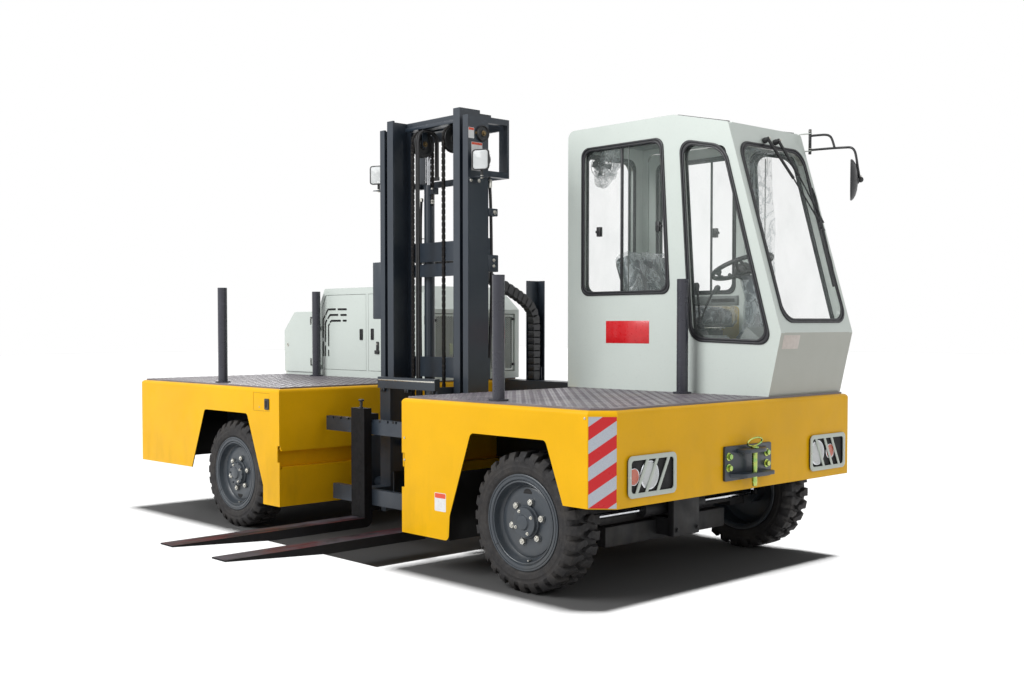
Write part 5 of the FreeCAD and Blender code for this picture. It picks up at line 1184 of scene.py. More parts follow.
class FORKLIFT_OT_dashboard(Builder, bpy.types.Operator):
    """Steering column with its boot, dash, pedals and instruments"""
    bl_idname = "forklift.dashboard"
    bl_label = "Dashboard"

    def build(self):
        shape = Shape(cabin_grey)
        y = WHEEL_CENTRE.y
        column = loft([cross_section(x0, x1, y - half, y + half, z, radius)
                       for x0, x1, half, z, radius in COLUMN_SECTIONS])
        soften(column, 0.004, 2, [e for e in column.edges if e.calc_face_angle(0) > 0.5])
        shape.add(column, dark_vinyl)
        shaft = WHEEL_CENTRE - WHEEL_AXIS * 0.09
        shape.add(drum(0.030, 0.038, 28, 0.003), black_plastic, facing(WHEEL_AXIS, shaft))
        for side, slope in ((-1, 0.5), (1, -0.3)):
            foot = shaft + Vector((0.0, side * 0.03, 0.0))
            tip = shaft + Vector((-0.02 + slope * 0.02, side * 0.155, 0.030))
            shape.add(pipe([foot, (foot + tip) / 2 + Vector((0, 0, 0.012)), tip], 0.006, 3,
                           smooth=True), black_plastic)
            shape.add(ball(0.011, 14, 10), black_plastic, tip)
        profile = [(1.962, 0.985), (1.962, 1.262), (2.000, 1.322), (2.108, 1.246), (2.132, 0.985)]
        dash = slab(profile, 0.651, 0.006)
        shape.add(dash, at=on_plane((0, 1.018, 0), (1, 0, 0), (0, 0, 1)))
        panel = on_plane((1.962, CAB_MIDDLE, 1.262), (0, 1, 0), (0.038, 0, 0.060), (-0.845, 0, 0.535))
        shape.add(slab(rounded(rect(-0.17, 0.008, 0.17, 0.064), 0.012), 0.008, 0.002), black_plastic,
                  panel)
        for place, radius in ((-0.115, 0.024), (0.0, 0.026), (0.115, 0.024)):
            dial = turned([(0.0, 0.0095), (radius * 0.86, 0.0095), (radius * 0.90, 0.012),
                           (radius, 0.012), (radius, 0.0)], 28)
            shape.add(dial, zinc, panel @ Matrix.Translation((place, 0.036, 0)))
            shape.add(drum(radius * 0.85, 0.0005, 28), black_and_painted_shade,
                      panel @ Matrix.Translation((place, 0.036, 0.0096)))
            shape.add(block((-0.001, 0, 0), (0.001, radius * 0.7, 0.0006), 0), label_orange,
                      panel @ Matrix.Translation((place, 0.036, 0.0102)) @
                      Matrix.Rotation(0.8 - 9 * place, 4, "Z"))
        for y_foot in (0.50, 0.885):
            shape.add(block((1.86, y_foot - 0.036, 1.035), (1.874, y_foot + 0.036, 1.125), 0.005),
                      black_plastic)
            shape.add(pipe([(1.872, y_foot, 1.08), (1.93, y_foot, 1.10), (1.97, y_foot, 1.05)], 0.007),
                      black_plastic)
        floor_mat = slab(rounded([(0.765, 0.372), (0.765, 1.013), (1.955, 1.013), (1.955, 0.372)],
                                 0.02), 0.006, 0.002)
        shape.add(floor_mat, gasket_rubber, (0, 0, 0.9815))
        piece = shape.stand("dash_and_column", "chassis", ["dashboard"])

        wrap = Shape(film)
        wrap.add(loft([cross_section(1.772, 1.952, y - 0.078, y + 0.078, 1.27, 0.03),
                       cross_section(1.792, 1.932, y - 0.066, y + 0.070, 1.36, 0.03),
                       cross_section(1.791, 1.925, y - 0.064, y + 0.066, 1.50, 0.03),
                       cross_section(1.770, 1.918, y - 0.070, y + 0.068, 1.59, 0.03)], caps=False))
        crumple(wrap.bm, 0.007, 9.0, 3)
        wrap.stand("column_wrap", "chassis", smooth=math.pi)


def crumple(bm, depth, scale, seed, cuts=2):
    """Push a finer mesh in and out in soft random folds."""
    if cuts:
        bmesh.ops.subdivide_edges(bm, edges=bm.edges, cuts=cuts, use_grid_fill=True)
    bm.normal_update()
    offset = Vector((seed * 7.3, seed * 3.1, seed * 1.7))
    pushes = [(v, v.normal * depth * noise.noise(v.co * scale + offset)) for v in bm.verts]
    for vert, push in pushes:
        vert.co += push


def noise_at(x, y, z):
    """Soft noise from -1 to 1."""
    return noise.noise(Vector((x, y, z)))


def draped(columns, rows, place):
    """A sheet whose points a function of two shares, each from 0 to 1, puts in place."""
    bm = bmesh.new()
    bmesh.ops.create_grid(bm, x_segments=columns, y_segments=rows, size=0.5)
    for vert in bm.verts:
        vert.co = place(vert.co.x + 0.5, vert.co.y + 0.5)
    bmesh.ops.recalc_face_normals(bm, faces=bm.faces)
    return bm


class FORKLIFT_OT_levers(Builder, bpy.types.Operator):
    """Two control levers with knobs in a rubber boot, and the side console"""
    bl_idname = "forklift.levers"
    bl_label = "Control levers"

    def build(self):
        shape = Shape(black_plastic)
        foot = Vector((1.634, 0.450, 1.395))
        console = loft([cross_section(1.50, 1.79, 0.372, 0.535, 0.987, 0.02),
                        cross_section(1.50, 1.79, 0.372, 0.535, 1.255, 0.02),
                        cross_section(1.515, 1.775, 0.384, 0.522, 1.272, 0.02)])
        shape.add(console, cabin_grey)
        shape.add(turned([(0.052, -0.125), (0.046, -0.108), (0.036, -0.100), (0.038, -0.086),
                          (0.026, -0.078), (0.028, -0.062), (0.016, -0.052), (0.014, -0.02),
                          (0.0, -0.02)], 24), gasket_rubber, foot)
        for top in (Vector((1.612, 0.450, 1.545)), Vector((1.732, 0.450, 1.532))):
            start = foot + Vector((0, 0, -0.06))
            shape.add(pipe([start, foot + (top - foot) * 0.45, top], 0.0065, 3, smooth=True))
            knob = [(0.0, 0.052), (0.010, 0.050), (0.0165, 0.042), (0.018, 0.030), (0.0135, 0.010),
                    (0.0095, -0.002), (0.0, -0.002)]
            shape.add(turned(knob, 20), at=facing(top - foot, top - Vector((0, 0, 0.02))))
        piece = shape.stand("lever_sticks", "chassis", ["control_levers"])


class FORKLIFT_OT_cab_trim(Builder, bpy.types.Operator):
    """Fan, headliner and the film that still hangs in the cab"""
    bl_idname = "forklift.cab_trim"
    bl_label = "Cab trim"

    def build(self):
        shape = Shape(cabin_grey)
        shape.add(block((0.757, 0.367, 2.478), (1.535, 1.018, 2.498), 0.006))
        shape.add(block((1.600, 0.372, 2.385), (1.870, 1.013, 2.400), 0.004))
        fan = facing((0.85, -0.35, -0.25), (0.795, 0.56, 2.338))
        for radius in (0.018, 0.040, 0.060, 0.078):
            ring = [(radius * math.cos(a), radius * math.sin(a), 0.030 - radius * radius * 3)
                    for a in round_angles(24)]
            shape.add(pipe(ring, 0.0016, 2, cyclic=True), black_plastic, fan)
        for place in spin_places(10):
            shape.add(pipe([(0.012, 0, 0.030), (0.050, 0, 0.022), (0.078, 0, 0.010)], 0.0014, 2),
                      black_plastic, fan @ place)
        blade = slab([(0.010, -0.010), (0.064, -0.022), (0.068, 0.012), (0.012, 0.010)], 0.0015)
        shape.add(blade, black_plastic, copies=[fan @ place for place in spin_places(4)])
        shape.add(turned([(0.0, 0.020), (0.016, 0.018), (0.020, 0.0), (0.034, -0.020), (0.036, -0.055),
                          (0.026, -0.070), (0.0, -0.072)], 24), black_plastic, fan)
        shape.add(pipe([(0.760, 0.60, 2.44), (0.775, 0.59, 2.40), (0.778, 0.575, 2.36)], 0.008),
                  black_plastic)
        shape.stand("cab_fan_and_headliner", "chassis")
        wraps = Shape(film)
        wraps.add(self.hung_film((1.60, 0.385, 2.385), (1.90, 1.000, 2.385), 0.075, 1))
        wraps.add(self.bag((0.850, 0.56, 2.325), 0.080, 0.15))
        wraps.add(self.pillar_film())
        wraps.stand("hanging_film", "chassis", smooth=math.pi)

    def hung_film(self, low, high, drop, seed):
        """A loose sheet that sags under the headliner."""
        low, high = Vector(low), Vector(high)
        size = high - low

        def place(u, v):
            sag = math.sin(math.pi * u) * (0.5 + 0.5 * noise_at(u * 2, v * 5, seed))
            fold = noise_at(u * 6, v * 14, seed + 4) * 0.014
            return low + Vector((u * size.x, v * size.y, -drop * sag + fold))

        return draped(26, 40, place)

    def pillar_film(self):
        """A loose strip that hangs down the far pillar, narrower towards its foot."""
        def place(u, v):
            fold = noise_at(u * 5, v * 3, 7) * 0.020 + noise_at(u * 9, v * 22, 3) * 0.006
            start = 1.565 + 0.045 * (1 - v)
            wide = 0.19 + 0.03 * noise_at(v * 4, 2, 9)
            return Vector((start + u * wide, 0.985 + fold, 1.300 + v * 1.075))

        return draped(16, 60, place)

    def bag(self, at, radius, length):
        """A crumpled bag round the fan."""
        bm = ball(1.0, 28, 20)
        bm.transform(Matrix.Translation(at) @ Matrix.Rotation(0.5, 4, "Y") @
                     Matrix.Diagonal((radius * 0.75, radius, length, 1)))
        crumple(bm, 0.030, 14.0, 5, 0)
        return bm


# ---- Seat ---------------------------------------------------------------------------------------

VOXEL = 0.006
SETTLING_FRAMES = 20


def swell(piece, pressure, cap):
    """Blow a closed mesh up like a stuffed pad: remesh it, let cloth settle, and keep the result."""
    scene = bpy.context.scene
    bpy.context.view_layer.objects.active = piece
    remesh = piece.modifiers.new("remesh", "REMESH")
    remesh.mode = "VOXEL"
    remesh.voxel_size = VOXEL
    bpy.ops.object.modifier_apply(modifier=remesh.name)
    rest = [v.co.copy() for v in piece.data.vertices]
    cloth = piece.modifiers.new("cloth", "CLOTH")
    cloth.settings.use_pressure = True
    cloth.settings.uniform_pressure_force = pressure
    cloth.settings.quality = 6
    cloth.settings.tension_stiffness = 20
    cloth.settings.compression_stiffness = 20
    cloth.settings.bending_stiffness = 1.5
    cloth.settings.effector_weights.gravity = 0
    cloth.collision_settings.use_collision = False
    cloth.point_cache.frame_start = 1
    cloth.point_cache.frame_end = SETTLING_FRAMES
    for step in range(1, SETTLING_FRAMES + 1):
        scene.frame_set(step)
    graph = bpy.context.evaluated_depsgraph_get()
    blown = piece.evaluated_get(graph).to_mesh()
    places = [v.co.copy() for v in blown.vertices]
    piece.evaluated_get(graph).to_mesh_clear()
    piece.modifiers.remove(cloth)
    scene.frame_set(1)
    for vert, start, end in zip(piece.data.vertices, rest, places):
        move = end - start
        vert.co = start + (move if move.length <= cap else move.normalized() * cap)


def pad(low, high, edge, seams):
    """A cushion's core about its own middle, pulled in a little where its seams run."""
    bm = block(low, high, edge, 4)
    bmesh.ops.subdivide_edges(bm, edges=[e for e in bm.edges if e.calc_length() > 0.06], cuts=7,
                              use_grid_fill=True)
    for vert in bm.verts:
        for at, wide, deep in seams:
            near = max(0.0, 1 - abs(vert.co.y - at) / wide)
            if vert.co.z > 0:
                vert.co.z -= deep * near * near
    return bm


class FORKLIFT_OT_seat(Builder, bpy.types.Operator):
    """Stuffed seat cushion and back rest under loose film, on a shell with slides"""
    bl_idname = "forklift.seat"
    bl_label = "Seat"

    def build(self):
        middle = Vector((0, CAB_MIDDLE, 0))
        cushion_place = (Matrix.Translation(middle + Vector((1.318, 0, 1.372))) @
                         Matrix.Rotation(math.radians(-3), 4, "Y"))
        back_place = (Matrix.Translation(middle + Vector((1.075, 0, 1.600))) @
                      Matrix.Rotation(math.radians(-19.5), 4, "Y") @
                      Matrix.Rotation(math.radians(90), 4, "Y"))
        for name, place, size, lip in (
                ("seat_cushion", cushion_place, (0.235, 0.215, 0.040), 0.024),
                ("seat_back", back_place, (0.165, 0.205, 0.036), 0.020)):
            bm = pad([-n for n in size], size, 0.022, seams=((0.10, 0.03, lip), (-0.10, 0.03, lip)))
            shape = Shape(dark_vinyl)
            shape.add(bm, at=place)
            piece = shape.stand(name, None, smooth=math.pi)
            swell(piece, 4.0, 0.022)
            refine = piece.modifiers.new("refine", "SUBSURF")
            refine.levels = refine.render_levels = 1
            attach(piece, "chassis")
            if name == "seat_cushion":
                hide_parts("seat")
            piece.data.polygons.foreach_set("use_smooth", [True] * len(piece.data.polygons))
        self.shell(cushion_place, back_place)
        self.covers(cushion_place, back_place)

    def shell(self, cushion, back):
        """Moulded pans behind and under the pads, slides and side bolsters' piping."""
        shape = Shape(black_plastic)
        pan = slab(rounded(rect(-0.245, -0.225, 0.245, 0.225), 0.05), 0.020, 0.006)
        shape.add(pan, at=cushion @ Matrix.Translation((0, 0, -0.064)))
        rest = slab(rounded(rect(-0.175, -0.212, 0.180, 0.212), 0.06), 0.018, 0.006)
        shape.add(rest, at=back @ Matrix.Translation((0, 0, -0.058)))
        for y in (0.545, 0.840):
            shape.add(block((1.10, y - 0.014, 1.300), (1.50, y + 0.014, 1.322), 0.003), zinc)
            shape.add(pipe([(1.13, y, 1.33), (1.085, y, 1.40), (1.07, y, 1.47)], 0.010, 3))
        shape.add(pipe([(1.555, 0.80, 1.315), (1.575, 0.69, 1.312), (1.555, 0.58, 1.315)], 0.006, 3,
                       smooth=True), zinc)
        shape.stand("seat_shell", "chassis")

    def covers(self, cushion, back):
        """Loose film over the pads."""
        shape = Shape(film)
        for place, size, seed in ((cushion, (0.262, 0.240, 0.060), 2),
                                  (back, (0.190, 0.228, 0.055), 6)):
            bm = block([-n for n in size], size, 0.045, 4)
            bmesh.ops.subdivide_edges(bm, edges=[e for e in bm.edges if e.calc_length() > 0.05],
                                      cuts=12, use_grid_fill=True)
            crumple(bm, 0.014, 11.0, seed, 0)
            crumple(bm, 0.006, 30.0, seed + 1, 0)
            shape.add(bm, at=place)
        shape.stand("seat_film", "chassis", smooth=math.pi)


# ---- Mirror and wiper ---------------------------------------------------------------------------

class FORKLIFT_OT_mirror(Builder, bpy.types.Operator):
    """Round mirror on two bent arms"""
    bl_idname = "forklift.mirror"
    bl_label = "Mirror"

    def build(self):
        shape = Shape(black_plastic)
        post = Vector((1.948, 1.080, 0))
        for z in (2.351, 2.453):
            tab = slab(rounded([(1.890, 1.050), (1.890, 1.074), (1.955, 1.093), (1.963, 1.072)], 0.008),
                       0.005, 0.001)
            shape.add(tab, cab_enamel, (0, 0, z - 0.0025))
            shape.add(bolt(0.013, 0.006), zinc, (post.x, post.y, z + 0.0125))
        shape.add(drum(0.0088, 0.146, 20, 0.002), at=(post.x, post.y, 2.332))
        y = 1.120
        long_arm = [(1.948, 1.080, 2.357), (2.06, 1.103, 2.357), (2.150, y, 2.354), (2.190, y, 2.351),
                    (2.212, y, 2.330), (2.222, y, 2.290), (2.232, y, 2.225), (2.243, y, 2.172)]
        short_arm = [(1.948, 1.080, 2.440), (2.000, 1.092, 2.440), (2.040, 1.100, 2.439),
                     (2.066, 1.104, 2.428), (2.080, 1.106, 2.400), (2.092, 1.106, 2.357)]
        for points in (long_arm, short_arm):
            shape.add(pipe(points, 0.0068, 4, smooth=True, steps=5))
        out = Vector((0.87, 0.49, 0)).normalized()
        at = Vector((2.203, 1.120, 2.163))
        back = [(0.0, 0.034), (0.020, 0.033), (0.026, 0.026), (0.060, 0.022), (0.092, 0.013),
                (0.110, 0.002), (0.1175, -0.006), (0.1180, -0.012), (0.1150, -0.0155), (0.1125, -0.015),
                (0.1120, -0.012)]
        shape.add(turned(back, 48), at=facing(out, at))
        glass = [(0.0, -0.0165), (0.050, -0.0158), (0.090, -0.0138), (0.1122, -0.0115),
                 (0.1122, -0.010), (0.0, -0.010)]
        shape.add(turned(glass, 48), mirror_glass, facing(out, at))
        shape.add(ball(0.017, 18, 12), at=at + out * 0.040)
        shape.add(bolt(0.012, 0.006), zinc, facing((0, 0, 1), at + out * 0.040 + Vector((0, 0, 0.014))))
        piece = shape.stand("round_mirror", "chassis", ["mirror"])


class FORKLIFT_OT_wiper(Builder, bpy.types.Operator):
    """Wiper with two parallel arms and a sprung blade"""
    bl_idname = "forklift.wiper"
    bl_label = "Wiper"

    def build(self):
        shape = Shape(black_plastic)
        out = on_screen().to_3x3() @ Vector((0, 0, 1))
        for y, tip in ((0.632, Vector((2.103, 0.990, 1.872))), (0.738, Vector((2.090, 1.000, 1.918)))):
            foot = Vector((1.930, y, 2.368))
            shape.add(turned([(0.0, 0.040), (0.008, 0.039), (0.0125, 0.034), (0.0135, 0.020),
                              (0.0165, 0.014), (0.0165, 0.0), (0.0, 0.0)], 20), at=facing(out, foot))
            start = foot + out * 0.028
            elbow = start.lerp(tip, 0.42) + out * 0.006
            arm = pipe([start, elbow], 0.0085, 2)
            shape.add(arm)
            shape.add(pipe([elbow, tip], 0.0042, 3))
            shape.add(ball(0.009, 14, 10), at=elbow)
            shape.add(drum(0.007, 0.004, 12, 0.001), zinc, facing(out, foot + out * 0.040))
        top, bottom = Vector((2.022, 0.962, 2.175)), Vector((2.206, 0.943, 1.552))
        line = bottom - top
        side = line.cross(out).normalized()
        for share, half in ((0.5, 0.36), (0.22, 0.13), (0.78, 0.13)):
            low, high = top + line * (share - half), top + line * (share + half)
            middle = (low + high) / 2 + out * 0.014
            shape.add(pipe([low, middle, high], 0.0035, 2, smooth=True))
        squeegee = slab(rect(0, -0.004, line.length, 0.004), 0.012, 0.001)
        shape.add(squeegee, gasket_rubber, on_plane(top - out * 0.010, line, side))
        clip = block((-0.020, -0.009, -0.004), (0.020, 0.009, 0.014), 0.003)
        shape.add(clip, at=on_plane(top + line * 0.44 + out * 0.004, line, side))
        piece = shape.stand("screen_wiper", "chassis", ["wiper"])


# ---- Front of the body --------------------------------------------------------------------------

FRONT = HALF_LENGTH


def on_front(out=0.0):
    """Outlines in Y and Z on the front plate, looking along +X."""
    return on_plane((FRONT + out, 0, 0), (0, 1, 0), (0, 0, 1))


class FORKLIFT_OT_lamps(Builder, bpy.types.Operator):
    """Two lamp groups on the front plate behind slanted guard bars"""
    bl_idname = "forklift.lamps"
    bl_label = "Front lamps"

    def build(self):
        guards, lamps = Shape(guard_paint), Shape(black_plastic)
        for near, far, lean in ((-0.905, -0.542, 1), (0.655, 1.018, -1)):
            self.guard(guards, near, far, lean)
            clear, amber = (-0.738, -0.857) if lean > 0 else (0.738, 0.868)
            self.lamp(lamps, clear, clear_lens, 0.070)
            self.lamp(lamps, amber, amber_lens, 0.042)
            # Painted shade: a thin black sheet round each lamp group stands for its recess.
            painted_pocket_shade = slab(rounded(rect(near + 0.012, 0.532, far - 0.012, 0.708), 0.018), 0.0015)
            lamps.add(painted_pocket_shade, black_and_painted_shade, on_front(0.0005))
        piece = guards.stand("barred_lamp_guards", "chassis", ["lamp_guards"])
        piece = lamps.stand("front_lamps", "chassis", ["headlamps"])

    def guard(self, shape, near, far, lean):
        """A flat frame with round corners and three slanted bars, and its screws."""
        corners = rect(near, 0.520, far, 0.720)
        outer, inner = rounded(corners, 0.030, 8), rounded(corners, 0.018, 8, 0.023)
        shape.add(hoop(outer, inner, 0.005, 0.0015), guard_paint, on_front(0.009))
        edge = rounded(corners, 0.028, 8, 0.010)
        shape.add(hoop(rounded(corners, 0.028, 8, 0.006), edge, 0.010, 0.001), black_and_painted_shade, on_front())
        width = far - near
        for share in (0.16, 0.36, 0.60):
            foot = (near + width * share) if lean > 0 else (far - width * share)
            bar = block((-0.0095, 0, -0.0025), (0.0095, 0.192, 0.0025), 0.002)
            turn = Matrix.Rotation(-lean * math.atan2(0.090, 0.172), 4, "Z")
            shape.add(bar, guard_paint, on_front(0.0105) @ Matrix.Translation((foot, 0.533, 0)) @ turn)
        for y in (near + 0.012, far - 0.012):
            shape.add(drum(0.0050, 0.003, 14, 0.001), zinc, on_front(0.0135) @
                      Matrix.Translation((y, 0.620, 0)))

    def lamp(self, shape, y, glass, radius):
        """A round lamp in its rim, with a domed lens."""
        place = on_front(0.002) @ Matrix.Translation((y, 0.620, 0))
        rim = [(radius * 0.90, 0.0), (radius, 0.0), (radius * 1.01, 0.003), (radius * 0.97, 0.0052),
               (radius * 0.91, 0.0055), (radius * 0.89, 0.0040)]
        shape.add(turned(rim, 40, closed=True), chrome, place)
        dome = [(0.0, 0.0075), (radius * 0.4, 0.0070), (radius * 0.7, 0.0058), (radius * 0.9, 0.0040),
                (radius * 0.9, 0.001), (0.0, 0.001)]
        shape.add(turned(dome, 40), glass, place)


class FORKLIFT_OT_hitch(Builder, bpy.types.Operator):
    """Tow hitch: plate, two wide lugs, bolts and a drop pin with a ring for a handle"""
    bl_idname = "forklift.hitch"
    bl_label = "Tow hitch"

    def build(self):
        shape = Shape(slate_paint)
        plate = slab(rounded(rect(-0.145, 0.535, 0.269, 0.713), 0.010, 4), 0.014, 0.002)
        shape.add(plate, at=on_front())
        for y, z in ((-0.114, 0.661), (-0.114, 0.603), (0.223, 0.661), (0.223, 0.603)):
            shape.add(bolt(0.026, 0.015), yellow_zinc, on_front(0.014) @ Matrix.Translation((y, z, 0)))
        lugs = ((0.552, (-0.110, 0.232, -0.060, 0.215)), (0.676, (-0.050, 0.232, -0.030, 0.130)))
        for z, (back_low, back_high, low, high) in lugs:
            corners = [(0.0, back_low), (0.080, low), (0.080, high), (0.0, back_high)]
            shape.add(slab(rounded(corners, 0.022, 8), 0.020, 0.003), at=(FRONT, 0.0, z))
        x, y = FRONT + 0.050, 0.062
        shape.add(drum(0.0138, 0.196, 24, 0.004), yellow_zinc, (x, y, 0.500))
        shape.add(drum(0.021, 0.0085, 24, 0.002), yellow_zinc, (x, y, 0.6965))
        loop = [(0.012 * math.cos(a), 0.064 * math.sin(a), 0.022 + 0.024 * math.cos(a))
                for a in round_angles(12)]
        shape.add(pipe(loop, 0.0048, 3, cyclic=True, smooth=True), yellow_zinc, (x, y, 0.7070))
        shape.add(pipe([(x, y - 0.018, 0.522), (x + 0.010, y - 0.004, 0.517),
                        (x + 0.010, y + 0.012, 0.525), (x - 0.004, y + 0.024, 0.519)], 0.0022, 3,
                       smooth=True), yellow_zinc)
        piece = shape.stand("hitch_with_pin", "chassis", ["tow_hitch"])


AXLE_PLATES = [((1.850, -0.120, 0.205), (1.890, 0.105, 0.470), 0.004),
               ((1.720, -0.105, 0.205), (1.850, -0.090, 0.300), 0.003),
               ((1.720, 0.075, 0.205), (1.850, 0.090, 0.300), 0.003),
               ((1.700, -0.520, 0.178), (1.760, 0.520, 0.285), 0.006),
               ((1.585, -0.600, 0.405), (1.600, 0.600, 0.640), 0.003),
               ((1.600, -0.500, 0.190), (1.700, 0.500, 0.302), 0.006),]


class FORKLIFT_OT_underbody(Builder, bpy.types.Operator):
    """Black axle mount and cross plates round the steering axle"""
    bl_idname = "forklift.underbody"
    bl_label = "Axle mounts"

    def build(self):
        shape = Shape(axle_paint)
        for low, high, edge in AXLE_PLATES:
            shape.add(block(low, high, edge))
        for y in (-0.44, -0.30, 0.30, 0.44):
            shape.add(block((1.600, y - 0.006, 0.400), (1.700, y + 0.006, 0.560), 0.002))
        for y in (-0.095, 0.080):
            for z in (0.240, 0.420):
                shape.add(bolt(0.018, 0.010), at=facing((1, 0, 0), (1.890, y, z)))
        hose = [(1.880, 0.020, 0.470), (1.905, 0.060, 0.440), (1.900, 0.150, 0.420),
                (1.840, 0.240, 0.425), (1.790, 0.300, 0.400)]
        shape.add(pipe(hose, 0.008, 3, smooth=True), hose_rubber)
        shape.stand("axle_mounts", "chassis")


class FORKLIFT_OT_body_details(Builder, bpy.types.Operator):
    """Reflective corner panel, blank label, flap latch and fasteners of the bodies"""
    bl_idname = "forklift.body_details"
    bl_label = "Body details"

    def build(self):
        shape = Shape(hazard_stripes)
        foot = Vector((FRONT - 0.098, -HALF_WIDTH, 0.478))
        across = Vector((0.098, 0.098, 0))
        outward = Vector((1, -1, 0)).normalized()
        place = on_plane(foot + outward * 0.0002, across, (0, 0, 1), outward)
        wide = across.length
        panel = slab(rect(0.004, 0.004, wide - 0.004, 0.430), 0.0006)
        shape.add(panel, at=place)
        shape.stand("corner_stripes", "chassis")

        labels = Shape(label_white)
        side_wall = on_near(-HALF_WIDTH)
        labels.add(slab(rounded(rect(1.043, 0.349, 1.132, 0.447), 0.006, 3), 0.0006), at=side_wall)
        labels.add(slab(rounded(rect(1.046, 0.419, 1.129, 0.444), 0.004, 3), 0.0009), label_orange,
                   side_wall)
        labels.stand("leg_blank_label", "chassis")

        flap = Shape(black_plastic)
        flap.add(slab(rounded(rect(-0.584, 0.802, -0.534, 0.872), 0.008), 0.006, 0.002), at=side_wall)
        flap.add(slab(rounded(rect(-0.576, 0.814, -0.556, 0.860), 0.006), 0.008, 0.002), black_and_painted_shade,
                 side_wall)
        flap.add(drum(0.0045, 0.003, 14, 0.001), zinc, facing((0, -1, 0), (-0.645, -HALF_WIDTH, 0.815)))
        flap.stand("flap_latch", "filler_flap")

        trim = Shape(body_yellow)
        for x, z in ((0.795, 0.72), (0.795, 0.60), (2.10, 0.90)):
            trim.add(drum(0.006, 0.003, 16, 0.001), zinc, facing((0, -1, 0), (x, -HALF_WIDTH, z)))
        trim.stand("body_screws", "chassis")


# ---- Decks --------------------------------------------------------------------------------------

FRONT_DECK = (0.7965, 2.189, 1.040)
REAR_DECK = (-2.189, -0.4505, 1.040)
BARE_SPOTS = [(-1.275, -0.950), (1.420, -0.960), (-1.672, 0.115), (1.664, 0.246)]


class FORKLIFT_OT_deck_tread(Builder, bpy.types.Operator):
    """Raised lugs of the deck plates, as real bumps"""
    bl_idname = "forklift.deck_tread"
    bl_label = "Deck tread"

    def build(self):
        self.tread("front_deck_tread", FRONT_DECK, [(0.712, 2.178, 0.322, 1.07)])
        self.tread("rear_deck_tread", REAR_DECK, [(-2.21, -0.42, 0.172, 1.07)])

    def tread(self, name, deck, covered):
        """Lugs in two directions all over a deck, but not under what stands on it."""
        looks = settings()
        pitch, high = looks.tread_pitch, looks.tread_height
        rear, front, half = deck
        lug = slab([(-0.0125, 0), (-0.006, -0.0028), (0.006, -0.0028), (0.0125, 0), (0.006, 0.0028),
                    (-0.006, 0.0028)], high)
        tops = [v for v in lug.verts if v.co.z > high / 2]
        bmesh.ops.scale(lug, vec=(0.72, 0.45, 1), verts=tops)
        bottom = [f for f in lug.faces if f.normal.z < -0.9]
        bmesh.ops.delete(lug, geom=bottom, context="FACES_ONLY")
        template = bpy.data.meshes.new("lug")
        lug.to_mesh(template)
        lug.free()
        shape = Shape(deck_steel)
        columns, rows = int((front - rear) / pitch), int(2 * half / pitch)
        for i in range(columns):
            for j in range(rows):
                x, y = rear + (i + 0.5) * pitch, -half + (j + 0.5) * pitch
                if self.hidden(x, y, covered) or front > 0 and x - y > FRONT + HALF_WIDTH - 0.150:
                    continue
                turn = math.pi / 4 if (i + j) % 2 else -math.pi / 4
                place = Matrix.Translation((x, y, DECK_TOP)) @ Matrix.Rotation(turn, 4, "Z")
                template.transform(place)
                shape.bm.from_mesh(template)
                template.transform(place.inverted())
        bpy.data.meshes.remove(template)
        piece = shape.stand(name, "chassis")

    def hidden(self, x, y, covered):
        """Whether a spot lies under a cab, a housing or a post's flange."""
        if any(x0 < x < x1 and y0 < y < y1 for x0, x1, y0, y1 in covered):
            return True
        return any((x - px) ** 2 + (y - py) ** 2 < 0.066 ** 2 for px, py in BARE_SPOTS)


# ---- Mast -----------------------------------------------------------------------------------------

UPRIGHT_FACE = {-1: -0.242, 1: 0.588}
SHEAVE_X = (0.028, 0.318)
SHEAVE_Y, SHEAVE_Z = -0.271, 2.475
LIFT_X = (-0.027, 0.373)
CHAIN_PITCH = 0.0190


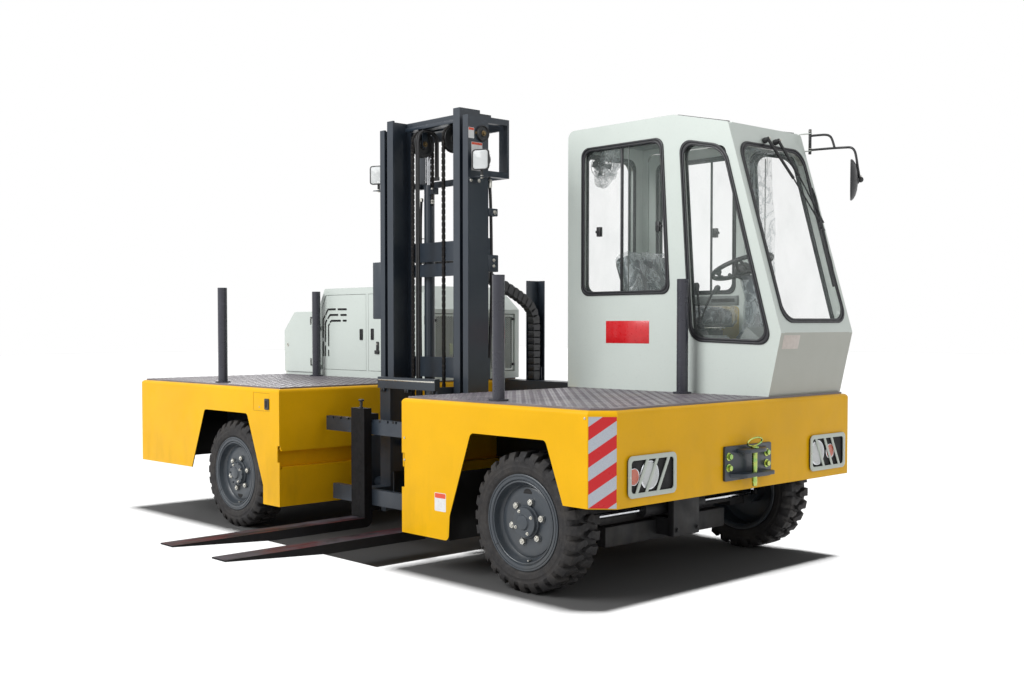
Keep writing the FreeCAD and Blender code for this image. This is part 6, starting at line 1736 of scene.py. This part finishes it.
class FORKLIFT_OT_work_lamps(Builder, bpy.types.Operator):
    """Two work lamps: ribbed square glass, black rim and bowl, each on a bent bracket"""
    bl_idname = "forklift.work_lamps"
    bl_label = "Work lamps"

    def build(self):
        shape = Shape(black_plastic)
        for side in (-1, 1):
            x = WELL_MIDDLE + (0.477 if side > 0 else -0.498)
            lean = Matrix.Rotation(math.radians(24), 4, "Z")
            centre = Matrix.Translation((x, -0.346, 2.3085)) @ lean
            front = centre @ facing((0, -1, 0), (0, -0.006, 0))
            outline = rect(-0.053, -0.061, 0.053, 0.061)
            outer = rounded(outline, 0.020, 6)
            shape.add(slab(outer, 0.014, 0.004), at=front)
            shape.add(hoop(outer, rounded(outline, 0.016, 6, 0.006), 0.006, 0.002),
                      at=front @ Matrix.Translation((0, 0, 0.0135)))
            glass = slab(rounded(outline, 0.016, 6, 0.0065), 0.0035, 0.0015)
            shape.add(glass, clear_lens, front @ Matrix.Translation((0, 0, 0.0138)))
            bowl = turned([(0.0, 0.0), (0.0505, 0.0), (0.0525, 0.004), (0.051, 0.024), (0.044, 0.040),
                           (0.030, 0.048), (0.010, 0.051), (0.0, 0.051)], 36)
            shape.add(bowl, at=centre @ facing((0, 1, 0), (0, -0.008, 0)))
            for z in (-0.030, 0.030):
                fin = block((-0.042, -0.004, z - 0.0015), (0.042, 0.030, z + 0.0015), 0.001)
                shape.add(fin, at=centre)
            self.bracket(shape, side, x)
        piece = shape.stand("ribbed_work_lamps", "outer_mast", ["work_lamps"])

    def bracket(self, shape, side, x):
        """The strip from the upright to the lamp's foot, with its bolts."""
        face = UPRIGHT_FACE[side]
        near, far = sorted((face, x + side * 0.030))
        shape.add(block((near, -0.372, 2.2060), (far, -0.318, 2.2110), 0.002), slate_paint)
        near, far = sorted((face, face + side * 0.005))
        shape.add(block((near, -0.395, 2.178), (far, -0.300, 2.211), 0.002), slate_paint)
        for y in (-0.380, -0.315):
            shape.add(bolt(0.013, 0.006), zinc, facing((side, 0, 0), (face + side * 0.005, y, 2.192)))
        shape.add(drum(0.0085, 0.052, 18, 0.001), black_plastic, (x, -0.346, 2.206))
        shape.add(hexagon(0.017, 0.008), zinc, (x, -0.346, 2.211))
        shape.add(hexagon(0.017, 0.007), zinc, (x, -0.346, 2.199))


class FORKLIFT_OT_mast_details(Builder, bpy.types.Operator):
    """Rollers, bolted covers, blank labels, box, clamps and hoses of the fixed mast"""
    bl_idname = "forklift.mast_details"
    bl_label = "Mast details"

    def build(self):
        covers = Shape(black_plastic)
        labels = Shape(label_white)
        rollers = Shape(zinc)
        for side, face in UPRIGHT_FACE.items():
            out = facing((side, 0, 0))
            place = Matrix.Translation((face, -0.285, 2.476)) @ out
            cover = turned([(0.0, 0.014), (0.020, 0.014), (0.023, 0.010), (0.038, 0.010),
                            (0.042, 0.016), (0.046, 0.016), (0.048, 0.012), (0.048, 0.0), (0.0, 0.0)],
                           40)
            covers.add(cover, at=place)
            covers.add(bolt(0.020, 0.009), brass, place @ Matrix.Translation((0, 0, 0.014)))
            for y in (-0.333, -0.237):
                covers.add(bolt(0.011, 0.006), brass, Matrix.Translation((face, y, 2.476)) @ out)
            for low, high, near, far in ((2.441, 2.505, -0.396, -0.350),
                                         (2.252, 2.421, -0.372, -0.283)):
                outline = rect(near, low, far, high)
                wall = on_plane((face, 0, 0), (0, 1, 0), (0, 0, 1), (side, 0, 0))
                labels.add(slab(rounded(outline, 0.003, 3), 0.0006), at=wall)
                top = rect(near + 0.002, high - 0.016, far - 0.002, high - 0.002)
                labels.add(slab(top, 0.0009), label_orange, wall)
            inner = WELL_MIDDLE + side * 0.3465
            for z in (2.500, 0.235):
                roller = turned([(0.012, 0.0), (0.056, 0.0), (0.060, 0.004), (0.060, 0.044),
                                 (0.056, 0.048), (0.030, 0.048), (0.028, 0.042), (0.012, 0.042)], 40,
                                closed=True)
                rollers.add(roller, at=facing((side, 0, 0), (inner, -0.3165, z)))
                rollers.add(drum(0.013, 0.052, 20, 0.001), grease_steel,
                            facing((side, 0, 0), (inner, -0.3165, z)))
        covers.stand("mast_bolted_covers", "outer_mast")
        labels.stand("mast_blank_labels", "outer_mast")
        rollers.stand("mast_rollers", "outer_mast")
        self.fittings()
        self.carriage()

    def fittings(self):
        """Control box, clamps, cable pipe and hoses on the fixed mast."""
        shape = Shape(slate_paint)
        shape.add(block((-0.330, -0.396, 1.374), (-0.2425, -0.236, 1.742), 0.006))
        shape.add(block((-0.334, -0.388, 1.394), (-0.3295, -0.244, 1.722), 0.002))
        for y in (-0.380, -0.252):
            for z in (1.402, 1.714):
                shape.add(bolt(0.011, 0.005, False), zinc, facing((-1, 0, 0), (-0.334, y, z)))
        shape.add(block((0.556, -0.2325, 1.655), (0.590, -0.150, 1.757), 0.004))
        shape.add(block((0.552, -0.2325, 1.990), (0.594, -0.158, 2.036), 0.004))
        shape.add(bolt(0.016, 0.008), zinc, facing((1, 0, 0), (0.594, -0.185, 2.013)))
        for z in (1.690, 1.725):
            shape.add(bolt(0.013, 0.006), zinc, facing((1, 0, 0), (0.590, -0.190, z)))
        cable = [(0.572, -0.212, 2.235), (0.572, -0.205, 2.180), (0.571, -0.196, 2.05),
                 (0.572, -0.192, 1.80), (0.571, -0.190, 1.50), (0.568, -0.200, 1.20),
                 (0.560, -0.205, 1.05)]
        shape.add(pipe(cable, 0.0095, 4, smooth=True), hose_rubber)
        shape.add(drum(0.013, 0.034, 18, 0.002), zinc, (0.572, -0.205, 2.160))
        shape.add(hexagon(0.026, 0.016), zinc, (0.572, -0.206, 2.194))
        for x in LIFT_X:
            end = x - 0.044
            drop = [(end, -0.196, 2.150), (end - 0.002, -0.202, 2.05), (end, -0.204, 1.80),
                    (end - 0.004, -0.206, 1.40), (end + 0.002, -0.204, 0.90),
                    (end + 0.006, -0.200, 0.42)]
            shape.add(pipe(drop, 0.0085, 4, smooth=True), hose_rubber)
            shape.add(hexagon(0.022, 0.020), zinc, (end, -0.197, 2.128))
            for z in (1.890, 0.980):
                clip = [(end - 0.012, -0.218, z), (end - 0.012, -0.192, z), (end + 0.012, -0.192, z),
                        (x - 0.030, -0.176, z)]
                shape.add(pipe(clip, 0.003, 2), zinc)
        for x in SHEAVE_X:
            shape.add(drum(0.0075, 0.118, 16, 0.001), grease_steel, (x, -0.189, 2.092))
            for z in (2.108, 2.122, 2.198):
                shape.add(hexagon(0.022, 0.011), zinc, (x, -0.189, z))
        shape.stand("mast_hoses_and_clamps", "outer_mast")

    def carriage(self):
        """Rubbed edge, tabs and side-shift blocks of the fork carriage."""
        shape = Shape(slate_paint)
        shape.add(block((WELL_MIDDLE - 0.268, -0.5412, 0.988), (WELL_MIDDLE + 0.268, -0.5398, 0.996),
                        0.0005), zinc)
        for x in (-0.060, 0.173, 0.406):
            shape.add(block((x - 0.018, -0.536, 0.918), (x + 0.018, -0.504, 0.9405), 0.003))
            shape.add(bolt(0.014, 0.005), black_plastic, facing((0, -1, 0), (x, -0.536, 0.929)))
        for x in (-0.36, -0.28, -0.12, 0.173, 0.30, 0.42, 0.66):
            shape.add(block((x - 0.009, -0.7434, 0.748), (x + 0.009, -0.704, 0.7603), 0.0001),
                      black_and_painted_shade)
        shape.stand("carriage_trim", "fork_carriage")
        for x, body in ((0.030, "rear_fork"), (0.565, "front_fork")):
            knob = Shape(black_plastic)
            place = Matrix.Translation((x, -0.772, 0.829))
            knob.add(turned([(0.0, 0.055), (0.015, 0.054), (0.018, 0.050), (0.018, 0.045),
                             (0.010, 0.041), (0.008, 0.010), (0.012, 0.008), (0.012, 0.0), (0.0, 0.0)],
                            20), at=place)
            knob.stand(f"{body}_lock_knob", body)


def plate_outline(length, half):
    """A chain plate: two round ends and a narrower waist, in Y and Z."""
    return [(-half, -length * 0.34), (-half * 0.55, -length * 0.5), (half * 0.55, -length * 0.5),
            (half, -length * 0.34), (half * 0.9, 0.0), (half, length * 0.34),
            (half * 0.55, length * 0.5), (-half * 0.55, length * 0.5), (-half, length * 0.34),
            (-half * 0.9, 0.0)]


def leaf_links(shape, places):
    """Links of a leaf chain: three plates and two plates by turns, each with a pin through."""
    upright = on_plane((0, 0, 0), (0, 1, 0), (0, 0, 1))
    for chosen, offsets in ((places[::2], (-0.0108, -0.0014, 0.0080)),
                            (places[1::2], (-0.0061, 0.0033))):
        for offset in offsets:
            plate = slab(plate_outline(CHAIN_PITCH * 1.72, 0.0068), 0.0028)
            shape.add(plate, grease_steel, Matrix.Translation((offset, 0, 0)) @ upright, copies=chosen)
    pin = drum(0.0028, 0.0236, 8)
    shape.add(pin, grease_steel, facing((1, 0, 0), (-0.0118, 0, CHAIN_PITCH / 2)), copies=places)


class FORKLIFT_OT_lift_chains(Builder, bpy.types.Operator):
    """Leaf chains: runs to the carriage, wraps over the sheaves and runs to the anchors"""
    bl_idname = "forklift.lift_chains"
    bl_label = "Lift chains"

    def build(self):
        radius = 0.0825
        front_y, back_y = SHEAVE_Y - radius, SHEAVE_Y + radius - 0.0005
        for side, x in zip(("rear", "front"), SHEAVE_X):
            run = Shape(grease_steel)
            count = int((SHEAVE_Z - 0.605) / CHAIN_PITCH)
            leaf_links(run, [Matrix.Translation((x, front_y, 0.620 + CHAIN_PITCH * i))
                             for i in range(count)])
            piece = run.stand(f"{side}_chain_to_carriage", None, ["lift_chains"] if side == "rear"
                              else [])
            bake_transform(piece)
            back = Shape(grease_steel)
            count = int((SHEAVE_Z - 2.212) / CHAIN_PITCH)
            leaf_links(back, [Matrix.Translation((x, back_y, 2.224 + CHAIN_PITCH * i))
                              for i in range(count)])
            piece = back.stand(f"{side}_chain_to_anchor", None)
            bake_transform(piece)
            wrap = Shape(grease_steel)
            steps = round(math.pi * radius / CHAIN_PITCH)
            centre = Matrix.Translation((x, SHEAVE_Y, SHEAVE_Z))
            leaf_links(wrap, [centre @ Matrix.Rotation(math.pi * (0.5 + i) / steps, 4, "X") @
                              Matrix.Translation((0, radius, 0)) for i in range(steps)])
            piece = wrap.stand(f"{side}_chain_over_sheave", "inner_mast")


class FORKLIFT_OT_sheaves(Builder, bpy.types.Operator):
    """Grooved chain sheaves on bolted brackets, the hoses beside them and the rods' chrome"""
    bl_idname = "forklift.sheaves"
    bl_label = "Sheaves and hoses"

    def build(self):
        shape = Shape(black_plastic)
        for x in SHEAVE_X:
            axis = facing((1, 0, 0), (x, SHEAVE_Y, SHEAVE_Z))
            groove = [(0.011, -0.015), (0.082, -0.015), (0.083, -0.0125), (0.0750, -0.0115),
                      (0.0750, 0.0115), (0.083, 0.0125), (0.082, 0.015), (0.064, 0.015), (0.060, 0.008),
                      (0.032, 0.008), (0.028, 0.015), (0.011, 0.015)]
            shape.add(turned(groove, 56, closed=True), at=axis)
            for side in (-1, 1):
                inner = min(x + side * 0.0165, x + side * 0.0240)
                cheek = [(-0.020, 0.096), (-0.020, -0.006), (-0.012, -0.022), (0.012, -0.022),
                         (0.020, -0.006), (0.020, 0.096)]
                plate = slab(cheek, 0.0075, 0.001)
                shape.add(plate, slate_paint,
                          on_plane((inner, SHEAVE_Y, SHEAVE_Z), (0, 1, 0), (0, 0, 1), (1, 0, 0)))
                shape.add(bolt(0.022, 0.010), brass,
                          facing((side, 0, 0), (x + side * 0.024, SHEAVE_Y, SHEAVE_Z)))
            shape.add(drum(0.0105, 0.046, 20), brass,
                      facing((1, 0, 0), (x - 0.023, SHEAVE_Y, SHEAVE_Z)))
        shape.add(block((-0.111, -0.2995, 2.5685), (0.457, -0.1965, 2.5895), 0.002), slate_paint)
        piece = shape.stand("grooved_sheaves", "inner_mast", ["chain_sheaves"])
        self.hoses()
        sleeves = Shape(chrome)
        for x in LIFT_X:
            sleeves.add(turned([(0.0222, 2.232), (0.0224, 2.234), (0.0224, 2.556), (0.0222, 2.558)],
                               40), at=(x, -0.168, 0))
        sleeves.stand("lift_rod_chrome", "inner_mast")

    def hoses(self):
        """Two hoses over the rear sheave, and their runs down to the fork carriage."""
        over, runs = Shape(hose_rubber), Shape(hose_rubber)
        radius = 0.0805
        front, back = SHEAVE_Y - radius, SHEAVE_Y + radius
        for x in (0.0630, 0.0810):
            arc = [(x, front, SHEAVE_Z), (x, front, SHEAVE_Z + 0.045),
                   (x, SHEAVE_Y - radius * 0.42, SHEAVE_Z + radius),
                   (x, SHEAVE_Y + radius * 0.42, SHEAVE_Z + radius), (x, back, SHEAVE_Z + 0.045),
                   (x, back, SHEAVE_Z), (x, back, 2.40), (x, back, 2.27)]
            over.add(pipe(arc, 0.0078, 4, smooth=True, steps=8))
            over.add(hexagon(0.021, 0.022), black_plastic, (x, back, 2.250))
            line = [(x, front, 0.700 + (SHEAVE_Z - 0.700) * i / 24) for i in range(25)]
            runs.add(pipe(line, 0.0078, 4))
        over.stand("sheave_hoses", "inner_mast")
        piece = runs.stand("carriage_hoses", None)
        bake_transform(piece)


# ---- Engine housing -------------------------------------------------------------------------------

HOOD_NEAR = 0.180
LOUVRES = [
    [(-1.671, 1.102), (-1.671, 1.205)],
    [(-1.671, 1.242), (-1.671, 1.378), (-1.650, 1.404)],
    [(-1.636, 1.417), (-1.609, 1.454), (-1.515, 1.455)],
    [(-1.479, 1.454), (-1.378, 1.453)],
    [(-1.644, 1.103), (-1.643, 1.173)],
    [(-1.643, 1.213), (-1.641, 1.353), (-1.625, 1.371)],
    [(-1.609, 1.387), (-1.582, 1.412), (-1.484, 1.412)],
    [(-1.444, 1.411), (-1.379, 1.411)],
    [(-1.603, 1.103), (-1.603, 1.141)],
    [(-1.602, 1.179), (-1.601, 1.331), (-1.592, 1.342)],
    [(-1.580, 1.358), (-1.564, 1.368), (-1.452, 1.368)],
    [(-1.416, 1.368), (-1.379, 1.368)],
]


def ribbon(points, half):
    """The outline of a slot with round ends along a bent line, as 2-D pairs."""
    line = [Vector(point) for point in points]
    steps = [(b - a).normalized() for a, b in zip(line, line[1:])]
    left, right = [], []
    for index, point in enumerate(line):
        before, after = steps[max(index - 1, 0)], steps[min(index, len(steps) - 1)]
        normal = Vector((-(before + after).y, (before + after).x)).normalized()
        reach = half / max(normal.dot(Vector((-after.y, after.x))), 0.5)
        left.append(point + normal * reach)
        right.append(point - normal * reach)
    outline = []
    for side, centre, along in ((left, line[-1], steps[-1]), (right[::-1], line[0], -steps[0])):
        outline += side
        across = Vector((-along.y, along.x))
        for turn in (45, 90, 135):
            angle = math.radians(turn)
            outline.append(centre + across * half * math.cos(angle) + along * half * math.sin(angle))
    return outline


class FORKLIFT_OT_hood_doors(Builder, bpy.types.Operator):
    """Louvre slots, recessed handles, latches and hinges of the engine housing's doors"""
    bl_idname = "forklift.hood_doors"
    bl_label = "Engine housing doors"

    def build(self):
        slots = Shape(black_and_painted_shade)
        wall = on_near(HOOD_NEAR)
        for points in LOUVRES:
            # Painted shade: each louvre opening is a thin black sheet, not a cut.
            slots.add(slab(ribbon(points, 0.0080), 0.0006), at=wall)
            lip = hoop(ribbon(points, 0.0094), ribbon(points, 0.0078), 0.0014, 0.0004)
            slots.add(lip, hood_enamel, wall)
        self.cup(slots, -1.214, -1.175, 1.224, 1.306)
        slots.stand("rear_door_louvres", "rear_hood_door")
        front = Shape(black_plastic)
        self.cup(front, -1.081, -1.046, 1.226, 1.309)
        front.add(block((-1.013, HOOD_NEAR, 1.150), (-0.987, HOOD_NEAR - 0.009, 1.214), 0.004))
        front.add(block((-1.030, HOOD_NEAR, 1.125), (-0.980, HOOD_NEAR - 0.012, 1.152), 0.005))
        front.add(drum(0.006, 0.003, 18, 0.001), zinc,
                  facing((0, -1, 0), (-1.000, HOOD_NEAR - 0.009, 1.196)))
        front.stand("front_door_latches", "front_hood_door")
        catch = Shape(black_plastic)
        catch.add(slab(rounded(rect(-0.476, 1.336, -0.450, 1.402), 0.005), 0.010, 0.003), at=wall)
        catch.stand("front_door_catch", "chassis")
        rear = Shape(black_plastic)
        for low, high in ((1.337, 1.399), (1.021, 1.080)):
            rear.add(block((-1.832, HOOD_NEAR, low), (-1.809, HOOD_NEAR - 0.012, high), 0.004))
            for z in (low + 0.012, high - 0.012):
                rear.add(drum(0.0035, 0.002, 12), zinc,
                         facing((0, -1, 0), (-1.8205, HOOD_NEAR - 0.012, z)))
        rear.add(drum(0.013, 0.004, 24, 0.0012), zinc, facing((0, -1, 0), (-2.150, HOOD_NEAR, 1.180)))
        # Painted shade: a black strip stands for the key slot.
        rear.add(slab(rect(-2.1515, 1.174, -2.1485, 1.186), 0.0003), black_and_painted_shade,
                 on_near(HOOD_NEAR - 0.004))
        rear.stand("box_door_fittings", "box_door")

    def cup(self, shape, low, high, foot, top):
        """A recessed black pull: a rim, its hollow painted as a dark sheet of shade, and a finger bar.
        """
        corners = rect(low, foot, high, top)
        outer, inner = rounded(corners, 0.006, 5), rounded(corners, 0.004, 5, 0.0055)
        wall = on_near(HOOD_NEAR)
        shape.add(hoop(outer, inner, 0.0040, 0.0014), black_plastic, wall)
        # Painted shade: the hollow is a flat black sheet.
        shape.add(slab(inner, 0.0008), black_and_painted_shade, wall)
        middle = (low + high) / 2
        shape.add(block((middle - 0.006, HOOD_NEAR, foot + 0.012),
                        (middle + 0.006, HOOD_NEAR - 0.0034, top - 0.012), 0.0015), black_plastic)


class FORKLIFT_OT_grille(Builder, bpy.types.Operator):
    """Expanded-metal grille in its frame, with knobs, and the dark radiator behind it"""
    bl_idname = "forklift.grille"
    bl_label = "Radiator grille"

    def build(self):
        shape = Shape(hood_enamel)
        wall = on_plane((-0.4445, 0, 0), (0, 1, 0), (0, 0, 1))
        low, high, foot, top = 0.226, 1.009, 1.0005, 1.4105
        corners = rect(low, foot, high, top)
        outer, inner = rounded(corners, 0.012, 5), rounded(corners, 0.010, 5, 0.017)
        shape.add(hoop(outer, inner, 0.0055, 0.0012), at=wall)
        wide, tall = 0.024, 0.0145
        strand = block((-0.0145, -0.0019, -0.0008), (0.0145, 0.0019, 0.0008), 0)
        slope = math.atan2(tall, wide)
        places = []
        for i in range(int((high - low - 0.03) / (wide / 2))):
            for j in range(int((top - foot - 0.03) / (tall / 2))):
                y, z = low + 0.018 + i * wide / 2, foot + 0.018 + j * tall / 2
                if (i + j) % 2:
                    continue
                turn = slope if i % 2 else -slope
                places.append(wall @ Matrix.Translation((y, z, 0.0025)) @ Matrix.Rotation(turn, 4, "Z"))
        shape.add(strand, copies=places)
        for y, z in ((0.239, 1.366), (0.998, 1.377), (0.998, 1.045), (0.239, 1.045)):
            knob = turned([(0.0, 0.0165), (0.007, 0.016), (0.0095, 0.012), (0.0095, 0.004),
                           (0.007, 0.0)], 20)
            shape.add(knob, black_plastic, wall @ Matrix.Translation((y, z, 0.004)))
        piece = shape.stand("expanded_grille", "chassis", ["radiator_grille"])
        self.radiator()

    def radiator(self):
        """The finned core, its tank and a few coloured fittings."""
        shape = Shape(black_plastic)
        shape.add(block((-0.520, 0.240, 1.000), (-0.500, 0.990, 1.405), 0.003), black_and_painted_shade)
        for row in range(22):
            z = 1.010 + row * 0.0175
            shape.add(block((-0.500, 0.250, z), (-0.4925, 0.980, z + 0.003), 0))
        shape.add(block((-0.505, 0.885, 1.296), (-0.470, 0.965, 1.386), 0.006), lens_teal)
        for y in (0.42, 0.56, 0.70):
            shape.add(block((-0.500, y, 1.120), (-0.484, y + 0.030, 1.205), 0.004), yellow_zinc)
        shape.stand("radiator_core", "chassis")


# ---- Cable chain ----------------------------------------------------------------------------------

CHAIN_PATH = [(0.972, 0.945), (0.972, 1.390), (0.950, 1.450), (0.861, 1.515), (0.620, 1.624),
              (0.300, 1.731), (-0.170, 1.786)]
CABLE_CHAIN_X = (-0.2200, -0.1650)
LINK_PITCH = 0.0495


def even_points(path, pitch):
    """Points at even steps along a line whose corners are eased, as (y, z) pairs."""
    line = [Vector(point) for point in path]
    fine = []
    for a, b in zip(line, line[1:]):
        count = max(1, round((b - a).length / 0.012))
        fine += [a.lerp(b, i / count) for i in range(count)]
    fine.append(line[-1])
    for _ in range(26):
        fine = [fine[0]] + [(a + b * 2 + c) / 4
                            for a, b, c in zip(fine, fine[1:], fine[2:])] + [fine[-1]]
    points, walked = [fine[0]], 0.0
    for a, b in zip(fine, fine[1:]):
        walked += (b - a).length
        if walked >= pitch * len(points):
            points.append(b)
    return points


class FORKLIFT_OT_cable_chain(Builder, bpy.types.Operator):
    """Cable chain of moulded links from the far beam over to the mast, and its feet"""
    bl_idname = "forklift.cable_chain"
    bl_label = "Cable chain"

    def build(self):
        points = even_points(CHAIN_PATH, LINK_PITCH)
        meeting = next(i for i, point in enumerate(points) if point.x < 0.30)
        joint = (sum(CABLE_CHAIN_X) / 2, *points[meeting])
        foot = (joint[0], *points[1])
        mast = (joint[0], *points[-2])
        first = self.links("cable_chain_to_carriage", points[:meeting + 1], 0, ["energy_chain"])
        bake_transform(first)
        second = self.links("cable_chain_to_mast", points[meeting:], meeting, [])
        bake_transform(second)
        self.feet()

    def links(self, name, points, start, replaced):
        """Rounded links by turns matt and glossy, with ribs across."""
        shape = Shape(black_plastic)
        near, far = CABLE_CHAIN_X
        for index, (a, b) in enumerate(zip(points, points[1:])):
            step = b - a
            place = on_plane((near, *a), (0, *step), (0, -step.y, step.x), (1, 0, 0))
            long, half = step.length, 0.0355
            body = rect(0.0, -half, long - 0.003, half)
            maker = gasket_rubber if (index + start) % 2 else black_plastic
            shape.add(slab(rounded(body, 0.005, 2), far - near - 0.006, 0.002, 1), maker,
                      place @ Matrix.Translation((0, 0, 0.003)))
            plate = [(-0.006, -half * 0.72), (long * 0.72, -half), (long + 0.004, -half * 0.6),
                     (long + 0.004, half * 0.6), (long * 0.72, half), (-0.006, half * 0.72)]
            for out in (0.0, far - near - 0.004):
                shape.add(slab(plate, 0.004, 0.001, 1), maker, place @ Matrix.Translation((0, 0, out)))
            for face in (-1, 1):
                rib = block((long * 0.30, face * half, 0.004), (long * 0.58, face * (half + 0.0025),
                                                               far - near - 0.004), 0.001, 1)
                shape.add(rib, at=place)
        piece = shape.stand(name, None, replaced)
        return piece

    def feet(self):
        """Screwed brackets at the chain's lower end and at the mast."""
        near, far = CABLE_CHAIN_X
        shape = Shape(slate_paint)
        shape.add(block((near - 0.006, 1.010, 0.936), (far + 0.008, 1.016, 1.030), 0.002))
        for z in (0.965, 1.005):
            shape.add(bolt(0.013, 0.006), zinc, facing((0, 1, 0), (sum(CABLE_CHAIN_X) / 2, 1.016, z)))
        shape.stand("cable_chain_foot", "chassis")
        top = Shape(slate_paint)
        for x in (near - 0.008, far + 0.002):
            top.add(block((x, -0.232, 1.742), (x + 0.006, -0.150, 1.830), 0.002))
        for y in (-0.205, -0.172):
            top.add(bolt(0.012, 0.006), zinc, facing((1, 0, 0), (far + 0.008, y, 1.786)))
        top.stand("cable_chain_mast_bracket", "outer_mast")


# ---- Panel and running ------------------------------------------------------------------------

PIECES = [
    FORKLIFT_OT_stage, FORKLIFT_OT_paint, FORKLIFT_OT_tyres, FORKLIFT_OT_rims,
    FORKLIFT_OT_cab_fittings, FORKLIFT_OT_steering_wheel, FORKLIFT_OT_dashboard,
    FORKLIFT_OT_levers, FORKLIFT_OT_cab_trim, FORKLIFT_OT_seat, FORKLIFT_OT_mirror,
    FORKLIFT_OT_wiper, FORKLIFT_OT_lamps, FORKLIFT_OT_hitch, FORKLIFT_OT_body_details,
    FORKLIFT_OT_deck_tread, FORKLIFT_OT_work_lamps, FORKLIFT_OT_mast_details,
    FORKLIFT_OT_lift_chains, FORKLIFT_OT_sheaves, FORKLIFT_OT_hood_doors, FORKLIFT_OT_grille,
    FORKLIFT_OT_cable_chain, FORKLIFT_OT_underbody]


class FORKLIFT_PT_panel(bpy.types.Panel):
    """Lists the pieces of the forklift's looks"""
    bl_label = "Forklift"
    bl_idname = "FORKLIFT_PT_panel"
    bl_space_type = "VIEW_3D"
    bl_region_type = "UI"
    bl_category = "Forklift"

    def draw(self, context):
        looks = context.scene.forklift_looks
        for name in ForkliftLooks.__annotations__:
            self.layout.prop(looks, name)
        for piece in PIECES:
            self.layout.operator(piece.bl_idname)


def register():
    for entry in (ForkliftLooks, *PIECES, FORKLIFT_PT_panel):
        bpy.utils.register_class(entry)
    bpy.types.Scene.forklift_looks = PointerProperty(type=ForkliftLooks)


def unregister():
    del bpy.types.Scene.forklift_looks
    for entry in (FORKLIFT_PT_panel, *reversed(PIECES), ForkliftLooks):
        bpy.utils.unregister_class(entry)


def main():
    register()
    for piece in PIECES:
        group, name = piece.bl_idname.split(".")
        getattr(getattr(bpy.ops, group), name)()


if __name__ == "__main__":
    main()
